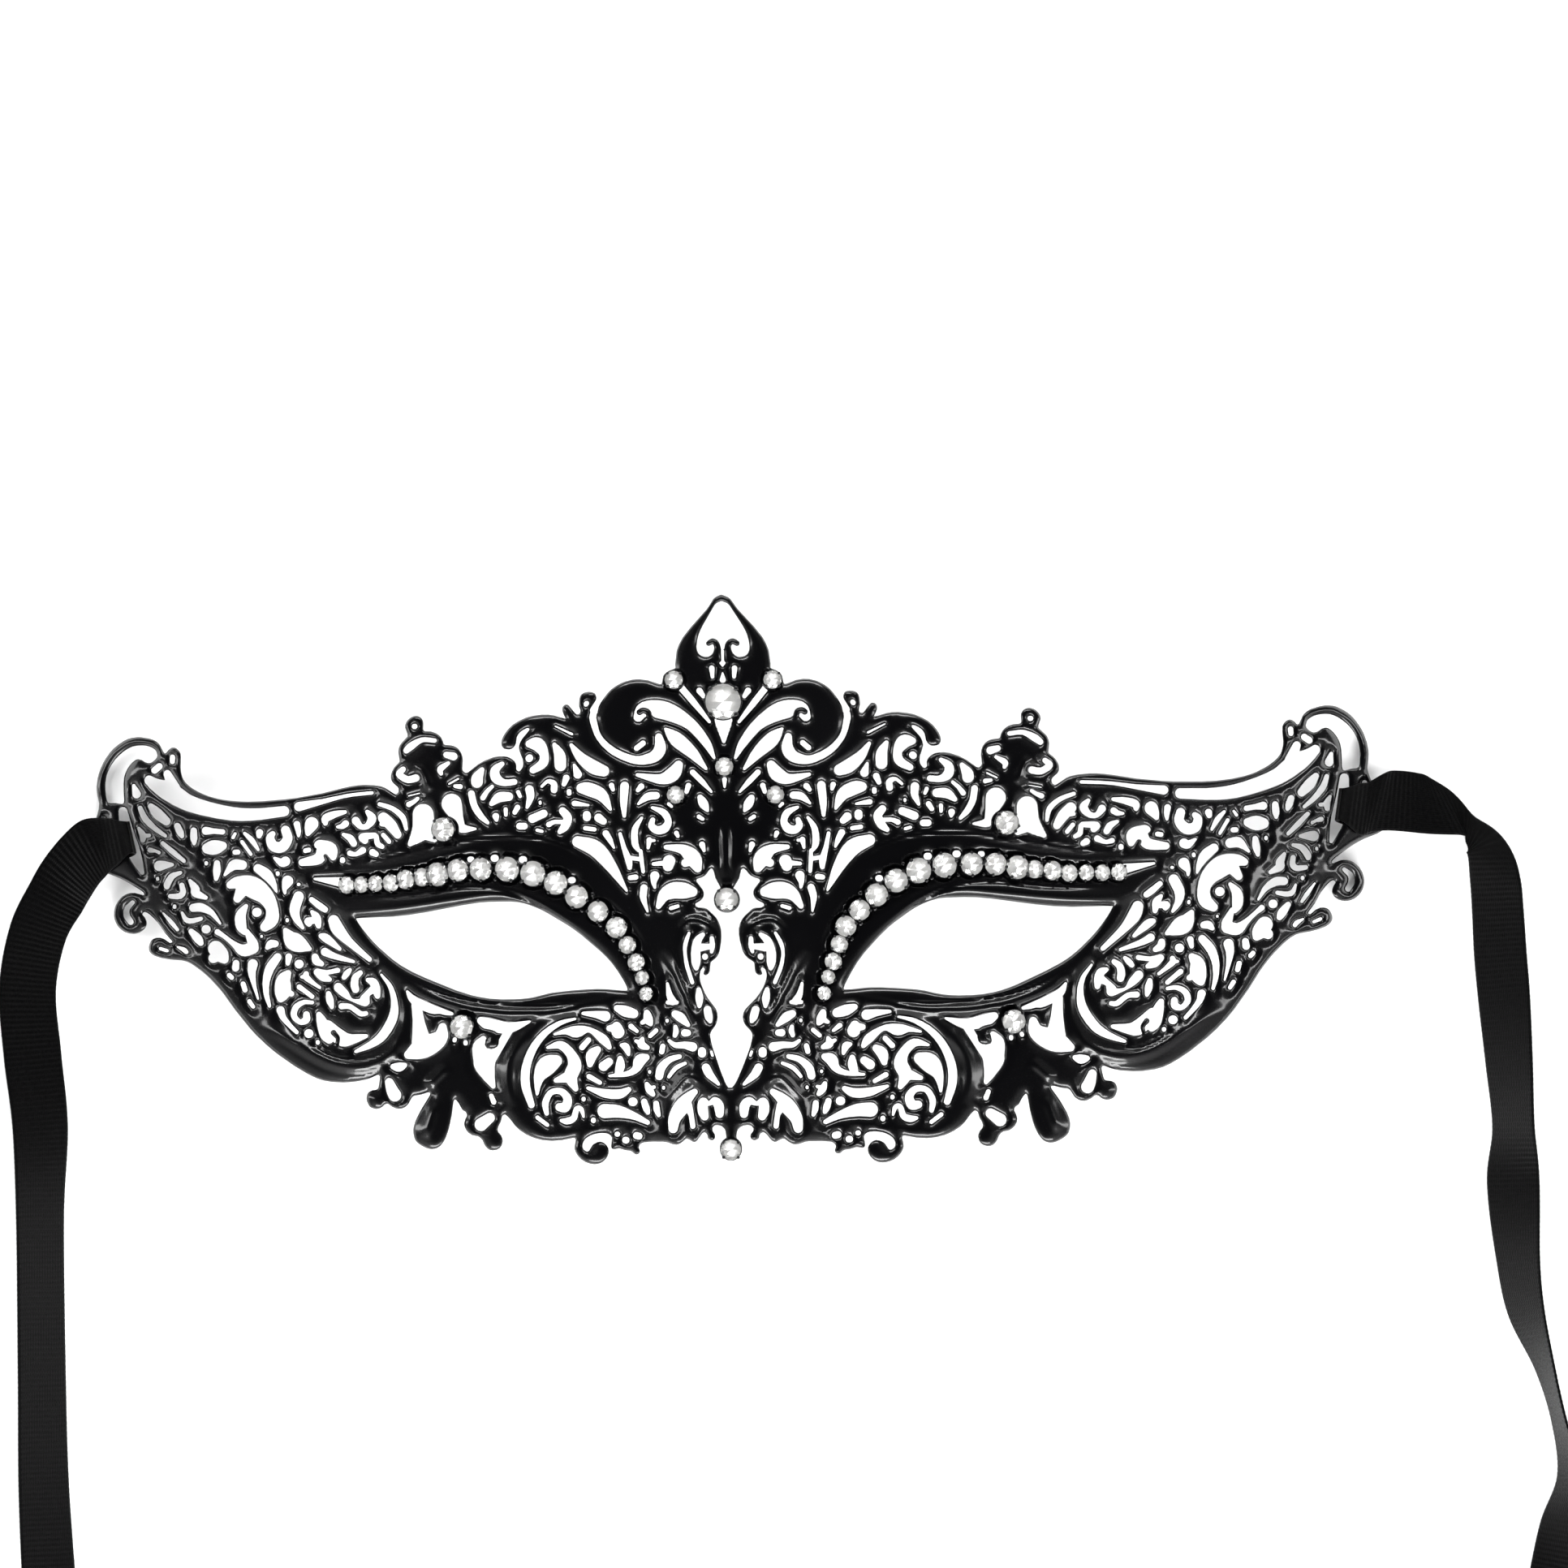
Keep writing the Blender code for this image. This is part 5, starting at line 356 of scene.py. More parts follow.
GAPS_TEMPLE = (
    ((57.5, 17.4, .33), (62, 17.1, .33), (66.5, 16.3, .45), (71, 15.6, .8)),
    ((73.7, 14.95, .9), (78, 14.65, 1), (82, 14.8, 1.15), (86, 15.65, 1.25), (90, 17.05, 1.4),
     (93, 19, 1.65), (95.2, 20.2, 1.15), (96.4, 21.1, .85)), ((92.3, 19.6, 1.1), (93.3, 22, .7)),
    ((56.2, 15.5, .38), (53.9, 14.7, .45), (52.1, 13.2, .5), (51.6, 11.3, .35)),
    ((55.6, 13.2, .95), (54.3, 12, .95), (53.2, 10.4, .7)), ((55, 12.2, .5), (56, 12.2, .4)),
    ((55.8, 10.4, .42), (54.8, 9.3, .42)),
    ((58.5, 14.3, .4), (57.7, 13.2, .75), (58.6, 12, .55), (59.8, 11.9, .5), (60.7, 12.9, .7)),
    ((57.4, 10.4, .5), (59.6, 10.2, .65), (59.2, 9.6, .6)),
    ((57.1, 10.2, .45), (56.9, 9, .5), (56.1, 8.5, .42)),
    ((63.1, 10.7, .35), (61.9, 10.1, .6), (61.3, 9.2, .6)), ((57.9, 7.6, .62), (57.3, 7.3, .5)),
    ((59.7, 8, .6), (61, 7.4, .4), (62.1, 7.6, .5)), ((63.5, 6.55, .5), (63.5, 6.45, .5)),
    ((62.6, 14.4, .35), (64.5, 14.1, .6), (66.2, 13.5, .7), (66.3, 12.7, .45)),
    ((62.6, 12.5, .6), (63.2, 12.1, .5), (64.1, 12, .3)),
    ((68.8, 12.7, 1.15), (69.2, 12, .9), (69.6, 11.1, .45)),
    ((71.5, 12.7, .6), (71.3, 11.6, .5), (71.3, 10.8, .3)),
    ((65.2, 7.1, .6), (65.6, 8.4, 1.1), (67.3, 9.1, .9), (67.9, 9.2, .65)),
    ((67.2, 8.3, .9), (67.9, 6.9, .95), (70.9, 6.4, .65)), ((69.6, 8.4, .45), (70.2, 8.3, .45)),
    ((73.6, 11.8, .8), (73.3, 10.4, .85), (74.4, 9.1, .95), (75.9, 9.3, .9), (76.4, 10.6, .75),
     (75.9, 11.3, .5)), ((73.9, 6.7, .85), (74.6, 6.5, .7), (75.8, 7.3, .3)),
    ((75.4, 4.8, .38), (75.4, 4.65, .38)), ((71.7, 2.8, .33), (71.8, 2.8, .33)),
    ((73.7, 3.4, .98), (74.3, 2.3, .5), (74.3, 1.5, .3)),
    ((71.9, .8, .9), (72.75, -1.2, .9), (72.5, -2.9, .65), (71.5, -4.4, .33)),
    ((69.6, .2, .5), (68.2, -.9, .6), (67.3, -1.5, .55)), ((78.2, 11.6, .65), (78.3, 11.1, .5)),
    ((80.8, 11.6, .32), (79.6, 10.4, .5), (78.6, 8.8, .3)), ((81.3, 10.2, .38), (79.9, 8.1, .33)),
    ((82.4, 11.6, .3), (82.8, 11, .35)), ((84.5, 12, .5), (86, 12.2, .5), (87.3, 12.3, .72)),
    ((89.3, 12.4, .6), (89.35, 11.2, .65), (89.35, 10.3, .35)),
    ((92, 13.3, .6), (91.6, 12.3, .65), (91.3, 11.6, .4)),
    ((96.3, 16.8, .55), (95.2, 15.5, .95), (93.8, 14.2, .75)),
    ((98.1, 16.6, .45), (97.4, 14.9, .58), (95.9, 13.2, .5), (94.1, 11.8, .35)),
    ((98.5, 13.3, .3), (97.9, 12.2, .6), (97.9, 11.3, .48)), ((97.6, 12, .4), (96.8, 12, .38)),
    ((94.6, 10.6, .42), (92.9, 9, .5), (91.2, 7.5, .38)),
    ((96.8, 9.6, .48), (95.9, 9.4, .3), (95.3, 9.1, .35)),
    ((93.2, 7, .35), (94.5, 7, .72), (95.4, 6.9, .92)),
    ((91.9, 5.6, .35), (93.3, 5.1, .55), (94.2, 3.9, .62), (94.3, 3.4, .52)),
    ((95.8, 4.85, .33), (95.8, 4.7, .33)),
    ((91.8, 3.5, .5), (91.65, 2.4, .55), (92.3, 1.75, .55), (93.8, 1.8, .45)),
    ((90.4, 4.2, .35), (89.6, 2.9, .75), (89.5, 2.1, .75), (87.9, 1.3, .4)),
    ((93.2, .1, .38), (93.2, 0, .38)), ((84.6, 9.7, .75), (86, 9.5, 1.25), (87.2, 9.4, .92)),
    ((82.1, 8.55, .48), (82.6, 8.55, .48)),
    ((81.5, 6.4, .85), (82.8, 6.5, .9), (83.7, 5.8, .58), (84.5, 4.9, .3)),
    ((85.7, 6.9, .55), (85.8, 5.6, .7), (86, 4.3, .4)), ((87.5, 7, .38), (87.5, 6.9, .38)),
    ((78.8, 5.7, .8), (77.3, 4.6, .92), (76.3, 3.1, .6), (75.8, 1.8, .25)),
    ((78.2, -4, .8), (76.9, -2.8, 1.15), (76.8, -.8, 1.1), (77.9, 1.2, 1.45), (80, 2.7, 1.8),
     (82.3, 3.5, 1.1), (83.7, 3.2, .68)), ((81.8, 2.2, 1.1), (82.6, .9, .72)),
    ((99, 20.3, .38), (98.6, 18.95, .78)), ((92.35, 24.7, .5), (92.4, 24, .48)),
    ((94.6, 23.3, .6), (95.4, 22.7, .62)),
    ((101, 16.2, .8), (100.5, 12.8, 1.15), (99.45, 9.2, 1.15), (98.3, 5.9, .4)),
    ((104.35, 15.2, .5), (104.6, 12.5, .8), (104.5, 9.8, .8)),
)
GAPS_SIDE = (
    ((79.35, -1.5, .8), (79.45, -1.5, .8)),
    ((81.2, -.4, .4), (82.2, -1.9, .9), (82.2, -3.6, .95), (81.7, -4.8, .45)),
    ((81.3, -4.6, .45), (80.4, -6.6, .9), (80.4, -7.5, 1)),
    ((80.4, -7.4, 1.05), (82, -7.8, 1), (83.5, -6.7, .55), (85, -5.4, .4), (86.2, -4.5, .55)),
    ((76.5, -6.9, .62), (77.3, -6.9, .7), (77.9, -7.5, .42)), ((78.8, -5.6, .28), (78.8, -5.5, .28)),
    ((76.2, -9.2, .72), (77.6, -11, .8), (78.3, -13.2, .65), (78.3, -15.4, .5), (77.8, -17.4, .33)),
    ((80.5, -10.2, .88), (80.7, -11.5, .72), (80.4, -13.6, .42), (79.75, -16.1, .22)),
    ((83.3, -9.9, .6), (83.4, -10.7, .66)), ((84.5, -11.9, .45), (84.1, -12.3, .45)),
    ((82.2, -13.5, .48), (81.9, -14.5, .48)), ((81.2, -16.5, .43), (80.6, -17.4, .38)),
    ((86.6, -7.3, 1.35), (85.8, -8.3, 1.3), (85.2, -9.2, .72)), ((86.2, -8.5, .9), (87.1, -8.9, .85)),
    ((88.05, -3.95, .76), (88.15, -3.95, .76)), ((90.6, -4.2, .53), (89.6, -5.4, .78), (89.1, -6.2, .55)),
    ((90.1, -.3, .72), (88.7, -.3, .76), (87, -1.3, .52), (85.7, -3.1, .25)),
    ((88.9, -2.15, .4), (90.4, -2.45, .48), (91.4, -2.2, .48), (92, -1, .28)),
    ((95.2, -.9, .2), (93.9, -2.5, .43), (92.9, -3.8, .33)),
    ((100.2, 1.1, .4), (101.2, .1, .52), (101.3, -1.1, .58), (100.7, -2.1, .56)),
    ((94.8, -7.25, .33), (95.9, -6.85, .33)), ((93, -6.7, .22), (92, -7.2, .43), (91.6, -7.6, .43)),
    ((65.8, -3.4, .95), (65.1, -4.9, 1.1), (63.2, -7.1, .72), (59.8, -10.1, .45)),
    ((68.2, -5.9, .5), (67.2, -6.4, .75), (65, -8.2, .36)),
    ((67.7, -8.6, .72), (66, -9.4, .55), (62.7, -10.4, .33)),
    ((69.5, -9.4, .62), (69.3, -10.1, .7), (68.4, -10.6, .48)),
    ((69.7, -1.8, .35), (68.9, -2.8, .72), (68.6, -4.2, .48)),
    ((68.9, -3.3, .55), (70.5, -3.3, .62), (70.3, -3.8, .5)),
    ((74.6, -4.7, .46), (73.7, -6.2, 1.25), (72.7, -6.9, 1.5), (70.4, -8, .38)),
    ((74.2, -2.95, .34), (74.2, -3.1, .34)), ((72.35, -10.5, .76), (72.45, -10.5, .76)),
    ((74.2, -9.2, .62), (74.4, -10.3, .43)),
    ((74.4, -12, .58), (75.3, -13.2, 1.2), (75.4, -14.9, 1.4), (75.8, -16.2, .7)),
    ((75, -15, .7), (73.9, -15.5, .5)),
    ((71.2, -12.2, .5), (71.2, -12.8, .58), (69.9, -13.9, .38), (68.9, -14.6, .33)),
    ((71.2, -12.7, .4), (72, -12.7, .33)), ((70.3, -16.1, .43), (71.8, -14.9, .45), (72.5, -14.4, .5)),
    ((65.6, -11.8, .48), (67.5, -12.1, .43), (69.2, -12, .66)),
    ((69, -12.2, .66), (68.2, -12.8, .8), (67.1, -13.3, .43)),
    ((63.4, -11.8, .38), (64, -12.4, .56), (64.5, -13, .48)),
    ((61.6, -12.35, .48), (62.5, -13.1, .62), (62.75, -14.3, .7), (62.6, -15.1, .66)),
    ((60.3, -13.6, .42), (59.4, -14, .72), (59, -15, .76), (58.8, -16.3, .52)),
    ((59.3, -15.1, .76), (60.5, -15.9, .52), (61.1, -16.9, .85), (61.2, -17.3, .72), (63.3, -16.9, .3),
     (64.6, -15.7, .72), (65.6, -14.7, .8)),
    ((57.9, -12.75, .25), (56.45, -14.8, .43), (55.95, -17.2, .58), (56.4, -20, .8), (58.3, -22.9, .8),
     (60.4, -24.4, .62), (63.1, -25.5, .32)),
    ((61, -19.2, .43), (62, -19.2, .48), (63.7, -18, .48), (65.2, -17.9, .56)),
    ((67.4, -15.7, .48), (67.2, -16.8, .68), (66.9, -18, .38)),
    ((69.2, -19.2, .52), (68.7, -20.6, .95), (68.2, -22.5, 1), (67.6, -23.4, .72)),
    ((67.8, -21.2, 1.05), (65.6, -23.2, 1.3), (64, -23.5, .95), (61.2, -23, .38)),
    ((70.3, -17.1, .35), (71.8, -17, .43), (73.2, -17.8, .55), (73.6, -19.2, .55), (72.6, -20.3, .48),
     (71.5, -20, .66), (71.4, -19.1, .6)),
    ((75.9, -18.2, .72), (75.5, -19.4, .56), (74.3, -20.9, .43), (73.2, -22, .38)),
    ((71.05, -22.3, .76), (71.15, -22.3, .76)), ((69.6, -23.75, .4), (69.6, -23.85, .4)),
    ((34, -20.9, .25), (37.5, -21.9, .95), (40.5, -21.3, 1.05), (41.9, -20.7, .66)),
    ((37.2, -21.8, .8), (38.4, -24, .7), (40, -26.2, .9), (41.6, -27.2, 1.85), (41.2, -29.4, 1.2),
     (40.35, -31.5, .43)), ((41.6, -23.7, .52), (42.4, -25, 1.05), (41.9, -27, 1.6)),
    ((53.6, -15.7, .28), (52.6, -17.2, .72), (50, -18.6, .8), (46.6, -19.5, .33)),
    ((52.3, -18, .85), (52.1, -21, 1.05), (51.8, -24.6, 1.75)),
    ((48.2, -21.7, .72), (48.8, -23.6, 1.3), (51.5, -25, 1.8), (54.2, -26.2, .72)),
    ((44.55, -24.25, .42), (44.55, -24.4, .42)), ((46.3, -23.75, .4), (46.35, -23.9, .4)),
    ((40.7, -33.1, .43), (40.3, -34.1, .48)), ((41, -36.7, .85), (42.5, -37.8, 1.1)),
    ((54.9, -27.9, .43), (55.9, -28.2, .8), (56.9, -28.1, .48)),
    ((57.7, -30.7, .76), (57.3, -32, 1), (56.9, -32.8, 1.1)),
)
GAPS_CHEEK = (
    ((26.4, -20.5, .25), (29, -21.2, .43), (31.6, -22.9, .58), (33.6, -25.4, .68), (34.8, -28.5, .76),
     (34.9, -31.5, .76), (34, -34.6, .58)),
    ((20.7, -25.2, .43), (21.7, -23.9, .8), (24, -22.3, .48), (26.2, -22.6, 1), (28, -22.55, .52),
     (29.9, -23, .25)), ((24.2, -24, .48), (25.3, -25.2, .52)),
    ((22.7, -25.6, .62), (23.7, -26.5, .95), (24, -28, .52)),
    ((31.1, -25.2, .28), (28.9, -24.8, .72), (27.2, -26.3, .85), (26.6, -28.2, 1.15), (27.3, -30, 1.1),
     (26.5, -32, .48)), ((27.3, -29.9, 1.05), (29.8, -30.6, .43)),
    ((29.7, -27.4, 1), (31.3, -28.2, 1.6), (32.5, -29.8, 1), (32.9, -31.4, .58), (33, -32.8, .3)),
    ((31.45, -36, .43), (31.65, -34.3, .58), (30.7, -32.6, .52), (29, -32.4, .58), (27.9, -33.6, .72),
     (28.3, -35, .85), (29.3, -35, .7)),
    ((25.25, -36.6, .25), (25.6, -35.4, .43), (26.4, -35.3, .48), (26.9, -36.8, .56), (28, -37.3, .6),
     (29, -37.2, .33)), ((33, -36.7, .4), (31.4, -37.9, .38)), ((25.2, -33.65, .4), (25.2, -33.75, .4)),
    ((23.6, -37.15, .46), (23.6, -37.25, .46)), ((3.5, -7.4, .42), (3.5, -8.6, .48), (3.7, -9.6, .33)),
    ((3.6, -8.7, .46), (5.6, -8.9, .7)),
    ((5, -6.8, .42), (6, -7.8, .7), (6.5, -9.5, .8), (6.5, -11.2, .8), (6.4, -12.3, .42)),
    ((4.9, -10.35, .52), (4.9, -10.45, .52)),
    ((7.25, -6.55, .3), (8.05, -8.2, .4), (8.35, -9.8, .33), (8, -12, .38), (7, -14.6, .38)),
    ((5.8, -15.8, .43), (5.6, -17.2, .7), (5.5, -18.5, .38)),
    ((4, -19.1, .68), (3.7, -20.2, .7), (3.4, -21, .38)),
    ((11.2, -14.8, .28), (10.8, -16.6, .55), (10.2, -17.7, .7)), ((9.5, -17.9, .38), (11, -17.9, .38)),
    ((9.6, -19.8, .66), (8.6, -20.4, .8), (7.3, -21.6, .38)), ((10.9, -20.85, .33), (10.9, -20.95, .33)),
    ((7.4, -22.9, .58), (7.9, -22.9, .66)), ((9.5, -21.9, .38), (9.4, -22.6, .5), (9.6, -23.3, .43)),
    ((14.4, -19.6, .56), (14.1, -20.6, .8), (13.7, -21.4, .43)), ((14.4, -20.8, .5), (15.1, -21.2, .38)),
    ((12.8, -22.5, .42), (13.8, -23.4, .4)), ((16.6, -19.7, .8), (18, -19.3, .95), (19.4, -18.8, .56)),
    ((21.3, -20.1, .9), (22.8, -19.8, .62), (25, -19.6, .33)), ((17, -21.8, .48), (16, -22.6, .33)),
    ((19.4, -21.8, .8), (19.2, -22.7, 1.1)), ((19.6, -22.1, .8), (20.6, -22.1, .56)),
    ((15.1, -23.8, .33), (15.3, -24.8, .7), (14.3, -25.3, .43)), ((15.4, -24.6, .5), (16.2, -24.2, .33)),
    ((18.6, -24.9, .38), (17.9, -25.2, .66), (17.5, -26.4, .33)),
    ((6.6, -25.2, .8), (8, -24.9, .62), (9.6, -24.9, .48), (10.6, -24.2, .33)),
    ((11.7, -25.1, .48), (11.9, -26, .48)), ((4.95, -25.9, .7), (4.95, -26.3, .7)),
    ((3.3, -26, .28), (3.1, -26.6, .28)), ((4.3, -28.6, .72), (3.7, -29.7, .7), (2.1, -31.3, .3)),
    ((8.9, -26.8, .43), (10.6, -27.3, .56), (12, -28.6, .72), (12.4, -30, .7)),
    ((7.95, -27.9, .33), (9.6, -28.7, .4), (10.75, -30.1, .33)), ((14, -29.25, .32), (14, -29.35, .32)),
    ((14.5, -26.9, .56), (15.6, -27.4, 1), (16.3, -28.8, .68), (17.8, -29.6, .48), (20.7, -29.9, .28)),
    ((18.9, -27.1, .5), (18.9, -28.2, .8), (19.2, -29.4, .7)), ((20.8, -27.6, .7), (21.7, -28.3, .85)),
    ((24.2, -30, .48), (22.4, -31, .4)),
    ((17.6, -32.2, .48), (19.1, -32.9, .8), (21.5, -32.8, .75), (24.4, -31.9, .33)),
    ((14.5, -31.3, .4), (14.1, -32.2, .66), (13.5, -33, .42)), ((13.9, -32, .4), (13.3, -31.8, .33)),
    ((11.7, -31.85, .32), (11.7, -31.95, .32)), ((13, -34.5, .52), (12.9, -35.5, .56), (12.6, -36.4, .38)),
    ((15, -34.2, .56), (14.7, -35.2, .62), (14.4, -36, .38)), ((16.85, -34.2, .76), (16.95, -34.2, .76)),
    ((14.5, -37.6, .43), (16.8, -36.5, .66), (19.5, -35.75, 1.05), (21.7, -35.7, 1.2)),
    ((6.4, -32.6, .56), (7.8, -33.8, .95), (8.8, -35.2, 1.3), (9.9, -36.9, 1.05), (10.2, -38.6, .8)),
    ((7.9, -34.6, 1), (7.1, -36.2, .5), (6.8, -38.2, .48)),
    ((2, -36.2, .7), (2.1, -34.9, .85), (2.8, -34.1, .7), (3.9, -34.5, .4), (4.9, -34.3, .8),
     (5, -35.6, .9), (4.7, -36.6, .7)), ((16, -39.85, .62), (16.4, -39.75, .62)),
    ((18.15, -40.5, .6), (18.25, -40.5, .6)), ((19.55, -39.5, .46), (19.65, -39.5, .46)),
)

# Tongues and seats of metal left standing in a gap.
TONGUES = (
    ((.75, 38.4, .5), (.8, 40, .5), (1, 41, .48), (1.6, 41.45, .45), (2.3, 41.1, .4)),
    ((9.5, 27.8, .45), (11.2, 28.8, .45), (11.6, 29.8, .45), (12.3, 30.1, .45), (12.8, 29.8, .45)),
    ((66.1, 6, .3), (66.6, 7.3, .3)), ((66.3, -24.4, .3), (66.1, -23.2, .33), (66.8, -22.3, .43)),
    ((42.8, -22.3, .45), (40.9, -22.5, .4), (39.9, -23.2, .7), (40.2, -24.2, 1.1)),
    ((46.4, -20.9, .4), (47.8, -20.2, .42), (49, -20.2, .7), (49.9, -21, 1.05)),
    ((0, -.2, 1.1), (0, .9, .95), (0, 3, 1.2)), ((0, -1.1, 2.05), (0, -1, 2.05)),
    ((0, -42, 1.8), (0, -41.8, 1.8)), ((44.65, -21.7, 2.05), (44.65, -21.6, 2.05)),
    ((44.65, 11.05, 2.2), (44.65, 11, 2.2)), ((7.7, 35, 1.65), (7.7, 34.9, 1.65)),
)

# Raised lines pressed into the sheet, as rows of (out, up) with a height share and a half width.
RIDGES = (
    (1.0, 2.2, ((19.4, -9.3), (25, -4.9), (30, -1.5), (36, .4), (44, -.3), (50, -.9), (56, -1.5),
                (62, -1.7), (66, -.6), (69, 1.9))),
    (.7, 1.2, ((38, 7.6), (44, 7.2), (49, 5.9), (55, 5.1), (62, 4.4))),
    (.9, 1.3, ((19.4, -17.5), (25, -18.5), (30, -19.4), (36, -19.6), (42, -19.1), (50, -16.8),
               (55.3, -13.3))),
    (.9, 1.0, ((2.9, -5.9), (5, -4.6), (7, -4.4), (8.8, -6.2))),
    (1.0, 1.3, ((12.2, -9.5), (9.5, -15), (6.3, -21.5))),
    (.7, 1.0, ((20, .2), (16.5, -4.5), (14.2, -10))),
    (.9, 1.0, ((5.5, -31), (7, -30.1), (8.6, -30.8), (10.8, -33.8))),
    (1.1, 1.6, ((34.5, -22.7), (37.3, -27), (37.8, -31), (36.8, -35))),
    (1.0, 1.6, ((54.5, -21), (57, -25.5), (62, -27.8), (68, -27), (75, -22.8), (79.5, -20.3))),
    (.9, 1.4, ((47.6, -28), (51.5, -31.5))),
    (1.0, 1.6, ((50, -34), (51, -37), (52, -40))),
    (1.0, 1.3, ((49, 22), (46.7, 17.3))),
    (.9, 1.6, ((0, 12), (0, 7), (0, 2.5))),
)




def ease(t):
    """A smooth step from 0 to 1."""
    t = min(max(t, 0.0), 1.0)
    return t * t * (3 - 2 * t)


def chart_to_plane(side, out, up):
    """World x and y of a chart point on one side; the photographed mask leans and lies a little askew."""
    x = side * out * ACROSS - AXIS_LEAN * up * UPWARD
    skew = SKEW_HIGH + (SKEW_LOW - SKEW_HIGH) * ease((SKEW_TOP - up) / SKEW_SPAN)
    x += skew * out / (out + SKEW_REACH)
    y = up * UPWARD + side * TEMPLE_LIFT * (out / CHART_OUT) ** 2
    if side < 0:
        spread = ease(out / 24) * (1 - ease((out - 40) / 44))
        x -= spread * (LEFT_SPREAD_LOW + (LEFT_SPREAD_HIGH - LEFT_SPREAD_LOW) * ease((up + 20) / 25))
        x += LEFT_NOSE_INSET * max(0.0, 1 - math.hypot((out - 10) / 26, (up + 10) / 11))
        x -= LEFT_SIDE_SPREAD * max(0.0, 1 - math.hypot((out - 55) / 24, (up + 16) / 18))
        y += LEFT_LOW_RISE * ease((out - 20) / 52) * ease(-up / 25)
    return x, y


def catmull(points, steps, closed=False):
    """Points along a Catmull-Rom curve through the given rows, of any number of columns."""
    rows = [np.array(p, dtype=float) for p in points]
    count = len(rows)
    if count == 1:
        return [rows[0]]
    line = []
    for i in range(count if closed else count - 1):
        if closed:
            a, b, c, d = (rows[(i + k - 1) % count] for k in range(4))
        else:
            b, c = rows[i], rows[i + 1]
            a = rows[i - 1] if i > 0 else b
            d = rows[i + 2] if i + 2 < count else c
        for k in range(steps):
            t = k / steps
            line.append(0.5 * (2 * b + (c - a) * t + (2 * a - 5 * b + 4 * c - d) * t ** 2
                               + (3 * b - a - 3 * c + d) * t ** 3))
    if not closed:
        line.append(rows[-1])
    return line


class Field:
    """A signed distance on a flat grid: negative in metal."""

    def __init__(self, low, high, pitch):
        self.pitch = pitch
        self.xs = np.arange(low[0], high[0] + pitch, pitch)
        self.ys = np.arange(low[1], high[1] + pitch, pitch)
        self.value = np.full((len(self.ys), len(self.xs)), FAR)

    def window(self, low, high):
        """The grid cells of a box, as slices with their coordinates."""
        i0 = max(int((low[0] - self.xs[0]) / self.pitch), 0)
        i1 = min(int((high[0] - self.xs[0]) / self.pitch) + 2, len(self.xs))
        j0 = max(int((low[1] - self.ys[0]) / self.pitch), 0)
        j1 = min(int((high[1] - self.ys[0]) / self.pitch) + 2, len(self.ys))
        cells = (slice(j0, j1), slice(i0, i1))
        gx, gy = np.meshgrid(self.xs[i0:i1], self.ys[j0:j1])
        return cells, gx, gy

    def lower_to_edge(self, points):
        """Lower the value to the distance from a closed outline, and return the inside mask."""
        inside = np.zeros(self.value.shape, dtype=bool)
        count = len(points)
        for k in range(count):
            ax, ay = points[k]
            bx, by = points[(k + 1) % count]
            cells, gx, gy = self.window((min(ax, bx) - REACH, min(ay, by) - REACH),
                                        (max(ax, bx) + REACH, max(ay, by) + REACH))
            dx, dy = bx - ax, by - ay
            span = dx * dx + dy * dy
            if span > 0:
                t = np.clip(((gx - ax) * dx + (gy - ay) * dy) / span, 0, 1)
                gap = np.hypot(gx - ax - t * dx, gy - ay - t * dy)
                self.value[cells] = np.minimum(self.value[cells], gap)
            if ay != by:
                rows = np.nonzero((self.ys >= min(ay, by)) & (self.ys < max(ay, by)))[0]
                cross = ax + (self.ys[rows] - ay) * dx / dy
                start = np.searchsorted(self.xs, cross)
                for row, first in zip(rows, start):
                    inside[row, first:] ^= True
        return inside

    def lower_to_spine(self, stations):
        """Lower the value to the distance from a swept disc of changing radius."""
        for (ax, ay, ar), (bx, by, br) in zip(stations[:-1], stations[1:]):
            wide = max(ar, br) + REACH
            cells, gx, gy = self.window((min(ax, bx) - wide, min(ay, by) - wide),
                                        (max(ax, bx) + wide, max(ay, by) + wide))
            dx, dy = bx - ax, by - ay
            span = max(dx * dx + dy * dy, 1e-18)
            t = np.clip(((gx - ax) * dx + (gy - ay) * dy) / span, 0, 1)
            gap = np.hypot(gx - ax - t * dx, gy - ay - t * dy) - (ar + (br - ar) * t)
            self.value[cells] = np.minimum(self.value[cells], gap)


def outline_points(side, rows, closed, steps):
    """A chart outline as a smooth line of world points."""
    return [chart_to_plane(side, max(p[0], 0.0), p[1]) for p in catmull(rows, steps, closed)]


def spine_stations(side, rows, steps):
    """A chart spine as a smooth line of world points with radii."""
    return [chart_to_plane(side, p[0], p[1]) + (max(p[2], 0.05) * ACROSS,) for p in catmull(rows, steps)]


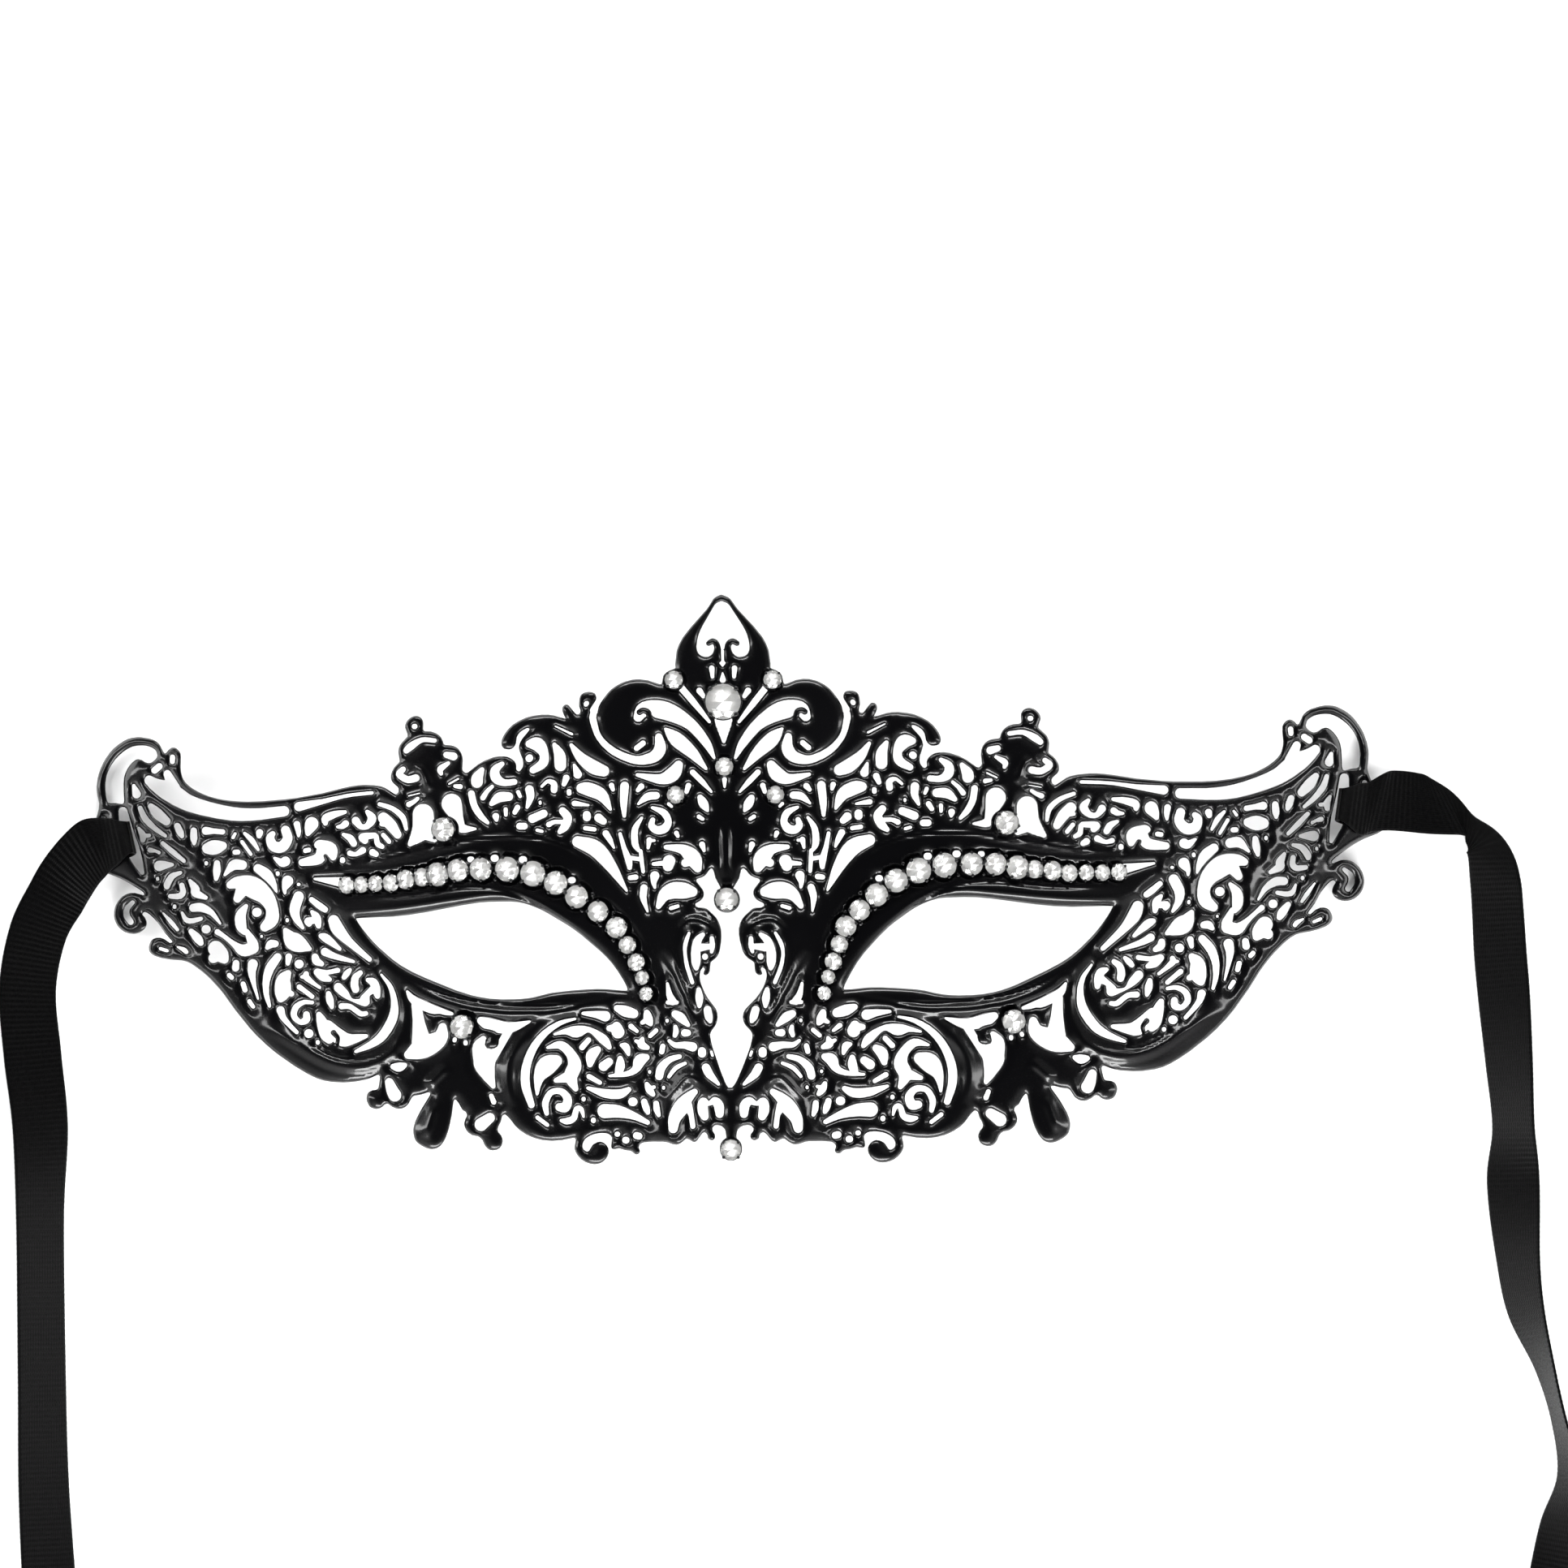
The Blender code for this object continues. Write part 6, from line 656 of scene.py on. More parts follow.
def sheet_field(pitch, steps):
    """The flat pattern of the mask: the rim, less its openings and gaps, plus tongues and seats."""
    low = (-HALF_WIDTH_ROOM, -BELOW_ROOM)
    high = (HALF_WIDTH_ROOM, ABOVE_ROOM)
    rim = Field(low, high, pitch)
    edge = outline_points(1, RIM, False, steps) + outline_points(-1, RIM, False, steps)[::-1]
    inside = rim.lower_to_edge(edge)
    metal = np.where(inside, -rim.value, rim.value)
    holes = Field(low, high, pitch)
    for side in (1, -1):
        for rows in (EYE, LOOP):
            hole = Field(low, high, pitch)
            within = hole.lower_to_edge(outline_points(side, rows, True, steps))
            holes.value = np.minimum(holes.value, np.where(within, -hole.value, hole.value))
    for rows in (SPADE, BRIDGE):
        hole = Field(low, high, pitch)
        edge = outline_points(1, rows, False, steps) + outline_points(-1, rows, False, steps)[::-1]
        within = hole.lower_to_edge(edge)
        holes.value = np.minimum(holes.value, np.where(within, -hole.value, hole.value))
    for side in (1, -1):
        for part in (GAPS_CROWN, GAPS_FOREHEAD, GAPS_BROW, GAPS_ROW, GAPS_TEMPLE, GAPS_SIDE, GAPS_CHEEK):
            for spine in part:
                holes.lower_to_spine(spine_stations(side, spine, steps))
    metal = np.maximum(metal, -holes.value)
    tongues = Field(low, high, pitch)
    for side in (1, -1):
        for spine in TONGUES:
            tongues.lower_to_spine(spine_stations(side, spine, steps))
    rim.value = np.minimum(metal, tongues.value) - EDGE_GROWTH
    return rim


def ridge_lines(table, steps):
    """Pressed lines of both sides as world points, with heights and half widths."""
    lines = []
    for side in (1, -1):
        for share, wide, rows in table:
            line = [chart_to_plane(side, p[0], p[1]) for p in catmull(rows, steps)]
            lines.append((share * RELIEF_HEIGHT, wide * ACROSS, line))
    return lines


def chart_place(x, y):
    """The distances out from the centre line and up, of world points."""
    lean = x + AXIS_LEAN * y
    middle = (SKEW_HIGH + SKEW_LOW) / 2 * np.abs(lean) / (np.abs(lean) + SKEW_REACH * ACROSS)
    out = lean - middle
    up = y - np.sign(out) * TEMPLE_LIFT * (out / MASK_HALF_SPAN) ** 2
    return out, up


def form(x, y):
    """Height of the unpressed sheet: an arched brow with a nose and a leaning crown."""
    out, up = chart_place(np.asarray(x, dtype=float), np.asarray(y, dtype=float))
    out = np.abs(out)
    outer = np.clip((out / MASK_HALF_SPAN - .8) / .2, 0, 1)
    beside = np.clip(np.abs(up / MASK_HEIGHT - TIP_UP) / TIP_REACH, 0, 1)
    wide = out * (1 + LOWER_FLARE * (LOOP_UP - up / MASK_HEIGHT))
    drop = outer * outer * (3 - 2 * outer) * beside * beside * (3 - 2 * beside)
    wide = wide + TIP_DROP * MASK_HALF_SPAN * drop
    level = LEVEL_OUT * MASK_HALF_SPAN
    wide = (wide + level - np.sqrt((wide - level) ** 2 + (LEVEL_BEND * MASK_HALF_SPAN) ** 2)) / 2
    sag = FACE_RADIUS - np.sqrt(np.maximum(FACE_RADIUS ** 2 - wide ** 2, (FACE_RADIUS * .3) ** 2))
    crown = np.maximum(up - CROWN_START * MASK_HEIGHT, 0) ** 2 / (2 * CROWN_RADIUS)
    low = np.clip(-up / (NOSE_REACH * MASK_HEIGHT), 0, 1)
    nose = NOSE_RISE * np.exp(-(out / (NOSE_WIDTH * MASK_HALF_SPAN)) ** 2) * low * low * (3 - 2 * low)
    return nose - sag - crown


def normals(x, y):
    """Unit normals of the unpressed sheet at world points."""
    step = 0.0004
    gx = (form(x + step, y) - form(x - step, y)) / (2 * step)
    gy = (form(x, y + step) - form(x, y - step)) / (2 * step)
    size = np.sqrt(gx * gx + gy * gy + 1)
    return np.stack([-gx / size, -gy / size, 1 / size], axis=-1)


def contour_loops(field):
    """Closed outlines of the metal, anticlockwise round metal and clockwise round gaps."""
    value = field.value
    metal = value < 0
    count = (metal[:-1, :-1].astype(int) + metal[:-1, 1:] + metal[1:, :-1] + metal[1:, 1:])
    links = {}
    for j, i in zip(*np.nonzero((count > 0) & (count < 4))):
        j, i = int(j), int(i)
        corners = ((j, i), (j, i + 1), (j + 1, i + 1), (j + 1, i))
        edges = ((0, j, i), (1, j, i + 1), (0, j + 1, i), (1, j, i))
        leave, enter = [], []
        for k in range(4):
            here, after = metal[corners[k]], metal[corners[(k + 1) % 4]]
            if here and not after:
                leave.append(k)
            if after and not here:
                enter.append(k)
        if len(leave) == 1:
            links[edges[leave[0]]] = edges[enter[0]]
            continue
        joined = sum(value[c] for c in corners) < 0
        for k in leave:
            links[edges[k]] = edges[(k + 1) % 4 if joined else (k - 1) % 4]
    loops = []
    while links:
        first, after = links.popitem()
        loop = [first]
        while after != first:
            loop.append(after)
            after = links.pop(after)
        loops.append(np.array([edge_point(field, e) for e in loop]))
    return loops


def edge_point(field, edge):
    """Where the outline crosses one edge of the grid."""
    way, j, i = edge
    a = field.value[j, i]
    b = field.value[j + 1, i] if way else field.value[j, i + 1]
    t = a / (a - b)
    if way:
        return field.xs[i], field.ys[j] + t * field.pitch
    return field.xs[i] + t * field.pitch, field.ys[j]


def loop_area(loop):
    """Signed area of a closed outline."""
    x, y = loop[:, 0], loop[:, 1]
    return 0.5 * float(np.sum(x * np.roll(y, -1) - np.roll(x, -1) * y))


def holds(loop, x, y):
    """Whether a closed outline goes round a point."""
    ax, ay = loop[:, 0], loop[:, 1]
    bx, by = np.roll(ax, -1), np.roll(ay, -1)
    spans = (ay > y) != (by > y)
    cross = ax[spans] + (y - ay[spans]) * (bx - ax)[spans] / (by - ay)[spans]
    return int(np.sum(cross > x)) % 2 == 1


def thin_out(loop, slack):
    """A closed outline with the points dropped that stay within a slack of the straight run."""
    count = len(loop)
    far = int(np.argmax(np.hypot(*(loop - loop[0]).T)))
    keep = {0, far}
    stack = [(0, far), (far, count)]
    while stack:
        a, b = stack.pop()
        if b - a < 2:
            continue
        pa, pb = loop[a], loop[b % count]
        mid = loop[a + 1:b]
        dx, dy = pb - pa
        span = dx * dx + dy * dy
        t = np.clip(((mid - pa) @ np.array((dx, dy))) / max(span, 1e-18), 0, 1)
        gap = np.hypot(mid[:, 0] - pa[0] - t * dx, mid[:, 1] - pa[1] - t * dy)
        worst = int(np.argmax(gap))
        if gap[worst] > slack:
            keep.add(a + 1 + worst)
            stack += [(a, a + 1 + worst), (a + 1 + worst, b)]
    return loop[sorted(keep)]


def metal_loops(field, smallest):
    """The one connected sheet: its outer edge first, then its gaps down to a smallest area."""
    loops = contour_loops(field)
    areas = [loop_area(loop) for loop in loops]
    outer = loops[int(np.argmax(areas))]
    gaps = [loop for loop, area in zip(loops, areas)
            if area < -smallest and holds(outer, loop[0, 0], loop[0, 1])]
    gaps.sort(key=lambda loop: loop_area(loop))
    return [outer] + gaps


def make_mesh(name, verts, faces, materials, slots=None, smooth=True):
    """A mesh object with its materials, and a material index for each face."""
    mesh = bpy.data.meshes.new(name)
    mesh.from_pydata([tuple(v) for v in verts], [], [tuple(f) for f in faces])
    for material in materials:
        mesh.materials.append(material)
    if slots is not None:
        mesh.polygons.foreach_set("material_index", slots)
    mesh.polygons.foreach_set("use_smooth", [smooth] * len(mesh.polygons))
    mesh.update()
    piece = bpy.data.objects.new(name, mesh)
    bpy.context.scene.collection.objects.link(piece)
    return piece


def place_piece(piece, slot, *nodes):
    """Fix a piece to the model and hide the solids that it stands for."""
    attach(piece, "root")
    if nodes:
        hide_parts(*nodes)


def new_material(name):
    """An empty node material with its Principled shader."""
    material = bpy.data.materials.new(name)
    material.use_nodes = True
    tree = material.node_tree
    return material, tree, tree.nodes["Principled BSDF"]


def noise(tree, coords, scale, detail):
    """A noise texture on given coordinates."""
    node = tree.nodes.new("ShaderNodeTexNoise")
    node.inputs["Scale"].default_value = scale
    node.inputs["Detail"].default_value = detail
    tree.links.new(coords, node.inputs["Vector"])
    return node


def spread(tree, value, low, high):
    """A value from 0 to 1 mapped onto a range."""
    node = tree.nodes.new("ShaderNodeMapRange")
    node.inputs["From Min"].default_value = 0.3
    node.inputs["From Max"].default_value = 0.7
    node.inputs["To Min"].default_value = low
    node.inputs["To Max"].default_value = high
    tree.links.new(value, node.inputs["Value"])
    return node.outputs["Result"]


def two_tones(tree, value, dark, light):
    """A colour between two tones."""
    node = tree.nodes.new("ShaderNodeMix")
    node.data_type = "RGBA"
    node.inputs["A"].default_value = (*dark, 1)
    node.inputs["B"].default_value = (*light, 1)
    tree.links.new(value, node.inputs["Factor"])
    return node.outputs["Result"]


def coated_metal():
    """Gloss black powder coat: deep colour, faint orange peel, slightly uneven gloss."""
    material, tree, shader = new_material("gloss_black_coat")
    coords = tree.nodes.new("ShaderNodeTexCoord").outputs["Object"]
    broad = noise(tree, coords, 45, 3)
    fine = noise(tree, coords, 900, 2)
    tree.links.new(two_tones(tree, broad.outputs["Fac"], (.0010, .0010, .0012), (.0022, .0022, .0026)),
                   shader.inputs["Base Color"])
    tree.links.new(spread(tree, broad.outputs["Fac"], .15, .24), shader.inputs["Roughness"])
    bump = tree.nodes.new("ShaderNodeBump")
    bump.inputs["Strength"].default_value = .12
    bump.inputs["Distance"].default_value = .00004
    tree.links.new(fine.outputs["Fac"], bump.inputs["Height"])
    tree.links.new(bump.outputs["Normal"], shader.inputs["Normal"])
    shader.inputs["IOR"].default_value = 1.5
    shader.inputs["Coat Weight"].default_value = .3
    shader.inputs["Coat Roughness"].default_value = .08
    return material


def stone_glass():
    """Clear cut glass."""
    material, tree, shader = new_material("cut_glass")
    coords = tree.nodes.new("ShaderNodeTexCoord").outputs["Object"]
    tint = noise(tree, coords, 300, 1)
    tree.links.new(two_tones(tree, tint.outputs["Fac"], (.97, .98, .985), (1, 1, 1)),
                   shader.inputs["Base Color"])
    shader.inputs["Transmission Weight"].default_value = 1
    shader.inputs["Roughness"].default_value = .01
    shader.inputs["IOR"].default_value = 1.54
    return material


def stone_foil():
    """Silver foil behind a stone, a little warm and worn."""
    material, tree, shader = new_material("silver_foil")
    coords = tree.nodes.new("ShaderNodeTexCoord").outputs["Object"]
    patch = noise(tree, coords, 700, 2)
    tree.links.new(two_tones(tree, patch.outputs["Fac"], (.56, .55, .53), (.93, .93, .92)),
                   shader.inputs["Base Color"])
    tree.links.new(spread(tree, patch.outputs["Fac"], .16, .3), shader.inputs["Roughness"])
    shader.inputs["Metallic"].default_value = .55
    return material


def woven_ribbon():
    """Black grosgrain: dull yarn with a soft sheen on its ribs."""
    material, tree, shader = new_material("black_grosgrain")
    coords = tree.nodes.new("ShaderNodeTexCoord").outputs["UV"]
    yarn = tree.nodes.new("ShaderNodeTexWave")
    yarn.wave_type = "BANDS"
    yarn.bands_direction = "X"
    yarn.inputs["Scale"].default_value = 900
    yarn.inputs["Distortion"].default_value = 1.5
    yarn.inputs["Detail"].default_value = 1
    tree.links.new(coords, yarn.inputs["Vector"])
    fuzz = noise(tree, coords, 2500, 2)
    tree.links.new(two_tones(tree, fuzz.outputs["Fac"], (.0004, .0004, .00045), (.0014, .0014, .0015)),
                   shader.inputs["Base Color"])
    tree.links.new(spread(tree, fuzz.outputs["Fac"], .36, .5), shader.inputs["Roughness"])
    bump = tree.nodes.new("ShaderNodeBump")
    bump.inputs["Strength"].default_value = .5
    bump.inputs["Distance"].default_value = .00006
    tree.links.new(yarn.outputs["Fac"], bump.inputs["Height"])
    tree.links.new(bump.outputs["Normal"], shader.inputs["Normal"])
    shader.inputs["Specular IOR Level"].default_value = .1
    return material


def fill_plan(loops, lines, spots):
    """Triangles of a plan between closed outlines, with inner lines and points held in it."""
    points, edges, faces = [], [], []
    for loop in loops:
        if loop_area(loop) < 0:
            loop = loop[::-1]
        start = len(points)
        points += [Vector((p[0], p[1])) for p in loop]
        faces.append(list(range(start, start + len(loop))))
    for line in lines:
        start = len(points)
        points += [Vector((p[0], p[1])) for p in line]
        edges += [(start + k, start + k + 1) for k in range(len(line) - 1)]
        edges.append((start + len(line) - 1, start))
    points += [Vector((p[0], p[1])) for p in spots]
    found = delaunay_2d_cdt(points, edges, faces, 0, 1e-8)
    kept = [list(f) for f, owners in zip(found[2], found[5])
            if 0 in owners and not any(0 < owner < len(loops) for owner in owners)]
    used = sorted({v for f in kept for v in f})
    place = {v: k for k, v in enumerate(used)}
    plan = np.array([(found[0][v].x, found[0][v].y) for v in used])
    return plan, [[place[v] for v in f] for f in kept]


def open_edges(faces):
    """The directed edges that only one triangle uses."""
    seen = set()
    for face in faces:
        seen.update(zip(face, face[1:] + face[:1]))
    return [(a, b) for a, b in seen if (b, a) not in seen]


def bumps(field, lines):
    """Height of every pressed line on the grid of a field, fading out at the line's ends."""
    tall = np.zeros(field.value.shape)
    for high, wide, line in lines:
        points = np.array(line)
        steps = np.hypot(*np.diff(points, axis=0).T)
        marks = np.concatenate([[0], np.cumsum(steps)])
        cells, gx, gy = field.window(points.min(axis=0) - wide, points.max(axis=0) + wide)
        gap, place = np.full(gx.shape, FAR), np.zeros(gx.shape)
        for k, ((ax, ay), (bx, by)) in enumerate(zip(line[:-1], line[1:])):
            dx, dy = bx - ax, by - ay
            span = max(dx * dx + dy * dy, 1e-18)
            t = np.clip(((gx - ax) * dx + (gy - ay) * dy) / span, 0, 1)
            here = np.hypot(gx - ax - t * dx, gy - ay - t * dy)
            nearer = here < gap
            gap = np.where(nearer, here, gap)
            place = np.where(nearer, marks[k] + t * steps[k], place)
        taper = np.clip(np.minimum(place, marks[-1] - place) / (.3 * marks[-1]), 0, 1)
        rise = high * np.cos(np.pi / 2 * np.clip(gap / wide, 0, 1)) ** 2 * np.sin(np.pi / 2 * taper)
        tall[cells] = np.where(high > 0, np.maximum(tall[cells], rise), np.minimum(tall[cells], rise))
    return tall


def soften(grid, times):
    """A grid blurred a little, so that creases catch the light softly."""
    for _ in range(times):
        grid = (np.roll(grid, 1, 0) + 2 * grid + np.roll(grid, -1, 0)) / 4
        grid = (np.roll(grid, 1, 1) + 2 * grid + np.roll(grid, -1, 1)) / 4
    return grid


def stone_places():
    """Side, out, up and radius of every stone."""
    places = [(1, 0, up, radius) for _, up, radius in MIDDLE_STONES]
    for side in (1, -1):
        places += [(side, out, up, radius) for _, out, up, radius in PAIR_STONES]
        places += [(side, out, up, share * CENTRE_STONE_RADIUS) for out, up, share in ROW_STONES]
    return places


def clear_of_stones(field):
    """1 away from the stones, falling to 0 under each, so that every stone has a level seat."""
    share = np.ones(field.value.shape)
    for side, out, up, radius in stone_places():
        x, y = chart_to_plane(side, out, up)
        reach = radius * 1.6
        cells, gx, gy = field.window((x - reach, y - reach), (x + reach, y + reach))
        t = np.clip((np.hypot(gx - x, gy - y) / radius - 1.05) / .4, 0, 1)
        share[cells] = np.minimum(share[cells], t * t * (3 - 2 * t))
    return share


def sample(grid, field, x, y):
    """Values of a grid at world points."""
    fx = np.clip((x - field.xs[0]) / field.pitch, 0, grid.shape[1] - 1.001)
    fy = np.clip((y - field.ys[0]) / field.pitch, 0, grid.shape[0] - 1.001)
    i, j = fx.astype(int), fy.astype(int)
    u, v = fx - i, fy - j
    return (grid[j, i] * (1 - u) * (1 - v) + grid[j, i + 1] * u * (1 - v)
            + grid[j + 1, i] * (1 - u) * v + grid[j + 1, i + 1] * u * v)


def grid_spots(field, pitch, margin, where):
    """Points on a coarse grid well inside the metal."""
    step = max(int(round(pitch / field.pitch)), 1)
    value = field.value[::step, ::step]
    keep = (value < -margin) & where[::step, ::step]
    j, i = np.nonzero(keep)
    return np.stack([field.xs[::step][i], field.ys[::step][j]], axis=-1)


def filigree(field, material):
    """The pierced, arched and pressed sheet, with rounded edges."""
    loops = [thin_out(loop, FINE_SLACK) for loop in metal_loops(field, FINE_GAP)]
    broad = np.clip(-field.value / PILLOW_REACH, 0, 1)
    tall = PILLOW_HEIGHT * (1 - (1 - broad) ** 2)
    ridges = bumps(field, ridge_lines(RIDGES, 4))
    tall += ridges + bumps(field, ridge_lines(GROOVES, 4))
    tall = soften(tall, 6) * clear_of_stones(field)
    depth = np.clip(-field.value / EDGE_ROUND, 0, 1)
    edge = -EDGE_DROP * (1 - np.sqrt(1 - (1 - depth) ** 2))
    gx, gy = np.meshgrid(field.xs, field.ys)
    height = form(gx, gy) + tall + edge
    slope_y, slope_x = np.gradient(height, field.pitch)
    rings = []
    distance = field.value
    for level in EDGE_LEVELS:
        field.value = distance + level
        for loop in contour_loops(field):
            if len(loop) > 8:
                rings.append(thin_out(loop, FINE_SLACK))
    field.value = distance
    pressed = (np.abs(ridges) > .00002) | (broad > .4)
    spots = np.concatenate([grid_spots(field, *PRESSED_SPOTS, pressed),
                            grid_spots(field, *PLAIN_SPOTS, ~pressed)])
    plan, faces = fill_plan(loops, rings, spots)
    under, under_faces = fill_plan(loops, [], grid_spots(field, *UNDER_SPOTS, ~pressed))
    x, y = plan[:, 0], plan[:, 1]
    depth_here = -sample(field.value, field, x, y)
    top = np.stack([x, y, sample(height, field, x, y) + SHEET_THICKNESS * .58], axis=-1)
    below = form(under[:, 0], under[:, 1]) - SHEET_THICKNESS * .5
    bottom = np.stack([under[:, 0], under[:, 1], below], axis=-1)
    lift = -float(bottom[:, 2].min())
    place = {(round(a * 1e7), round(b * 1e7)): k for k, (a, b) in enumerate(under)}
    count = len(plan)
    solid = [list(f) for f in faces] + [[v + count for v in reversed(f)] for f in under_faces]
    for a, b in open_edges(faces):
        pair = [place.get((round(plan[k, 0] * 1e7), round(plan[k, 1] * 1e7))) for k in (a, b)]
        if None not in pair:
            solid.append([b, a, pair[0] + count])
            solid.append([b, pair[0] + count, pair[1] + count])
    verts = np.concatenate([top, bottom])
    verts[:, 2] += lift
    piece = make_mesh("mask_filigree", verts, solid, [material])
    out_y, out_x = np.gradient(field.value, field.pitch)
    sx, sy = sample(slope_x, field, x, y), sample(slope_y, field, x, y)
    ox, oy = sample(out_x, field, x, y), sample(out_y, field, x, y)
    upward = np.stack([-sx, -sy, np.ones(count)], axis=-1)
    upward /= np.linalg.norm(upward, axis=1)[:, None]
    side = np.clip(1 - depth_here / .00006, 0, 1)[:, None] * .85
    upward = upward * (1 - side) + np.stack([ox, oy, np.full(count, .25)], axis=-1) * side
    downward = -normals(under[:, 0], under[:, 1])
    ux, uy = sample(out_x, field, under[:, 0], under[:, 1]), sample(out_y, field, under[:, 0], under[:, 1])
    rim = (sample(field.value, field, under[:, 0], under[:, 1]) > -.00005)[:, None]
    downward = np.where(rim, downward * .35 + np.stack([ux, uy, np.zeros(len(under))], axis=-1), downward)
    every = np.concatenate([upward, downward])
    every /= np.linalg.norm(every, axis=1)[:, None]
    piece.data.normals_split_custom_set_from_vertices([tuple(n) for n in every])
    return piece, lift


def brilliant(foot, across, along, outward, radius, turn):
    """Points and faces of one round cut stone; the last faces are the foiled back."""
    verts = []

    def ring(count, wide, high, start):
        first = len(verts)
        for k in range(count):
            angle = 2 * math.pi * (k + start) / count + turn
            verts.append(foot + across * (radius * wide * math.cos(angle))
                         + along * (radius * wide * math.sin(angle)) + outward * (radius * high))
        return first

    table, middle = ring(8, .54, .36, .5), ring(8, .79, .22, 0)
    girdle, low = ring(16, 1, .03, 0), ring(16, 1, -.03, 0)
    back = ring(8, .52, -.36, 0)
    verts.append(foot - outward * (radius * .52))
    culet = len(verts) - 1
    front = [[table + k for k in range(8)]]
    foil = []
    for k in range(8):
        after = (k + 1) % 8
        front.append([table + k, middle + after, table + after])
        front.append([table + k, middle + k, girdle + 2 * k + 1, middle + after])
        front.append([middle + k, girdle + 2 * k, girdle + 2 * k + 1])
        front.append([middle + k, girdle + (2 * k + 15) % 16, girdle + 2 * k])
        foil.append([back + k, low + (2 * k + 1) % 16, low + 2 * k])
        foil.append([back + k, low + 2 * k, low + (2 * k + 15) % 16])
        foil.append([back + k, back + after, low + 2 * k + 1])
        foil.append([culet, back + after, back + k])
    for k in range(16):
        after = (k + 1) % 16
        front.append([girdle + k, low + k, low + after, girdle + after])
    return verts, front, foil


def lathe(foot, across, along, outward, rows, count):
    """A turned form about a seat's axis, from rows of (radius, height)."""
    verts, faces = [], []
    for wide, high in rows:
        for k in range(count):
            angle = 2 * math.pi * k / count
            verts.append(foot + across * (wide * math.cos(angle)) + along * (wide * math.sin(angle))
                         + outward * high)
    for level in range(len(rows) - 1):
        for k in range(count):
            after = (k + 1) % count
            a, b = level * count, (level + 1) * count
            faces.append([a + k, a + after, b + after, b + k])
    return verts, faces


def seat(side, out, up, lift, tall):
    """The middle of a stone's girdle and its directions."""
    x, y = chart_to_plane(side, out, up)
    outward = Vector(normals(np.array([x]), np.array([y]))[0])
    across = (Vector((1, 0, 0)) - outward * outward.x).normalized()
    along = outward.cross(across)
    return Vector((x, y, float(form(x, y)) + lift)) + outward * tall, across, along, outward


def set_stones(name, places, lift, materials, node, cups):
    """The stones of one solid, each over its own cup."""
    verts, faces, slots = [], [], []
    for index, (side, out, up, radius) in enumerate(places):
        tall = SHEET_THICKNESS * .5 + SEAT_CLEARANCE + .45 * radius + .0001
        foot, across, along, outward = seat(side, out, up, lift, tall)
        points, front, foil = brilliant(foot, across, along, outward, radius, .37 * index)
        start = len(verts)
        verts += points
        faces += [[v + start for v in f] for f in front + foil]
        slots += [0] * len(front) + [1] * len(foil)
        rows = ((radius * .5, -tall + SHEET_THICKNESS * .3), (radius * 1.04, -tall + SHEET_THICKNESS * .5),
                (radius * 1.05, -.0001), (radius * 1.02, .00005), (radius * .98, .00002),
                (radius * .9, -.0004))
        points, ring_faces = lathe(foot, across, along, outward, rows, 20)
        start = len(cups[0])
        cups[0].extend(points)
        cups[1].extend([[v + start for v in f] for f in ring_faces])
        for k in range(4):
            angle = math.pi / 4 + math.pi / 2 * k + .3 * index
            tip = foot + (across * math.cos(angle) + along * math.sin(angle)) * (radius * 1.0)
            add_bead(cups, tip + outward * (radius * .1), across, along, outward, .11 * radius + .0001)
    piece = make_mesh(name, verts, faces, materials, slots, smooth=False)
    place_piece(piece, "stone", node)
    return piece


def add_bead(cups, middle, across, along, outward, radius):
    """A small metal bead added to the settings."""
    rows = [(radius * math.sin(a), radius * math.cos(a)) for a in np.linspace(.15, 2.2, 6)]
    points, faces = lathe(middle, across, along, outward, rows, 10)
    faces.append(list(range(9, -1, -1)))
    start = len(cups[0])
    cups[0].extend(points)
    cups[1].extend([[v + start for v in reversed(f)] for f in faces])


def tie_stations(side, stations, lift, steps):
    """Middle, width direction and width share along a ribbon: round its bar, then over the floor."""
    bar = Vector((*chart_to_plane(side, *BAR), 0))
    bar.z = float(form(bar.x, bar.y)) + lift
    upward = Vector(normals(np.array([bar.x]), np.array([bar.y]))[0])
    tall = Vector((*chart_to_plane(side, *BAR_ALONG), 0)) - Vector((bar.x, bar.y, 0))
    tall = (tall - upward * tall.dot(upward)).normalized()
    outward = tall.cross(upward) * side
    clear = SHEET_THICKNESS / 2 + SEAT_CLEARANCE + CLOTH / 2
    rows = [(*(bar + outward * (a * ACROSS) + upward * (n * clear)), *tall, share)
            for a, n, share in TIE_WRAP]
    for across, along, under, turn, tip, share in stations:
        turn, tip = math.radians(turn), math.radians(tip)
        rise = TIE_WIDTH / 2 * abs(math.sin(tip)) + CLOTH / 2 * math.cos(tip)
        rows.append((across * MASK_HALF_SPAN, along * (MASK_HALF_SPAN if along > 0 else TIE_FALL),
                     under * SHEET_THICKNESS + rise, math.cos(turn) * math.cos(tip),
                     math.sin(turn) * math.cos(tip), math.sin(tip), share))
    return catmull(rows, steps)


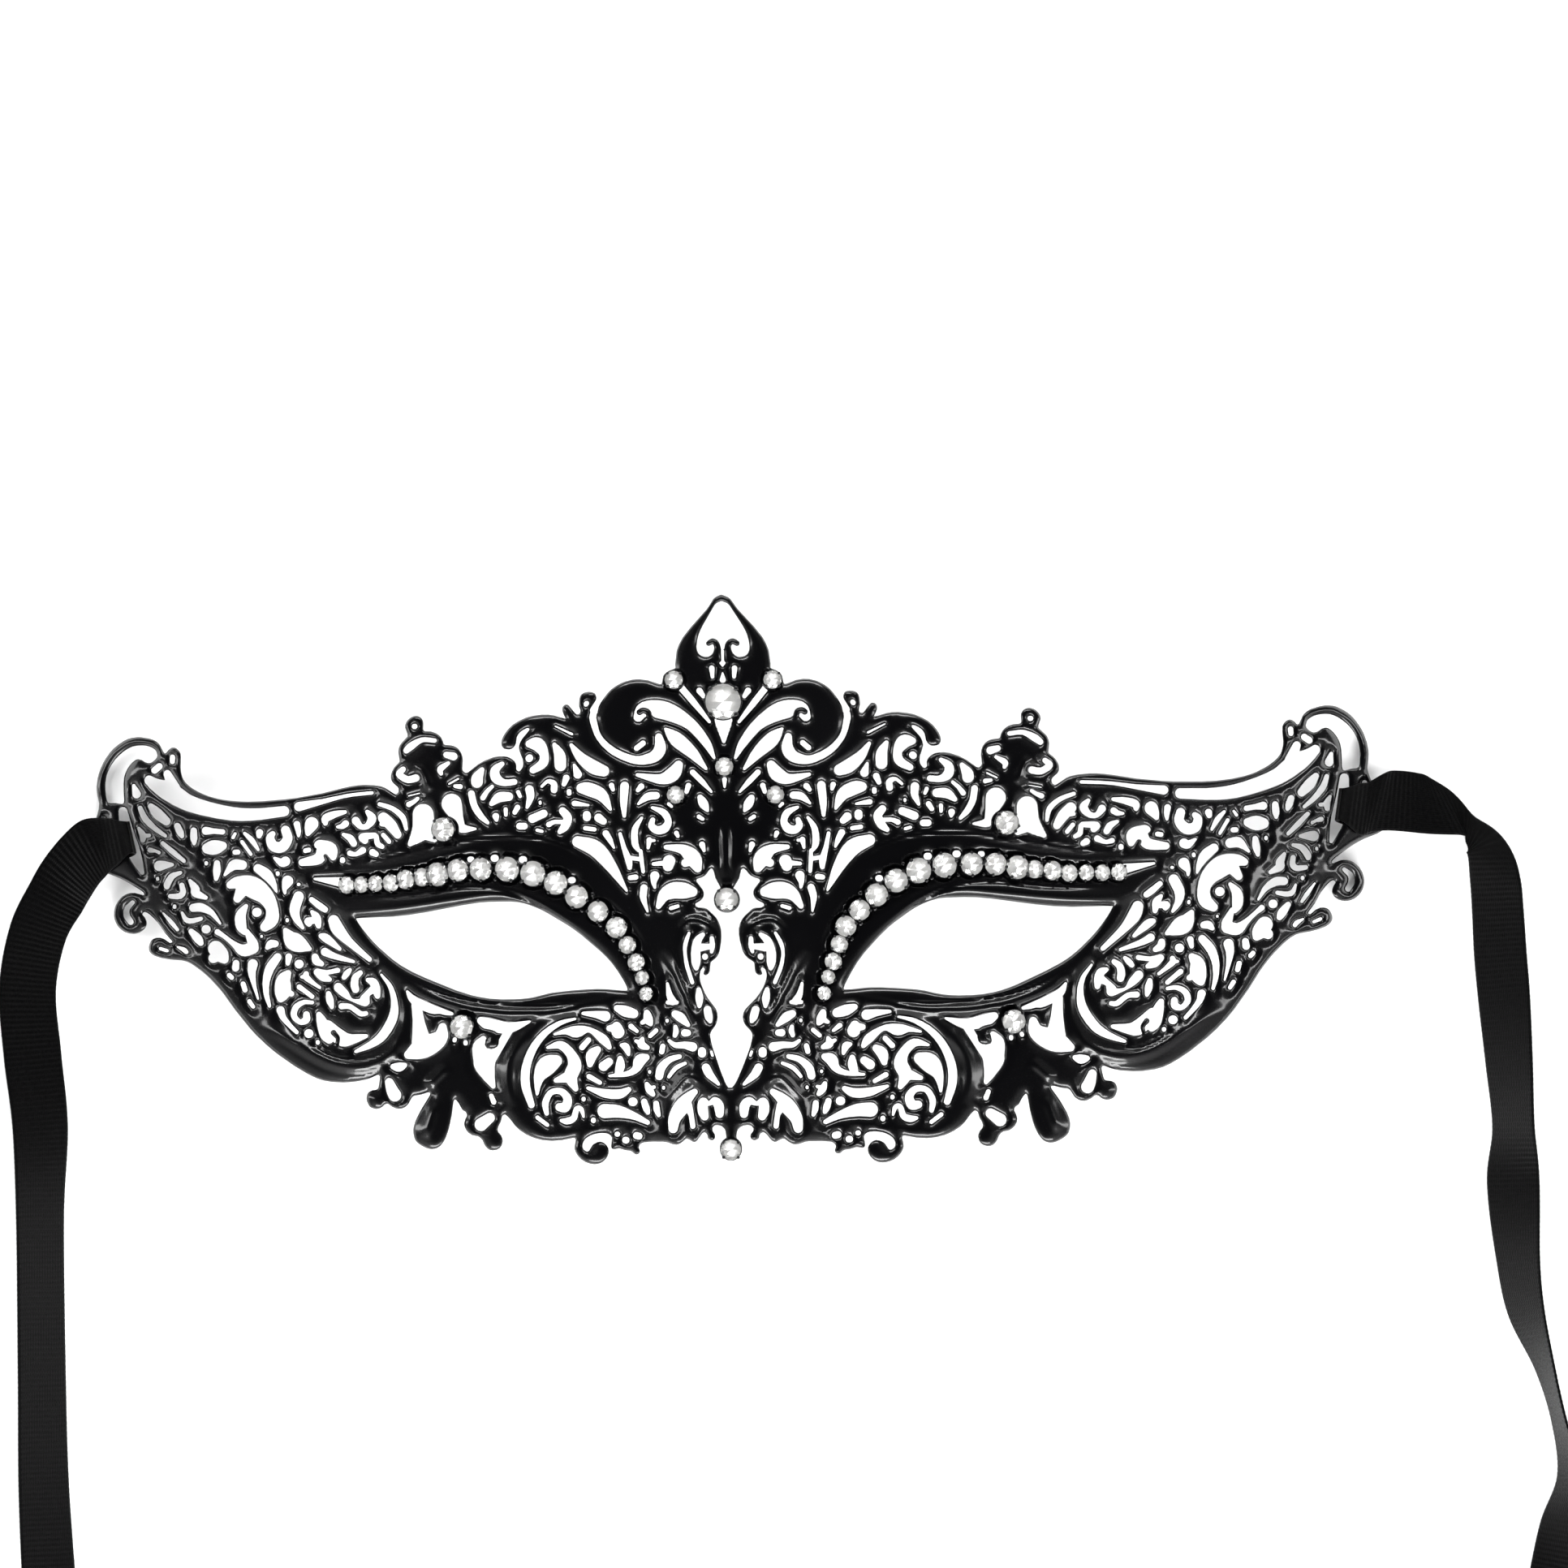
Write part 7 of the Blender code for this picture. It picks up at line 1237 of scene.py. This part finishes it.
def ribbon(name, side, stations, lift, material, node):
    """A ribbed ribbon laid along its stations."""
    line = np.array(tie_stations(side, stations, lift, 24))
    run = np.concatenate([[0], np.cumsum(np.linalg.norm(np.diff(line[:, :3], axis=0), axis=1))])
    length = float(run[-1])
    rows = int(length / RIB_PITCH * 4)
    marks = np.linspace(0, length, rows)
    line = np.stack([np.interp(marks, run, line[:, c]) for c in range(7)], axis=-1)
    heading = np.gradient(line[:, :3], axis=0)
    heading /= np.linalg.norm(heading, axis=1)[:, None]
    thick = np.cross(heading, line[:, 3:6])
    thick /= np.linalg.norm(thick, axis=1)[:, None]
    wide = line[:, 3:6] / np.linalg.norm(line[:, 3:6], axis=1)[:, None]
    verts, uvs = [], []
    edge = (-1, -.97, -.9, -.6, -.3, 0, .3, .6, .9, .97, 1)
    for k in range(rows):
        rib = RIB_HEIGHT * math.cos(2 * math.pi * marks[k] / RIB_PITCH)
        for face in (1, -1):
            for a in edge:
                body = CLOTH / 2 * (.55 if abs(a) == 1 else .9) + rib * (.3 if abs(a) > .95 else 1)
                point = (line[k, :3] + wide[k] * (a * line[k, 6] * TIE_WIDTH / 2) + thick[k] * (face * body))
                point[2] = max(point[2], .00003)
                verts.append(point)
                uvs.append((a * TIE_WIDTH / 2, marks[k]))
    count = len(edge)
    faces = []
    for k in range(rows - 1):
        here, after = 2 * count * k, 2 * count * (k + 1)
        for c in range(count - 1):
            faces.append([here + c, here + c + 1, after + c + 1, after + c])
            faces.append([here + count + c + 1, here + count + c, after + count + c, after + count + c + 1])
        faces.append([here + count, here, after, after + count])
        faces.append([here + count - 1, here + 2 * count - 1, after + 2 * count - 1, after + count - 1])
    last = 2 * count * (rows - 1)
    for start, flip in ((0, False), (last, True)):
        for c in range(count - 1):
            face = [start + c, start + count + c, start + count + c + 1, start + c + 1]
            faces.append(face[::-1] if flip else face)
    piece = make_mesh(name, verts, faces, [material])
    layer = piece.data.uv_layers.new(name="UVMap")
    corners = np.zeros(len(piece.data.loops), dtype=int)
    piece.data.loops.foreach_get("vertex_index", corners)
    layer.data.foreach_set("uv", np.array(uvs)[corners].ravel())
    place_piece(piece, "ribbon", node)
    return piece


def studio():
    """A pale floor, soft boxes, a bright horizon and the camera."""
    corners = [(x * FLOOR, y * FLOOR, -FLOOR_DROP) for x, y in ((-1, -1), (1, -1), (1, 1), (-1, 1))]
    floor = make_mesh("pale_floor", corners, [[0, 1, 2, 3]], [], smooth=False)
    material, tree, shader = new_material("pale_paper")
    coords = tree.nodes.new("ShaderNodeTexCoord").outputs["Object"]
    grain = noise(tree, coords, 8, 3)
    tree.links.new(two_tones(tree, grain.outputs["Fac"], (.90, .90, .90), (.93, .93, .93)),
                   shader.inputs["Base Color"])
    shader.inputs["Roughness"].default_value = .9
    shader.inputs["Specular IOR Level"].default_value = .1
    floor.data.materials.append(material)
    for name, place, size, power, mirrored in SOFT_BOXES:
        light = bpy.data.lights.new(name, "AREA")
        light.shape = "RECTANGLE"
        light.size, light.size_y = size
        light.energy = power
        lamp = bpy.data.objects.new(name, light)
        lamp.location = place
        lamp.visible_glossy = mirrored
        lamp.rotation_euler = (-Vector(place)).to_track_quat("-Z", "Y").to_euler()
        bpy.context.scene.collection.objects.link(lamp)
    world = bpy.data.worlds.new("studio")
    bpy.context.scene.world = world
    world.use_nodes = True
    tree = world.node_tree
    coords = tree.nodes.new("ShaderNodeTexCoord").outputs["Generated"]
    split = tree.nodes.new("ShaderNodeSeparateXYZ")
    tree.links.new(coords, split.inputs["Vector"])
    ramp = tree.nodes.new("ShaderNodeValToRGB")
    ramp.color_ramp.elements[0].position = 0
    ramp.color_ramp.elements[0].color = (*[TENT_GLOW[0][1]] * 3, 1)
    ramp.color_ramp.elements[1].position = 1
    ramp.color_ramp.elements[1].color = (*[TENT_GLOW[-1][1]] * 3, 1)
    for height, glow in TENT_GLOW[1:-1]:
        ramp.color_ramp.elements.new(height).color = (glow, glow, glow, 1)
    tree.links.new(split.outputs["Z"], ramp.inputs["Fac"])
    tree.links.new(ramp.outputs["Color"], tree.nodes["Background"].inputs["Color"])
    front = tree.nodes.new("ShaderNodeMapRange")
    front.inputs["From Min"].default_value = -.15
    front.inputs["From Max"].default_value = -.75
    front.inputs["To Min"].default_value = SIDE_SHARE
    front.inputs["To Max"].default_value = FRONT_SHARE
    tree.links.new(split.outputs["Y"], front.inputs["Value"])
    tree.links.new(front.outputs["Result"], tree.nodes["Background"].inputs["Strength"])
    view = bpy.data.cameras.new("camera")
    view.sensor_width = 36
    view.lens = 36 * (CAMERA_HEIGHT - .012) / FRAME_WIDTH
    view.clip_end = 50
    camera = bpy.data.objects.new("camera", view)
    camera.location = (FRAME_CENTRE[0], FRAME_CENTRE[1], CAMERA_HEIGHT)
    bpy.context.scene.collection.objects.link(camera)
    bpy.context.scene.camera = camera
    bpy.context.scene.view_settings.view_transform = "Standard"


def main():
    """Every visible piece."""
    studio()
    black, glass, foil, cloth = coated_metal(), stone_glass(), stone_foil(), woven_ribbon()
    sheet, lift = filigree(sheet_field(FINE_PITCH, 5), black)
    place_piece(sheet, "coated_metal", "mask_frame")
    cups = ([], [])
    for name, up, radius in MIDDLE_STONES:
        set_stones("gem_" + name, [(1, 0, up, radius)], lift, [glass, foil], name, cups)
    for ending, side in (("right", 1), ("left", -1)):
        for name, out, up, radius in PAIR_STONES:
            node = name + "_" + ending
            set_stones("gem_" + node, [(side, out, up, radius)], lift, [glass, foil], node, cups)
        row = [(side, out, up, share * CENTRE_STONE_RADIUS) for out, up, share in ROW_STONES]
        set_stones("gems_row_" + ending, row, lift, [glass, foil], "brow_row_" + ending, cups)
        for out, up, radius in ROW_BEADS:
            foot, across, along, outward = seat(side, out, up, lift, SHEET_THICKNESS * .5 + .0006)
            add_bead(cups, foot, across, along, outward, radius * ACROSS)
    settings = make_mesh("stone_settings", cups[0], cups[1], [black])
    place_piece(settings, "coated_metal")
    ribbon("ribbon_right", 1, TIE_RIGHT, lift, cloth, "tie_right")
    ribbon("ribbon_left", -1, TIE_LEFT, lift, cloth, "tie_left")


main()
